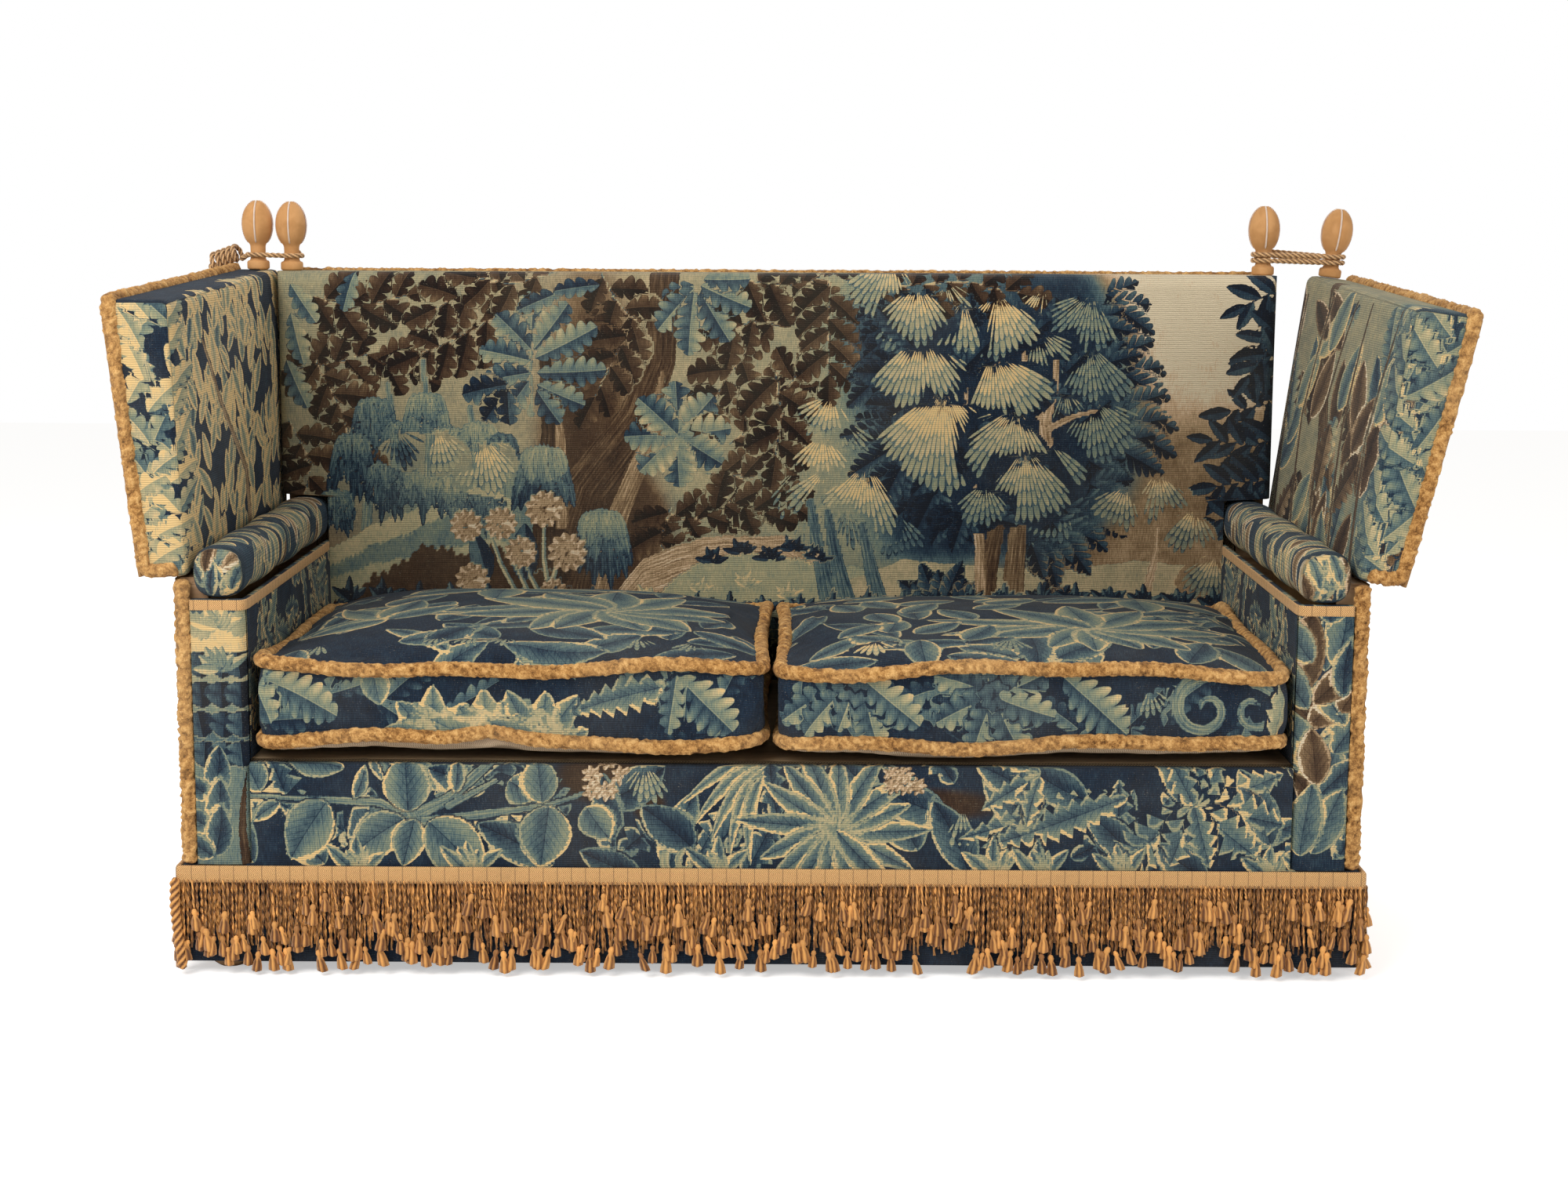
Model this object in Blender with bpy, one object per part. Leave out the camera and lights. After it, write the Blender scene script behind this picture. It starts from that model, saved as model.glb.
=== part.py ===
"""Knole sofa: a high-backed settee with hinged drop wings, roped to finials, and loose cushions.

Metres, +Z up. The sofa faces -Y. Sizes across are measured from the middle plane and used for both sides.
Everything is modelled about the middle of the arms' front faces and carried by the empty `sofa`, which sets
the origin on the floor under the middle of the object's extents.
"""

import math

import bmesh
import bpy
from mathutils import Matrix, Vector

# Driving sizes: the whole sofa
ARM_OUT = 0.880  # middle plane to the outer cover of an arm
ARM_IN = 0.782  # middle plane to the inner face of an arm
HINGE_LEVEL = 0.600  # top of the arm frame, where a wing rests
SEAT_RAIL_TOP = 0.300
BACK_HALF_WIDTH = 0.856
BACK_HEIGHT = 1.030
BODY_DEPTH = 0.770  # arm fronts to the outside of the back
BACK_THICKNESS = 0.114  # front of the back's padding at its edges to its outside
BORDER_BOTTOM = 0.018  # lower edge of the covers above the floor
CONTACT = 0.0003  # gap kept between pieces that touch

# Timber and cover thicknesses
FACING = 0.018  # padding on the arms' fronts
OUTER_COVER = 0.008
REAR_COVER = 0.0097
POST_WIDTH = 0.040
POST_DEPTH = 0.045
RAIL_BOTTOM = 0.060
FRONT_RAIL_THICKNESS = 0.030
ARM_RAIL_DEPTH = 0.038
BACK_FRAME_DEPTH = 0.060
BACK_RAIL_HEIGHT = 0.055
BACK_TOP_PAD = 0.025
BACK_SIDE_PAD = 0.006
DECK = 0.025
FRONT_LIP = 0.022  # height of the padded front lip above the seat rail
WEB_THICKNESS = 0.002
WEB_LONG_STRIPS = 3
WEB_CROSS_STRIPS = 7
WEB_WIDTH = 0.050
BACK_LINING_GAP = 0.004

# Arms
ARM_PAD_BOTTOM = 0.568
ARM_PAD_TOP = 0.645
ARM_PAD_OUT = 0.8525
ARM_PAD_OVERHANG = 0.005
BRAID_HEIGHT = 0.0155
BRAID_THICKNESS = 0.003

# Wings, in their closed position
WING_REAR_INSET = 0.025  # a wing's rear edge in front of the outside of the back
WING_OUTER_FOOT = (0.930, 0.908)  # front and rear
WING_OUTER_LEAN = 0.104  # outwards for each metre up
WING_FRONT_INNER = (0.857, 0.872)  # bottom and top
WING_REAR_INNER = (0.862, 0.862)
WING_CORE_FOOT = 0.871
WING_CORE_LEAN = 0.037
WING_FRONT_HEIGHT = 1.005
WING_REAR_HEIGHT = 1.032
WING_COVER = 0.006
WING_TOP_PAD = 0.025
WING_FRONT_PAD = 0.020
WING_CROWN = 0.006
LEFT_WING_OPEN = 0.0  # degrees
RIGHT_WING_OPEN = 7.5

# Hinges
HINGE_AXIS_OUT = 0.006  # beyond the arm's outer cover
KNUCKLE_RADIUS = 0.005
PIN_RADIUS = 0.0022
PIN_CLEARANCE = 0.0003
LEAF = 0.002
LEAF_DROP = 0.037
WING_LEAF_WIDTH = 0.021
HINGE_INSET = (0.080, 0.065)  # from the arm's front and from the wing's rear
KNUCKLES = 5
KNUCKLE_GAP = 0.0005
HINGE_SIDES = 10

# Cushions
CUSHION_SIDE_GAP = 0.0208  # arm's inner face to the cushion's body
CUSHION_MIDDLE_GAP = 0.0098
CUSHION_FRONT_Y = -0.012
CUSHION_REAR_GAP = 0.019  # a cushion's body to the back's padding
CUSHION_TOP_SEAM = 0.467
CUSHION_BOTTOM_SEAM = 0.361
LEFT_CROWN = 0.055
RIGHT_CROWN = 0.045
CUSHION_PULL_IN = 0.010
CUSHION_CORNER = 0.030
CUSHION_SIDE_STEPS = 4

# Trimmings
RUCHE_WIDTH = 0.023
RUCHE_HEIGHT = 0.016
RUCHE_SUNK = 0.012  # depth of the rebate a ruche is sewn into
CUSHION_RUCHE_RADIUS = 0.0095
BACK_RUCHE_WIDTH = 0.0185
HEADING_TOP = 0.167
HEADING_HEIGHT = 0.026
FRINGE_THICKNESS = 0.008
TASSEL_PITCH = 0.040
TASSEL_CORD = 0.010
TASSEL_SKIRT = 0.028
TASSEL_LENGTHS = (0.098, 0.134, 0.112)

# Finials and ropes
FINIAL_INSET = 0.055  # finials in front of the outside of the back
BACK_FINIAL_X = 0.838
WING_FINIAL_X = 0.896
FINIAL_HEIGHT = 0.118
FINIAL_RADIUS = 0.0262
FINIAL_NECK = 0.0130
FINIAL_COLLAR = 0.0190
FINIAL_COLLAR_HEIGHT = 0.016
FINIAL_NECK_HEIGHT = 0.043
FINIAL_STEPS = 12
DOWEL_RADIUS = 0.006
DOWEL_LENGTH = 0.040
DOWEL_CLEARANCE = 0.0003
ROPE_RADIUS = 0.0045
ROPE_CLEARANCE = 0.0006  # outside an upright neck; more where the neck leans
STRAND_GAP = 0.0011
HANK_TURNS = 4
HANK_RADIUS = 0.0105
HANK_START = (0.037, 0.020, 0.004)  # from the wing finial's neck: out, back and up
HANK_AXIS = (0.93, 0.15, -0.33)

# Feet
FOOT_RADIUS = 0.030
FOOT_NECK = 0.020
FOOT_INSET = 0.060

# Where things meet
BACK_FACE_Y = BODY_DEPTH - BACK_THICKNESS
WING_REAR_Y = BODY_DEPTH - WING_REAR_INSET
HINGE_Y = (HINGE_INSET[0], WING_REAR_Y - HINGE_INSET[1])
CUSHION_REAR_Y = BACK_FACE_Y - CUSHION_REAR_GAP
FINIAL_Y = BODY_DEPTH - FINIAL_INSET
POST_OUT = ARM_OUT - OUTER_COVER - CONTACT
POST_IN = POST_OUT - POST_WIDTH
POST_FRONT_Y = FACING + CONTACT
POST_REAR_Y = POST_FRONT_Y + POST_DEPTH
BACK_FRAME_REAR = BODY_DEPTH - REAR_COVER - CONTACT
BACK_FRAME_FRONT = BACK_FRAME_REAR - BACK_FRAME_DEPTH
BACK_POST_OUT = BACK_HALF_WIDTH - BACK_SIDE_PAD - CONTACT
BACK_POST_IN = BACK_POST_OUT - POST_DEPTH
BACK_POST_TOP = BACK_HEIGHT - BACK_TOP_PAD - CONTACT
ARM_RAIL_TOP = HINGE_LEVEL - 0.0015
HINGE_X = ARM_OUT + HINGE_AXIS_OUT
LEAF_TOP = HINGE_LEVEL - 0.0005
HINGE_Z = LEAF_TOP - KNUCKLE_RADIUS
WING_BOTTOM = HINGE_LEVEL - 0.0002
ARM_RUCHE_IN = ARM_OUT - RUCHE_WIDTH - 0.0015
DECK_TOP = SEAT_RAIL_TOP + CONTACT + DECK
BORDER_FRONT_Y = 0.0
BORDER_TOP = SEAT_RAIL_TOP + FRONT_LIP
ARM_PAD_REAR = BACK_FRAME_FRONT - CONTACT
ROPE_LOOP_RADIUS = FINIAL_NECK + ROPE_RADIUS + ROPE_CLEARANCE
ROPE_LIFT = FINIAL_COLLAR_HEIGHT + 0.005 + ROPE_RADIUS

# The origin lies under the middle of the extents, and the right wing stands further out than the left
WING_SWING = (WING_FRONT_HEIGHT - HINGE_LEVEL) * math.sin(math.radians(RIGHT_WING_OPEN - LEFT_WING_OPEN))
ORIGIN_X = -0.5 * WING_SWING
ORIGIN_Y = -0.5 * (BODY_DEPTH + CUSHION_FRONT_Y)

SIDES = {"left": -1, "right": 1}


def clear_scene():
    for old in list(bpy.data.objects):
        bpy.data.objects.remove(old)


def material(name, colour, roughness, metallic=0.0):
    made = bpy.data.materials.new(name)
    made.use_nodes = True
    shader = made.node_tree.nodes["Principled BSDF"]
    shader.inputs["Base Color"].default_value = (*colour, 1)
    shader.inputs["Roughness"].default_value = roughness
    shader.inputs["Metallic"].default_value = metallic
    return made


def empty(name, location, parent=None, turn_y=0.0):
    made = bpy.data.objects.new(name, None)
    made.location = location
    made.rotation_euler.y = turn_y
    made.parent = parent
    bpy.context.scene.collection.objects.link(made)
    return made


def mesh_object(name, bm, finish, parent, smooth_angle=35):
    """Links a bmesh as an object whose faces point outwards."""
    bmesh.ops.recalc_face_normals(bm, faces=bm.faces)
    mesh = bpy.data.meshes.new(name)
    bm.to_mesh(mesh)
    bm.free()
    mesh.shade_smooth()
    mesh.set_sharp_from_angle(angle=math.radians(smooth_angle))
    made = bpy.data.objects.new(name, mesh)
    if finish:
        mesh.materials.append(finish)
    made.parent = parent
    bpy.context.scene.collection.objects.link(made)
    return made


def box(name, low, high, finish=None, parent=None):
    bm = bmesh.new()
    bmesh.ops.create_cube(bm, size=1)
    size = Vector(high) - Vector(low)
    centre = (Vector(high) + Vector(low)) / 2
    bmesh.ops.scale(bm, vec=size, verts=bm.verts)
    bmesh.ops.translate(bm, vec=centre, verts=bm.verts)
    return mesh_object(name, bm, finish, parent)


def side_box(name, side, across, along, up, finish=None, parent=None):
    """A box on one side, its width given outwards from the middle plane."""
    low, high = sorted(side * x for x in across)
    return box(name, (low, along[0], up[0]), (high, along[1], up[1]), finish, parent)


def prism(name, outline, place, finish=None, parent=None, smooth_angle=35):
    """An outline of 2D points, carried by place(u, v, end) to its two end faces."""
    bm = bmesh.new()
    ends = [[bm.verts.new(place(u, v, end)) for u, v in outline] for end in (0, 1)]
    for ring in ends:
        bm.faces.new(ring)
    count = len(outline)
    for i in range(count):
        j = (i + 1) % count
        bm.faces.new((ends[0][i], ends[0][j], ends[1][j], ends[1][i]))
    return mesh_object(name, bm, finish, parent, smooth_angle)


def loft(name, rings, finish=None, parent=None, smooth_angle=40, caps=True):
    """A skin over rings of equal count, closed at both ends."""
    bm = bmesh.new()
    rows = [[bm.verts.new(point) for point in ring] for ring in rings]
    count = len(rows[0])
    for low, high in zip(rows, rows[1:]):
        for i in range(count):
            j = (i + 1) % count
            bm.faces.new((low[i], low[j], high[j], high[i]))
    if caps:
        bm.faces.new(rows[0])
        bm.faces.new(rows[-1])
    return mesh_object(name, bm, finish, parent, smooth_angle)


def grid_solid(name, front, back, us, vs, finish=None, parent=None, smooth_angle=50):
    """A closed slab between two surfaces, front(u, v) and back(u, v), that meet in side walls."""
    bm = bmesh.new()
    sheets = [[[bm.verts.new(surface(u, v)) for v in vs] for u in us] for surface in (front, back)]
    last_u, last_v = len(us) - 1, len(vs) - 1
    for sheet in sheets:
        for i in range(last_u):
            for j in range(last_v):
                bm.faces.new((sheet[i][j], sheet[i + 1][j], sheet[i + 1][j + 1], sheet[i][j + 1]))
    edge = [(i, 0) for i in range(last_u)] + [(last_u, j) for j in range(last_v)]
    edge += [(i, last_v) for i in range(last_u, 0, -1)] + [(0, j) for j in range(last_v, 0, -1)]
    for (a, b), (c, d) in zip(edge, edge[1:] + edge[:1]):
        bm.faces.new((sheets[0][a][b], sheets[0][c][d], sheets[1][c][d], sheets[1][a][b]))
    return mesh_object(name, bm, finish, parent, smooth_angle)


def rounded_steps(low, high, radius_low, radius_high, middle, arc=3):
    """Stations from low to high, close together where an edge is rounded."""
    stations = [low]
    if radius_low:
        stations = [low + radius_low * (1 - math.cos(math.pi / 2 * k / arc)) for k in range(arc)]
    inner_low = low + radius_low
    inner_high = high - radius_high
    first = 0 if radius_low else 1
    stations += [inner_low + (inner_high - inner_low) * k / middle for k in range(first, middle + 1)]
    if radius_high:
        turns = [math.pi / 2 * (k + 1) / arc for k in range(arc - 1)]
        stations += [high - radius_high * (1 - math.sin(turn)) for turn in turns]
        stations += [high]
        stations = sorted(set(stations))
    return stations


def edge_depth(distances, radius):
    """How far a rounded face has fallen back, from its distances to the rounded edges."""
    squares = sum(max(0.0, radius - distance) ** 2 for distance in distances)
    return radius - math.sqrt(max(0.0, radius**2 - squares))


def hidden(cutter):
    cutter.hide_render = True
    cutter.display_type = "WIRE"
    return cutter


def boolean(target, tool, operation):
    modifier = target.modifiers.new(operation.lower(), "BOOLEAN")
    modifier.operation = operation
    modifier.object = hidden(tool)
    modifier.solver = "EXACT"
    return target


def cut(target, cutter):
    return boolean(target, cutter, "DIFFERENCE")


def join(target, other):
    return boolean(target, other, "UNION")


def tube(name, points, radius, finish=None, parent=None, sides=6):
    """A round tube swept along points, its rings kept square to the path and mitred at its bends."""
    points = [Vector(p) for p in points]
    last = len(points) - 1
    rings = []
    normal = None
    for i, point in enumerate(points):
        into = (point - points[i - 1]).normalized() if i else (points[1] - point).normalized()
        out = (points[i + 1] - point).normalized() if i < last else into
        along = (into + out).normalized()
        if normal is None:
            normal = along.orthogonal()
        normal = (normal - along * normal.dot(along)).normalized()
        across = along.cross(normal)
        bend = out - into
        ring = []
        for k in range(sides):
            angle = 2 * math.pi * (k + 0.5) / sides
            offset = (normal * math.cos(angle) + across * math.sin(angle)) * radius
            if bend.length > 1e-6:
                outward = bend.normalized()
                offset += outward * offset.dot(outward) * (1 / into.dot(along) - 1)
            ring.append(point + offset)
        rings.append(ring)
    return loft(name, rings, finish, parent, 60)


def ruche_section(width, height):
    """Section of a ruche: across its base from 0, and out from its base; flat below and round above."""
    arc = [math.pi * k / 5 for k in range(6)]
    crown = [(width / 2 * (1 - math.cos(a)), height * (0.4 + 0.6 * math.sin(a))) for a in arc]
    return [(0, 0)] + crown + [(width, 0)]


def turned(name, profile, base, finish, parent, steps=12):
    """A turning about +Z: profile is (radius, height) from the bottom pole to the top pole."""
    bm = bmesh.new()
    poles = [bm.verts.new((0, 0, profile[k][1])) for k in (0, -1)]
    rings = []
    for radius, height in profile[1:-1]:
        angles = [2 * math.pi * k / steps for k in range(steps)]
        rings.append([bm.verts.new((radius * math.cos(a), radius * math.sin(a), height)) for a in angles])
    for low, high in zip(rings, rings[1:]):
        for i in range(steps):
            j = (i + 1) % steps
            bm.faces.new((low[i], low[j], high[j], high[i]))
    for pole, ring in zip(poles, (rings[0], rings[-1])):
        if ring[0].co.z == pole.co.z:
            bm.verts.remove(pole)
            bm.faces.new(ring)
            continue
        for i in range(steps):
            bm.faces.new((pole, ring[i], ring[(i + 1) % steps]))
    made = mesh_object(name, bm, finish, parent, 40)
    made.location = base
    return made


def seat_frame(wood, sofa):
    """Four seat rails between the posts, and the webbing tacked under them."""
    up = (RAIL_BOTTOM, SEAT_RAIL_TOP)
    inner = POST_IN - CONTACT
    front_rail_y = (POST_FRONT_Y + 0.002, POST_FRONT_Y + 0.002 + FRONT_RAIL_THICKNESS)
    box("front_seat_rail", (-inner, front_rail_y[0], up[0]), (inner, front_rail_y[1], up[1]), wood, sofa)
    rear = BACK_POST_IN - CONTACT
    rear_y = (BACK_FRAME_REAR - FRONT_RAIL_THICKNESS, BACK_FRAME_REAR)
    box("rear_seat_rail", (-rear, rear_y[0], up[0]), (rear, rear_y[1], up[1]), wood, sofa)
    for name, side in SIDES.items():
        along = (POST_REAR_Y + CONTACT, BACK_FRAME_FRONT - CONTACT)
        side_box(f"{name}_seat_rail", side, (POST_IN, POST_OUT), along, up, wood, sofa)
    return front_rail_y, rear_y


def webbing(jute, sofa, front_rail_y, rear_y):
    """Strips of webbing crossing under the seat, joined where they cross, as one lattice."""
    half = POST_OUT - 0.006
    y0, y1 = front_rail_y[0] + 0.004, rear_y[1] - 0.004
    corner = BACK_POST_IN - 0.004

    def strips(low, high, count):
        edges = []
        for k in range(count):
            middle = low + (high - low) * (k + 0.5) / count
            edges.append((middle - WEB_WIDTH / 2, middle + WEB_WIDTH / 2))
        return edges

    long_strips = strips(POST_REAR_Y + 0.02, BACK_FRAME_FRONT - 0.02, WEB_LONG_STRIPS)
    cross_strips = strips(-corner, corner, WEB_CROSS_STRIPS)
    xs = [-half] + [x for pair in cross_strips for x in pair] + [half]
    ys = [y0] + [y for pair in long_strips for y in pair] + [y1]
    top = RAIL_BOTTOM - CONTACT
    bm = bmesh.new()
    made = {}

    def corner_vert(i, j, k):
        if (i, j, k) not in made:
            made[i, j, k] = bm.verts.new((xs[i], ys[j], top - k * WEB_THICKNESS))
        return made[i, j, k]

    def solid(i, j):
        if not (0 <= i < len(xs) - 1 and 0 <= j < len(ys) - 1):
            return False
        return i % 2 == 1 or j % 2 == 1

    for i in range(len(xs) - 1):
        for j in range(len(ys) - 1):
            if not solid(i, j):
                continue
            ring = [(i, j), (i + 1, j), (i + 1, j + 1), (i, j + 1)]
            for k in (0, 1):
                bm.faces.new([corner_vert(a, b, k) for a, b in ring])
            around = [(i, j - 1), (i + 1, j), (i, j + 1), (i - 1, j)]
            for (a, b), (c, d), beyond in zip(ring, ring[1:] + ring[:1], around):
                if not solid(*beyond):
                    walls = ((a, b, 0), (c, d, 0), (c, d, 1), (a, b, 1))
                    bm.faces.new([corner_vert(*at) for at in walls])
    return mesh_object("seat_webbing", bm, jute, sofa)


def spring_unit(lining, sofa, front_rail_y, rear_y):
    """The springing under the seat, lashed down and sewn into hessian as one block on the webbing."""
    side = BACK_POST_IN - 0.004
    low = (-side, front_rail_y[1] + CONTACT, RAIL_BOTTOM)
    box("seat_spring_unit", low, (side, rear_y[0] - CONTACT, SEAT_RAIL_TOP), lining, sofa)


def arm_frame(wood, sofa):
    """A front post, a back post that narrows above the wing hinge, and a rail between them on each side."""
    for name, side in SIDES.items():
        across = (POST_IN, POST_OUT)
        along = (POST_FRONT_Y, POST_REAR_Y)
        side_box(f"{name}_front_post", side, across, along, (RAIL_BOTTOM, ARM_RAIL_TOP), wood, sofa)
        rail_y = (POST_REAR_Y + CONTACT, BACK_FRAME_FRONT - CONTACT)
        rail_z = (ARM_RAIL_TOP - ARM_RAIL_DEPTH, ARM_RAIL_TOP)
        side_box(f"{name}_arm_rail", side, across, rail_y, rail_z, wood, sofa)
        outline = [
            (BACK_POST_IN, RAIL_BOTTOM),
            (POST_OUT, RAIL_BOTTOM),
            (POST_OUT, ARM_RAIL_TOP),
            (BACK_POST_OUT, ARM_RAIL_TOP),
            (BACK_POST_OUT, BACK_POST_TOP),
            (BACK_POST_IN, BACK_POST_TOP),
        ]
        ends = (BACK_FRAME_FRONT, BACK_FRAME_REAR)
        post = prism(
            f"{name}_back_post", outline, lambda u, v, end: (side * u, ends[end], v), wood, sofa
        )
        seat = (side * BACK_FINIAL_X, FINIAL_Y, BACK_HEIGHT)
        cut(post, dowel_hole(f"cutter_{name}_back_dowel", seat, sofa))
    half = BACK_POST_IN - CONTACT
    low = (-half, BACK_FRAME_REAR - FRONT_RAIL_THICKNESS, BACK_POST_TOP - BACK_RAIL_HEIGHT)
    box("back_top_rail", low, (half, BACK_FRAME_REAR, BACK_POST_TOP), wood, sofa)


def dowel_hole(name, base, parent):
    """A cutter for the hole that a finial's dowel goes into, from above the seat of its collar."""
    radius = DOWEL_RADIUS + DOWEL_CLEARANCE
    angles = [2 * math.pi * k / 14 for k in range(14)]
    heights = (-DOWEL_LENGTH - 0.002, 0.02)
    rings = [
        [(base[0] + radius * math.cos(a), base[1] + radius * math.sin(a), base[2] + h) for a in angles]
        for h in heights
    ]
    return loft(name, rings, None, parent)


def feet(wood, sofa):
    """Low turned feet under the four posts, hidden by the fringe."""
    profile = [
        (0, 0),
        (FOOT_NECK, 0),
        (FOOT_RADIUS * 0.92, 0.006),
        (FOOT_RADIUS, 0.018),
        (FOOT_RADIUS * 0.9, 0.032),
        (FOOT_NECK, 0.042),
        (FOOT_NECK * 1.25, RAIL_BOTTOM - CONTACT),
        (0, RAIL_BOTTOM - CONTACT),
    ]
    front_y = (POST_FRONT_Y + POST_REAR_Y) / 2 + 0.010
    rows = {"front": front_y, "rear": (BACK_FRAME_FRONT + BACK_FRAME_REAR) / 2}
    for name, side in SIDES.items():
        for row, y in rows.items():
            x = side * (ARM_OUT - FOOT_INSET)
            turned(f"{name}_{row}_foot", profile, (x, y, 0), wood, sofa)


def seat_upholstery(tapestry, lining, sofa):
    """The stuffed deck under the cushions and the padded border on the front rail."""
    notch_y = POST_REAR_Y + CONTACT
    notch_x = POST_IN - CONTACT
    front_y = POST_FRONT_Y + 0.002
    outline = [
        (-notch_x, front_y),
        (notch_x, front_y),
        (notch_x, notch_y),
        (POST_OUT, notch_y),
        (POST_OUT, ARM_PAD_REAR),
        (-POST_OUT, ARM_PAD_REAR),
        (-POST_OUT, notch_y),
        (-notch_x, notch_y),
    ]
    levels = (SEAT_RAIL_TOP + CONTACT, DECK_TOP)
    prism("seat_deck", outline, lambda u, v, end: (u, v, levels[end]), lining, sofa)

    wide = ARM_OUT - 0.002
    narrow = ARM_IN - 0.0075
    corner = 0.014
    arc = [math.pi / 2 * k / 4 for k in range(5)]
    centre = (narrow - corner, BORDER_TOP - corner)
    right_edge = [(centre[0] + corner * math.sin(a), centre[1] + corner * math.cos(a)) for a in arc]
    shoulder = HEADING_TOP - CONTACT
    half = [(0, BORDER_TOP), *right_edge, (narrow, shoulder), (wide, shoulder), (wide, BORDER_BOTTOM)]
    outline = half + [(-x, z) for x, z in reversed(half[1:])]
    depths = (BORDER_FRONT_Y, POST_FRONT_Y + 0.002 - CONTACT)
    border = prism("front_border", outline, lambda u, v, end: (u, depths[end], v), tapestry, sofa)
    for name, side in SIDES.items():
        across = (POST_IN - CONTACT, ARM_OUT)
        along = (POST_FRONT_Y - CONTACT, POST_REAR_Y)
        cut(border, side_box(f"cutter_{name}_border", side, across, along, (0.0, HINGE_LEVEL), None, sofa))
    return border


def arm_upholstery(tapestry, velvet, trim, sofa):
    """Facing, inner pad, rounded top pad, outer cover, braid and ruche of each arm."""
    for name, side in SIDES.items():
        arm_facing(name, side, tapestry, sofa)
        arm_inner_pad(name, side, tapestry, sofa)
        arm_top_pad(name, side, tapestry, sofa)
        arm_outer_cover(name, side, velvet, sofa)
        arm_braid(name, side, trim, sofa)
        arm_ruche(name, side, trim, sofa)


def arm_facing(name, side, tapestry, sofa):
    """The padded front of an arm, its inner edge rounded over."""
    low_x, high_x = ARM_IN - 0.007, ARM_RUCHE_IN - CONTACT
    low_z, high_z = HEADING_TOP, ARM_PAD_BOTTOM - CONTACT
    radius = 0.014
    xs = rounded_steps(low_x, high_x, radius, 0, 2)

    def front(x, z):
        return (side * x, edge_depth((x - low_x,), radius), z)

    def back(x, z):
        return (side * x, POST_FRONT_Y - CONTACT, z)

    grid_solid(f"{name}_arm_front", front, back, xs, [low_z, high_z], tapestry, sofa)


def arm_inner_pad(name, side, tapestry, sofa):
    """The padded inner face of an arm, crowned a little towards the seat."""
    crown = 0.004
    ys = [POST_FRONT_Y + (ARM_PAD_REAR - POST_FRONT_Y) * k / 6 for k in range(7)]
    low_z, high_z = DECK_TOP + CONTACT, ARM_PAD_BOTTOM - CONTACT
    zs = [low_z + (high_z - low_z) * k / 4 for k in range(5)]

    def swell(y, z):
        along = 2 * (y - ys[0]) / (ys[-1] - ys[0]) - 1
        up = 2 * (z - low_z) / (high_z - low_z) - 1
        return crown * (1 - along**4) * (1 - up**2)

    def inner(y, z):
        return (side * (ARM_IN - swell(y, z)), y, z)

    def outer(y, z):
        return (side * (POST_IN - CONTACT), y, z)

    grid_solid(f"{name}_arm_inner_pad", inner, outer, ys, zs, tapestry, sofa)


def arm_top_pad(name, side, tapestry, sofa):
    """The roll on an arm: a rounded section that steps over the arm rail, drawn in at its front end."""
    left, right = ARM_IN - ARM_PAD_OVERHANG, ARM_PAD_OUT
    low, step, top = ARM_PAD_BOTTOM, HINGE_LEVEL, ARM_PAD_TOP
    radius = 0.034
    mid_x = (left + right) / 2
    arc = [math.pi * k / 8 for k in range(9)]
    section = [(POST_IN - CONTACT, low), (left + 0.006, low), (left, low + 0.012)]
    section += [(mid_x - (mid_x - left) * math.cos(a), top - radius + radius * math.sin(a)) for a in arc]
    section += [(right, step), (POST_IN - CONTACT, step)]
    stations = ((-0.002, 0.80), (0.004, 0.93), (0.018, 1.0), (0.35, 1.0), (ARM_PAD_REAR, 1.0))
    centre = (mid_x, step)
    rings = []
    for y, share in stations:
        ring = []
        for x, z in section:
            keep = share if z > step else (1 + share) / 2
            x_here = centre[0] + (x - centre[0]) * keep if x < POST_IN - 0.01 or z > step else x
            z_here = centre[1] + (z - centre[1]) * share if z > step else z
            ring.append((side * x_here, y, z_here))
        rings.append(ring)
    loft(f"{name}_arm_top_pad", rings, tapestry, sofa, 50)


def arm_outer_cover(name, side, velvet, sofa):
    """The plain outside cover of an arm, relieved behind for the hinge leaf."""
    along = (POST_FRONT_Y, BACK_FRAME_REAR)
    up = (BORDER_BOTTOM, LEAF_TOP - LEAF - 0.001)
    across = (ARM_OUT - OUTER_COVER, ARM_OUT)
    cover = side_box(f"{name}_arm_outer_cover", side, across, along, up, velvet, sofa)
    relief = (ARM_OUT - OUTER_COVER - 0.01, ARM_OUT - OUTER_COVER + LEAF + 0.0005)
    hinge_y = (HINGE_Y[0] - 0.001, HINGE_Y[1] + 0.001)
    hinge_z = (LEAF_TOP - LEAF_DROP - 0.001, HINGE_LEVEL)
    cut(cover, side_box(f"cutter_{name}_cover", side, relief, hinge_y, hinge_z, None, sofa))


def arm_braid(name, side, trim, sofa):
    """Flat braid under the top pad, across the arm's front and back along its inner face."""
    outer = ARM_RUCHE_IN - CONTACT
    inner = ARM_IN - 0.0075
    near = inner - BRAID_THICKNESS
    outline = [
        (outer, -CONTACT),
        (outer, -CONTACT - BRAID_THICKNESS),
        (near, -CONTACT - BRAID_THICKNESS),
        (near, BACK_FACE_Y - 0.012),
        (inner, BACK_FACE_Y - 0.012),
        (inner, -CONTACT),
    ]
    levels = (ARM_PAD_BOTTOM - CONTACT - BRAID_HEIGHT, ARM_PAD_BOTTOM - CONTACT)
    prism(f"{name}_arm_braid", outline, lambda u, v, end: (side * u, v, levels[end]), trim, sofa)


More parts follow.
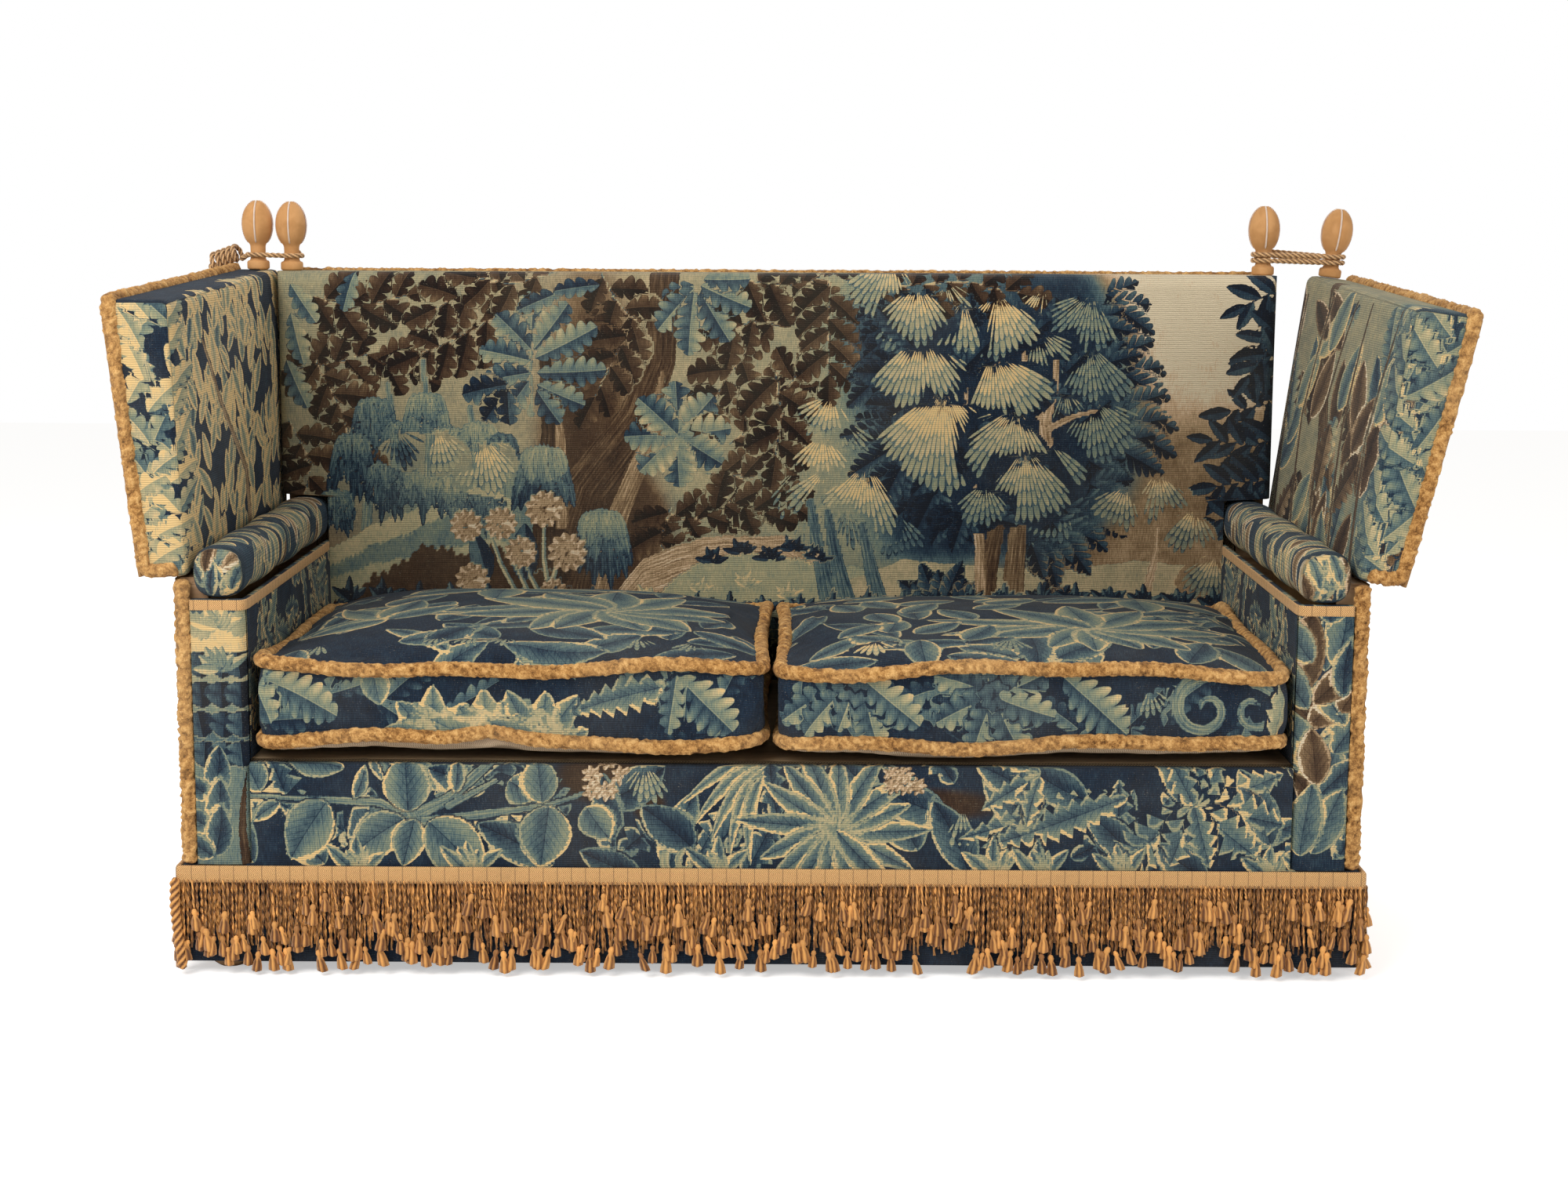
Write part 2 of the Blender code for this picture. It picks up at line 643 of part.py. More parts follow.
def arm_ruche(name, side, trim, sofa):
    """Looped ruche up the outer edge of an arm's front."""
    outer = ARM_RUCHE_IN + RUCHE_WIDTH
    base = POST_FRONT_Y - CONTACT
    crest = base - 0.010 - RUCHE_HEIGHT / 2
    section = ruche_section(RUCHE_WIDTH, base - crest)
    outline = [(outer - a, base - b) for a, b in section]
    levels = (HEADING_TOP, HINGE_LEVEL - 0.001)
    prism(f"{name}_arm_ruche", outline, lambda u, v, end: (side * u, v, levels[end]), trim, sofa)


def back_upholstery(tapestry, velvet, trim, lining, sofa):
    """The back's padding wraps its frame at the top and sides, and narrows between the arms."""
    radius = 0.022
    crown = 0.008
    low_z = DECK_TOP + CONTACT
    low_x, high_x = -BACK_HALF_WIDTH, BACK_HALF_WIDTH
    xs = rounded_steps(low_x, high_x, radius, radius, 10)
    zs = rounded_steps(low_z, BACK_HEIGHT, 0, radius, 6)

    def front(x, z):
        round_off = edge_depth((x - low_x, high_x - x, BACK_HEIGHT - z), radius)
        across = x / BACK_HALF_WIDTH
        up = 2 * (z - low_z) / (BACK_HEIGHT - low_z) - 1
        return (x, BACK_FACE_Y + round_off - crown * (1 - across**4) * (1 - up**4), z)

    def back(x, z):
        return (x, BACK_FRAME_REAR, z)

    pad = grid_solid("back_pad", front, back, xs, zs, tapestry, sofa)
    inner = BACK_POST_OUT + CONTACT
    frame_high = (inner, BODY_DEPTH + 0.01, BACK_POST_TOP + CONTACT)
    cut(pad, box("cutter_back_frame", (-inner, BACK_FRAME_FRONT - CONTACT, 0.0), frame_high, None, sofa))
    ruche_front = BODY_DEPTH - BACK_RUCHE_WIDTH
    ruche_low = BACK_HEIGHT - RUCHE_SUNK
    rebate_low = (-1.0, ruche_front - CONTACT, ruche_low - CONTACT)
    cut(pad, box("cutter_back_ruche", rebate_low, (1.0, BODY_DEPTH + 0.01, BACK_HEIGHT + 0.01), None, sofa))
    for name, side in SIDES.items():
        seat = (side * BACK_FINIAL_X, FINIAL_Y, BACK_HEIGHT)
        cut(pad, dowel_hole(f"cutter_{name}_pad_dowel", seat, sofa))
    for name, side in SIDES.items():
        across = (ARM_IN - ARM_PAD_OVERHANG - 0.003, ARM_OUT + 0.02)
        along = (BACK_FACE_Y - 0.05, BODY_DEPTH + 0.02)
        up = (-0.1, ARM_PAD_TOP + 0.001)
        cut(pad, side_box(f"cutter_{name}_back_arm", side, across, along, up, None, sofa))

    outline = [
        (ARM_OUT, BORDER_BOTTOM),
        (ARM_OUT, ARM_RAIL_TOP),
        (BACK_HALF_WIDTH, ARM_RAIL_TOP),
        (BACK_HALF_WIDTH, ruche_low - CONTACT),
    ]
    outline += [(-x, z) for x, z in reversed(outline)]
    depths = (BACK_FRAME_REAR + CONTACT, BODY_DEPTH)
    prism("back_outer_cover", outline, lambda u, v, end: (u, depths[end], v), velvet, sofa)

    section = ruche_section(BACK_RUCHE_WIDTH, RUCHE_HEIGHT)
    ends = (-BACK_HALF_WIDTH + 0.004, BACK_HALF_WIDTH - 0.004)
    prism("back_ruche", section, lambda u, v, end: (ends[end], ruche_front + u, ruche_low + v), trim, sofa)

    half = BACK_POST_IN - CONTACT
    low = (-half, BACK_FRAME_FRONT, SEAT_RAIL_TOP + CONTACT)
    top = BACK_POST_TOP - BACK_RAIL_HEIGHT - CONTACT
    box("back_stuffing", low, (half, BACK_FRAME_REAR - BACK_LINING_GAP, top), lining, sofa)


def wing_height(y):
    """Height of a closed wing above its bottom, at a distance back from the arm's front."""
    run = y / WING_REAR_Y
    return WING_FRONT_HEIGHT + (WING_REAR_HEIGHT - WING_FRONT_HEIGHT) * run - WING_BOTTOM


def wing_across(y, height, face="outer"):
    """Distance out from the hinge of a closed wing's outer, core or inner face, at a height in it."""
    run = y / WING_REAR_Y
    if face == "outer":
        foot = WING_OUTER_FOOT[0] + (WING_OUTER_FOOT[1] - WING_OUTER_FOOT[0]) * run
        return foot + WING_OUTER_LEAN * height - HINGE_X
    if face == "core":
        return WING_CORE_FOOT + WING_CORE_LEAN * height - HINGE_X
    low = WING_FRONT_INNER[0] + (WING_REAR_INNER[0] - WING_FRONT_INNER[0]) * run
    high = WING_FRONT_INNER[1] + (WING_REAR_INNER[1] - WING_FRONT_INNER[1]) * run
    return low + (high - low) * height / wing_height(y) - HINGE_X


def wing_at(side, inward, y, height, face="outer"):
    """A point in a wing, a distance inwards from one of its faces, about its hinge."""
    return (side * (wing_across(y, height, face) - inward), y, WING_BOTTOM + height - HINGE_Z)


def wing_slab(name, side, faces, ys, heights, finish, parent):
    """A slab of a wing between two of its faces, each with a depth; heights depend on the distance back."""

    def sheet(face, inward):
        def at(y, end):
            return wing_at(side, inward, y, heights[end](y), face)

        return at

    return grid_solid(name, sheet(*faces[0]), sheet(*faces[1]), ys, (0, 1), finish, parent)


def wings(wood, tapestry, velvet, trim, steel, sofa):
    for name, side in SIDES.items():
        angle = LEFT_WING_OPEN if name == "left" else RIGHT_WING_OPEN
        pivot = empty(f"{name}_wing_pivot", (side * HINGE_X, 0, HINGE_Z), sofa, side * math.radians(angle))
        wing(name, side, wood, tapestry, velvet, trim, pivot)
        hinge(name, side, steel, sofa, pivot)


def wing(name, side, wood, tapestry, velvet, trim, pivot):
    """Board, padding, outer cover, ruche and finial of a wing, modelled closed about its hinge."""

    def at_bottom(y):
        return 0.0

    def below(y):
        return -0.05

    def above(y):
        return wing_height(y) + 0.02

    def board_top(y):
        return wing_height(y) - WING_TOP_PAD

    def room_top(y):
        return board_top(y) + CONTACT

    def rebate_floor(y):
        return wing_height(y) - RUCHE_SUNK - CONTACT

    def bottom_run_top(y):
        return RUCHE_WIDTH + CONTACT

    board_y = (WING_FRONT_PAD + CONTACT, WING_REAR_Y - CONTACT)
    board_faces = (("outer", WING_COVER + CONTACT), ("core", 0.0))
    board = wing_slab(f"{name}_wing_board", side, board_faces, board_y, (at_bottom, board_top), wood, pivot)
    cover_y = (RUCHE_SUNK + CONTACT, WING_REAR_Y)
    cover_faces = (("outer", 0.0), ("outer", WING_COVER))
    cover_heights = (at_bottom, rebate_floor)
    wing_slab(f"{name}_wing_outer_cover", side, cover_faces, cover_y, cover_heights, velvet, pivot)
    pad = wing_pad(name, side, tapestry, pivot)
    beyond = (-0.02, WING_REAR_Y + 0.02)
    outside = ("outer", -0.02)
    ruche_in = ("outer", RUCHE_WIDTH + CONTACT)
    rebates = {
        "board": (("core", CONTACT), (WING_FRONT_PAD, beyond[1]), (below, room_top)),
        "front": (ruche_in, (beyond[0], RUCHE_SUNK + CONTACT), (below, above)),
        "top": (ruche_in, beyond, (rebate_floor, above)),
        "bottom": (("outer", 0.15), (beyond[0], RUCHE_SUNK + CONTACT), (below, bottom_run_top)),
    }
    for label, (face, ys, heights) in rebates.items():
        cut(pad, wing_slab(f"cutter_{name}_wing_{label}", side, (outside, face), ys, heights, None, pivot))
    base = wing_top_at(side, WING_FINIAL_X, FINIAL_Y)
    for label, piece in (("board", board), ("pad", pad)):
        cut(piece, dowel_hole(f"cutter_{name}_wing_dowel_{label}", base, pivot))
    wing_ruche(name, side, trim, pivot)


def wing_pad(name, side, tapestry, pivot):
    """Padding on a wing's inner face, front and top, rounded at its edges."""
    radius = 0.016
    ys = rounded_steps(0.0, WING_REAR_Y, radius, 0, 5)
    shares = rounded_steps(0.0, 1.0, 0, radius / (WING_FRONT_HEIGHT - WING_BOTTOM), 4)

    def outer(y, share):
        return wing_at(side, WING_COVER + CONTACT, y, share * wing_height(y))

    def inner(y, share):
        height = share * wing_height(y)
        along = 2 * y / WING_REAR_Y - 1
        up = 2 * share - 1
        swell = WING_CROWN * (1 - along**4) * (1 - up**4)
        fall = edge_depth((y, wing_height(y) - height), radius)
        return wing_at(side, swell - fall - WING_CROWN / 2, y, height, "inner")

    return grid_solid(f"{name}_wing_pad", inner, outer, ys, shares, tapestry, pivot)


def wing_top_at(side, x, y):
    """The seat of a finial on a wing's top, which climbs to the rear, about the hinge."""
    return (side * (x - HINGE_X), y, WING_BOTTOM + wing_height(y + FINIAL_COLLAR) - HINGE_Z)


def wing_ruche(name, side, trim, pivot):
    """Ruche along a wing's front bottom edge, up its outer edge and back along its top."""
    section = ruche_section(RUCHE_WIDTH, RUCHE_HEIGHT)
    start_x = side * (wing_across(0, 0, "inner") + 0.003)
    rear_y = WING_REAR_Y - 0.002
    start = [(start_x, RUCHE_SUNK - b, WING_BOTTOM + a - HINGE_Z) for a, b in section]
    foot = [wing_at(side, a, RUCHE_SUNK - b, a) for a, b in section]
    front_floor = wing_height(RUCHE_SUNK) - RUCHE_SUNK
    head = [wing_at(side, a, RUCHE_SUNK - b, front_floor + b) for a, b in section]
    rear = [wing_at(side, a, rear_y, wing_height(rear_y) - RUCHE_SUNK + b) for a, b in section]
    loft(f"{name}_wing_ruche", [start, foot, head, rear], trim, pivot)


def hinge(name, side, steel, sofa, pivot):
    """A long butt hinge: a leaf down the arm rail, which holds the pin, and a leaf under the wing board."""
    length = (HINGE_Y[1] - HINGE_Y[0]) / KNUCKLES
    for owner, parent, first in (("arm", sofa, 0), ("wing", pivot, 1)):
        centre = (HINGE_X, HINGE_Z) if owner == "arm" else (0.0, 0.0)
        top = LEAF_TOP - HINGE_Z + centre[1]
        near = ARM_OUT - OUTER_COVER
        if owner == "arm":
            plate = ((near, near + LEAF), (top - LEAF_DROP, top))
            tab = (near + 0.0005, centre[0] - 0.0005)
        else:
            plate = ((KNUCKLE_RADIUS + 0.0025, WING_LEAF_WIDTH), (top - LEAF, top))
            tab = (0.0005, KNUCKLE_RADIUS + 0.0045)
        leaf = side_box(f"{name}_hinge_{owner}_leaf", side, plate[0], HINGE_Y, plate[1], steel, parent)
        for k in range(first, KNUCKLES, 2):
            y0 = HINGE_Y[0] + k * length + (KNUCKLE_GAP if k else 0)
            y1 = HINGE_Y[0] + (k + 1) * length - (KNUCKLE_GAP if k < KNUCKLES - 1 else 0)
            label = f"{name}_{owner}"
            strap_z = (top - LEAF, top)
            join(leaf, side_box(f"tool_{label}_strap_{k}", side, tab, (y0, y1), strap_z, None, parent))
            join(leaf, bar(f"tool_{label}_barrel_{k}", side, centre, KNUCKLE_RADIUS, (y0, y1), parent))
        if owner == "arm":
            for k in range(1, KNUCKLES, 2):
                y0 = HINGE_Y[0] + k * length - 0.001
                pin_y = (y0, y0 + length + 0.002)
                join(leaf, bar(f"tool_{name}_pin_{k}", side, centre, PIN_RADIUS, pin_y, parent))
        else:
            through = (HINGE_Y[0] - 0.01, HINGE_Y[1] + 0.01)
            cut(leaf, bar(f"cutter_{name}_bore", side, centre, PIN_RADIUS + PIN_CLEARANCE, through, parent))


def bar(name, side, centre, radius, along, parent):
    """A round bar along Y, used to shape a hinge leaf."""
    angles = [2 * math.pi * (k + 0.5) / HINGE_SIDES for k in range(HINGE_SIDES)]
    rings = [
        [(side * (centre[0] + radius * math.cos(a)), y, centre[1] + radius * math.sin(a)) for a in angles]
        for y in along
    ]
    return loft(name, rings, None, parent)


def finial_profile():
    """A dowel, a collar, a waisted neck and an egg."""
    egg_low = FINIAL_NECK_HEIGHT
    egg = ((0.14, 0.70), (0.30, 0.89), (0.52, 1.0), (0.72, 0.92), (0.87, 0.67), (0.965, 0.35))
    return [
        (0, -DOWEL_LENGTH),
        (DOWEL_RADIUS, -DOWEL_LENGTH),
        (DOWEL_RADIUS, CONTACT),
        (FINIAL_COLLAR * 0.94, CONTACT),
        (FINIAL_COLLAR, FINIAL_COLLAR_HEIGHT * 0.5),
        (FINIAL_COLLAR * 0.90, FINIAL_COLLAR_HEIGHT),
        (FINIAL_NECK, FINIAL_COLLAR_HEIGHT + 0.003),
        (FINIAL_NECK, egg_low),
        *((FINIAL_RADIUS * r, egg_low + (FINIAL_HEIGHT - egg_low) * h) for h, r in egg),
        (0, FINIAL_HEIGHT),
    ]


def finials(velvet, sofa):
    profile = finial_profile()
    for name, side in SIDES.items():
        back = (side * BACK_FINIAL_X, FINIAL_Y, BACK_HEIGHT)
        turned(f"{name}_back_finial", profile, back, velvet, sofa, FINIAL_STEPS)
        pivot = bpy.data.objects[f"{name}_wing_pivot"]
        top = wing_top_at(side, WING_FINIAL_X, FINIAL_Y)
        turned(f"{name}_wing_finial", profile, top, velvet, pivot, FINIAL_STEPS)


def cushions(tapestry, trim, sofa):
    """Two loose box cushions, crowned and drawn in between their corners, with a ruche on both edges."""
    for name, side in SIDES.items():
        crown = LEFT_CROWN if name == "left" else RIGHT_CROWN
        low_x, high_x = CUSHION_MIDDLE_GAP, ARM_IN - CUSHION_SIDE_GAP
        centre = (side * (low_x + high_x) / 2, (CUSHION_FRONT_Y + CUSHION_REAR_Y) / 2, 0)
        outline = cushion_outline((high_x - low_x) / 2, (CUSHION_REAR_Y - CUSHION_FRONT_Y) / 2)
        cushion_body(f"{name}_seat_cushion", outline, crown, tapestry, sofa).location = centre
        for edge, height in (("top", CUSHION_TOP_SEAM), ("bottom", CUSHION_BOTTOM_SEAM)):
            cushion_ruche(f"{name}_cushion_{edge}_ruche", outline, height, trim, sofa).location = centre


def cushion_outline(half_x, half_y):
    """Points and mitred outward normals of a rounded rectangle drawn in between its corners."""
    points = []
    for quarter in range(4):
        run, reach = (half_x, half_y) if quarter % 2 == 0 else (half_y, half_x)
        stretch = []
        for k in range(CUSHION_SIDE_STEPS + 1):
            share = -1 + 2 * k / CUSHION_SIDE_STEPS
            stretch.append((share * (run - CUSHION_CORNER), reach - CUSHION_PULL_IN * (1 - share**2)))
        cut_back = CUSHION_CORNER * (1 - math.sqrt(0.5))
        stretch.append((run - cut_back, reach - cut_back))
        turn = Matrix.Rotation(quarter * math.pi / 2, 2)
        points += [turn @ Vector((along, -away)) for along, away in stretch]
    normals = []
    for before, point, after in zip(points[-1:] + points, points, points[1:] + points[:1]):
        into, out = (point - before).normalized(), (after - point).normalized()
        first, second = Vector((into.y, -into.x)), Vector((out.y, -out.x))
        normals.append((first + second) / (1 + first.dot(second)))
    return points, normals


def outline_ring(outline, outward, height, scale=1.0):
    points, normals = outline
    return [(*((p + n * outward) * scale), height) for p, n in zip(points, normals)]


def cushion_ruche(name, outline, height, trim, sofa):
    """A ruche of six-sided section running all round a cushion's seam."""
    radius = CUSHION_RUCHE_RADIUS
    angles = [math.pi / 3 * k for k in range(6)]
    rings = [outline_ring(outline, radius * math.cos(a), height + radius * math.sin(a)) for a in angles]
    bm = bmesh.new()
    rows = [[bm.verts.new(p) for p in ring] for ring in rings]
    for low, high in zip(rows, rows[1:] + rows[:1]):
        for i in range(len(low)):
            j = (i + 1) % len(low)
            bm.faces.new((low[i], low[j], high[j], high[i]))
    return mesh_object(name, bm, trim, sofa, 75)


def cushion_body(name, outline, crown, tapestry, sofa):
    """Crowned above and below, with a straight border between two grooves that the ruches sit in."""
    groove = CUSHION_RUCHE_RADIUS + CONTACT / math.cos(math.pi / 6)
    lip = groove * math.sin(math.pi / 3)
    wall = groove / 2
    shares = (0.30, 0.55, 0.78, 0.93)

    def dome(share):
        return ((1 - share**2.6) / (1 - shares[0] ** 2.6)) ** 0.62

    def face(edge, height):
        return [outline_ring(outline, -wall, edge + height * dome(s), s) for s in shares]

    def seam(level):
        steps = ((-wall, -lip), (-groove, 0.0), (-wall, lip))
        return [outline_ring(outline, outward, level + lift) for outward, lift in steps]

    low = CUSHION_BOTTOM_SEAM - lip
    high = CUSHION_TOP_SEAM + lip
    rings = face(low, DECK_TOP + CONTACT - low)
    rings += seam(CUSHION_BOTTOM_SEAM) + seam(CUSHION_TOP_SEAM)
    rings += reversed(face(high, CUSHION_TOP_SEAM + crown - high))
    return loft(name, rings, tapestry, sofa, 50)


def comb_outline(length, first):
    """A heading with tassels hanging from it, each widening to its foot, in three lengths."""
    top, heading_bottom = HEADING_TOP, HEADING_TOP - HEADING_HEIGHT
    count = int(length / TASSEL_PITCH)
    start = -count * TASSEL_PITCH / 2
    end = length / 2
    outline = [(end, heading_bottom), (end, top), (-end, top), (-end, heading_bottom)]
    for k in range(count):
        middle = start + (k + 0.5) * TASSEL_PITCH
        bottom = heading_bottom - TASSEL_LENGTHS[(k + first) % len(TASSEL_LENGTHS)]
        outline += [
            (middle - TASSEL_CORD / 2, heading_bottom),
            (middle - TASSEL_SKIRT / 2, bottom),
            (middle + TASSEL_SKIRT / 2, bottom),
            (middle + TASSEL_CORD / 2, heading_bottom),
        ]
    return outline


def fringe(trim, sofa):
    """Tasselled fringe with a woven heading round all four sides, joined at the corners."""
    face = CONTACT
    out = FRINGE_THICKNESS
    half = ARM_OUT + face
    front, rear = -face, BODY_DEPTH + face
    runs = {
        "front": (2 * (half + out), lambda u, v, end: (u, front - end * out, v)),
        "rear": (2 * (half + out), lambda u, v, end: (u, rear + end * out, v)),
        "left": (rear - front + 2 * out, lambda u, v, end: (-half - end * out, u + (front + rear) / 2, v)),
        "right": (rear - front + 2 * out, lambda u, v, end: (half + end * out, u + (front + rear) / 2, v)),
    }
    pieces = []
    for k, (run, (length, place)) in enumerate(runs.items()):
        title = "base_fringe" if run == "front" else f"tool_{run}_fringe"
        pieces.append(prism(title, comb_outline(length, k), place, trim, sofa, 30))
    for other in pieces[1:]:
        join(pieces[0], other)


def neck_arc(centre, side, start, end, steps=8, lean=0.0):
    """Rope points round a neck that leans; angles in degrees, 0 outwards and 90 to the rear."""
    radius = ROPE_LOOP_RADIUS + ROPE_RADIUS * math.sin(math.radians(lean))
    points = []
    for k in range(steps + 1):
        angle = math.radians(start + (end - start) * k / steps)
        around = Vector((side * math.cos(angle), math.sin(angle), 0))
        points.append(centre + around * radius)
    return points


def coil(start, axis, lowest, radius, turns, pitch, steps=8):
    """Points round an axis, one turn after another, from the side named by the vector lowest."""
    first = (lowest - axis * lowest.dot(axis)).normalized()
    second = first.cross(axis)
    points = []
    for k in range(int(turns * steps) + 1):
        angle = 2 * math.pi * k / steps
        ring = first * math.cos(angle) + second * math.sin(angle)
        points.append(start + axis * pitch * k / steps + ring * radius)
    return points


def ropes(cord, sofa):
    """A rope on each side, looped round the necks of the back finial and the wing finial."""
    for name, side in SIDES.items():
        pivot = bpy.data.objects[f"{name}_wing_pivot"]
        turn = Matrix.Rotation(pivot.rotation_euler.y, 3, "Y")
        wing_top = Vector(wing_top_at(side, WING_FINIAL_X, FINIAL_Y))

        def back_neck(lift):
            return Vector((side * BACK_FINIAL_X, FINIAL_Y, BACK_HEIGHT + lift))

        def wing_neck(lift):
            return turn @ (wing_top + Vector((0, 0, lift))) + pivot.location

        low, high = ROPE_LIFT, ROPE_LIFT + 2 * ROPE_RADIUS + STRAND_GAP
        path = neck_arc(back_neck(low), side, 90, 270)
        if name == "right":
            path += neck_arc(wing_neck(low), side, -90, 90, lean=RIGHT_WING_OPEN)
            path += neck_arc(back_neck(high), side, 90, 270)
            path += neck_arc(wing_neck(high), side, -90, 90, lean=RIGHT_WING_OPEN)
        else:
            path += neck_arc(wing_neck(low), side, -90, 0, 4)
            path += hank(wing_neck(low), side)
        gap = least_gap(path) * 1000
        print(f"{name} rope: length {rope_length(path):.3f} m, least gap to itself {gap:.2f} mm")
        tube(f"{name}_rope", path, ROPE_RADIUS, cord, sofa)


def hank(neck, side):
    """The rope's spare length, wound into a hank that leans out over the wing's top edge."""
    axis = Vector((side * HANK_AXIS[0], HANK_AXIS[1], HANK_AXIS[2])).normalized()
    start = neck + Vector((side * HANK_START[0], HANK_START[1], HANK_START[2]))
    pitch = 2 * ROPE_RADIUS + STRAND_GAP
    wound = coil(start, axis * -side, Vector((0, 0, -1)), HANK_RADIUS, HANK_TURNS, pitch * -side)
    lead = (neck + Vector((side * ROPE_LOOP_RADIUS, 0, 0)) + wound[0]) / 2
    return [lead] + wound


def rope_length(points):
    return sum((b - a).length for a, b in zip(points, points[1:]))


def least_gap(points):
    """The least gap between stretches of a rope's path that are a turn or more apart."""
    dense = [a.lerp(b, k / 6) for a, b in zip(points, points[1:]) for k in range(6)]
    stations = [0.0]
    for a, b in zip(dense, dense[1:]):
        stations.append(stations[-1] + (b - a).length)
    least = 9.0
    for i, a in enumerate(dense):
        for j in range(i + 1, len(dense)):
            if stations[j] - stations[i] > 4.5 * ROPE_RADIUS:
                least = min(least, (dense[j] - a).length)
    return least - 2 * ROPE_RADIUS


def main():
    clear_scene()
    wood = material("beech", (0.52, 0.35, 0.19), 0.6)
    tapestry = material("tapestry", (0.13, 0.22, 0.27), 0.9)
    velvet = material("velvet", (0.56, 0.38, 0.19), 0.8)
    lining = material("lining", (0.50, 0.36, 0.22), 0.9)
    trim = material("trimming", (0.50, 0.32, 0.14), 0.85)
    cord = material("rope", (0.55, 0.33, 0.13), 0.7)
    jute = material("jute", (0.45, 0.36, 0.24), 0.95)
    steel = material("hinge_steel", (0.45, 0.44, 0.42), 0.4, 1.0)
    sofa = empty("sofa", (ORIGIN_X, ORIGIN_Y, 0))
    front_rail_y, rear_y = seat_frame(wood, sofa)
    webbing(jute, sofa, front_rail_y, rear_y)
    spring_unit(lining, sofa, front_rail_y, rear_y)
    arm_frame(wood, sofa)
    feet(wood, sofa)
    seat_upholstery(tapestry, lining, sofa)
    arm_upholstery(tapestry, velvet, trim, sofa)
    back_upholstery(tapestry, velvet, trim, lining, sofa)
    wings(wood, tapestry, velvet, trim, steel, sofa)
    finials(velvet, sofa)
    cushions(tapestry, trim, sofa)
    fringe(trim, sofa)
    ropes(cord, sofa)


main()
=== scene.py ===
"""Knole sofa: old verdure tapestry, plain velvet outsides, looped ruches, roped finials and a tasselled
fringe.

Sizes are metres. Shapes are worked out about the middle of the arms' fronts, and `make` sets them over the
object's origin.
"""

import math

import bmesh
import bpy
import numpy as np
from mathutils import Matrix, Vector


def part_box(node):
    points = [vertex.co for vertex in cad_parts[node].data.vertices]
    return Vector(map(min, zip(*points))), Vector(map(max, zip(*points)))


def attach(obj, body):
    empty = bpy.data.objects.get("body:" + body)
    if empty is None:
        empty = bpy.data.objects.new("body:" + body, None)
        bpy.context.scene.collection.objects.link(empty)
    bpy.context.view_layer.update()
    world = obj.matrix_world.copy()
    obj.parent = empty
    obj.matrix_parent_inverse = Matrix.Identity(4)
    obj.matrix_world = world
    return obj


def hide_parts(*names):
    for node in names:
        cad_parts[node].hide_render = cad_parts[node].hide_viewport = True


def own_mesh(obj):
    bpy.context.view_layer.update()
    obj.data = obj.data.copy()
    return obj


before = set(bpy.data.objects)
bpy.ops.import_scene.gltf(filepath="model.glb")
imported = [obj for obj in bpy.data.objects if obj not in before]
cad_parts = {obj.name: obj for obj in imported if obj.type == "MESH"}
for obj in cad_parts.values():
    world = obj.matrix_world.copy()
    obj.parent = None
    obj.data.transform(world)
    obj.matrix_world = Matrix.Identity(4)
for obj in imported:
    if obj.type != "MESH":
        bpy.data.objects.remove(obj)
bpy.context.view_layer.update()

# Sizes shared with the solids
ARM_OUT = 0.880
ARM_IN = 0.782
BACK_HALF_WIDTH = 0.856
BACK_HEIGHT = 1.030
BACK_FACE_Y = 0.656
BODY_DEPTH = 0.770
ARM_PAD_REAR = 0.6997
POST_IN = 0.8317
ROLL_TOP = 0.648
PAD_BOTTOM = 0.3256
BACK_PAD_HEIGHT = 0.7044
ARM_PAD_TOP = 0.5675
ARM_FRONT_X = 0.8151
INNER_HALF_WIDTH = 0.7745
CUSHION_X = 0.3855
CUSHION_Y = 0.3125
WING_HEIGHT = 0.405
VELVET_THICK = 0.0062
NECK_LOOP = 0.0181
WING_REAR_Y = 0.745
WING_BOTTOM = 0.5998
HINGE_X = 0.886
HINGE_Z = 0.5945
WING_OPEN = {"left": 0.0, "right": 7.5}
HEADING_TOP = 0.167
HEADING_HEIGHT = 0.026
FRINGE_TOP = HEADING_TOP - HEADING_HEIGHT / 2 - 0.008
DECK_TOP = 0.3253
TOP_SEAM = 0.467
BOTTOM_SEAM = 0.361
CROWN = {"left": 0.060, "right": 0.052}
FINIAL_Y = 0.715
BACK_FINIAL_X = 0.838
WING_FINIAL_X = 0.896
FINIAL_NECK = 0.0130
ROPE_RADIUS = 0.0045
ORIGIN = np.array([-0.5 * WING_HEIGHT * math.sin(math.radians(WING_OPEN["right"])),
                   -0.5 * (BODY_DEPTH - 0.012), 0.0])
SIDES = {"left": -1, "right": 1}


def grid_faces(rows, columns, round_rows=False, round_columns=False):
    """Quads of points numbered row by row; a round direction joins its last line to its first."""
    i = np.arange(rows if round_rows else rows - 1)[:, None]
    j = np.arange(columns if round_columns else columns - 1)[None, :]
    below, beside = (i + 1) % rows, (j + 1) % columns
    corners = [i * columns + j, i * columns + beside, below * columns + beside, below * columns + j]
    return np.stack(np.broadcast_arrays(*corners), -1).reshape(-1, 4)


def make(name, points, faces, finish, body, stands_for=(), creases=False, outward=True):
    """A smooth-shaded mesh object from arrays of points and corner numbers, riding on a body."""
    points = np.asarray(points, float).reshape(-1, 3) + ORIGIN
    mesh = bpy.data.meshes.new(name)
    mesh.from_pydata(points, [], faces)
    if outward:
        bm = bmesh.new()
        bm.from_mesh(mesh)
        bmesh.ops.recalc_face_normals(bm, faces=bm.faces)
        bm.to_mesh(mesh)
        bm.free()
    mesh.shade_smooth()
    if creases:
        mesh.set_sharp_from_angle(angle=math.radians(45))
    for material in finish if isinstance(finish, list) else [finish]:
        mesh.materials.append(material)
    piece = bpy.data.objects.new(name, mesh)
    bpy.context.scene.collection.objects.link(piece)
    if body:
        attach(piece, body)
    if stands_for:
        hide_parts(*stands_for)
    return piece


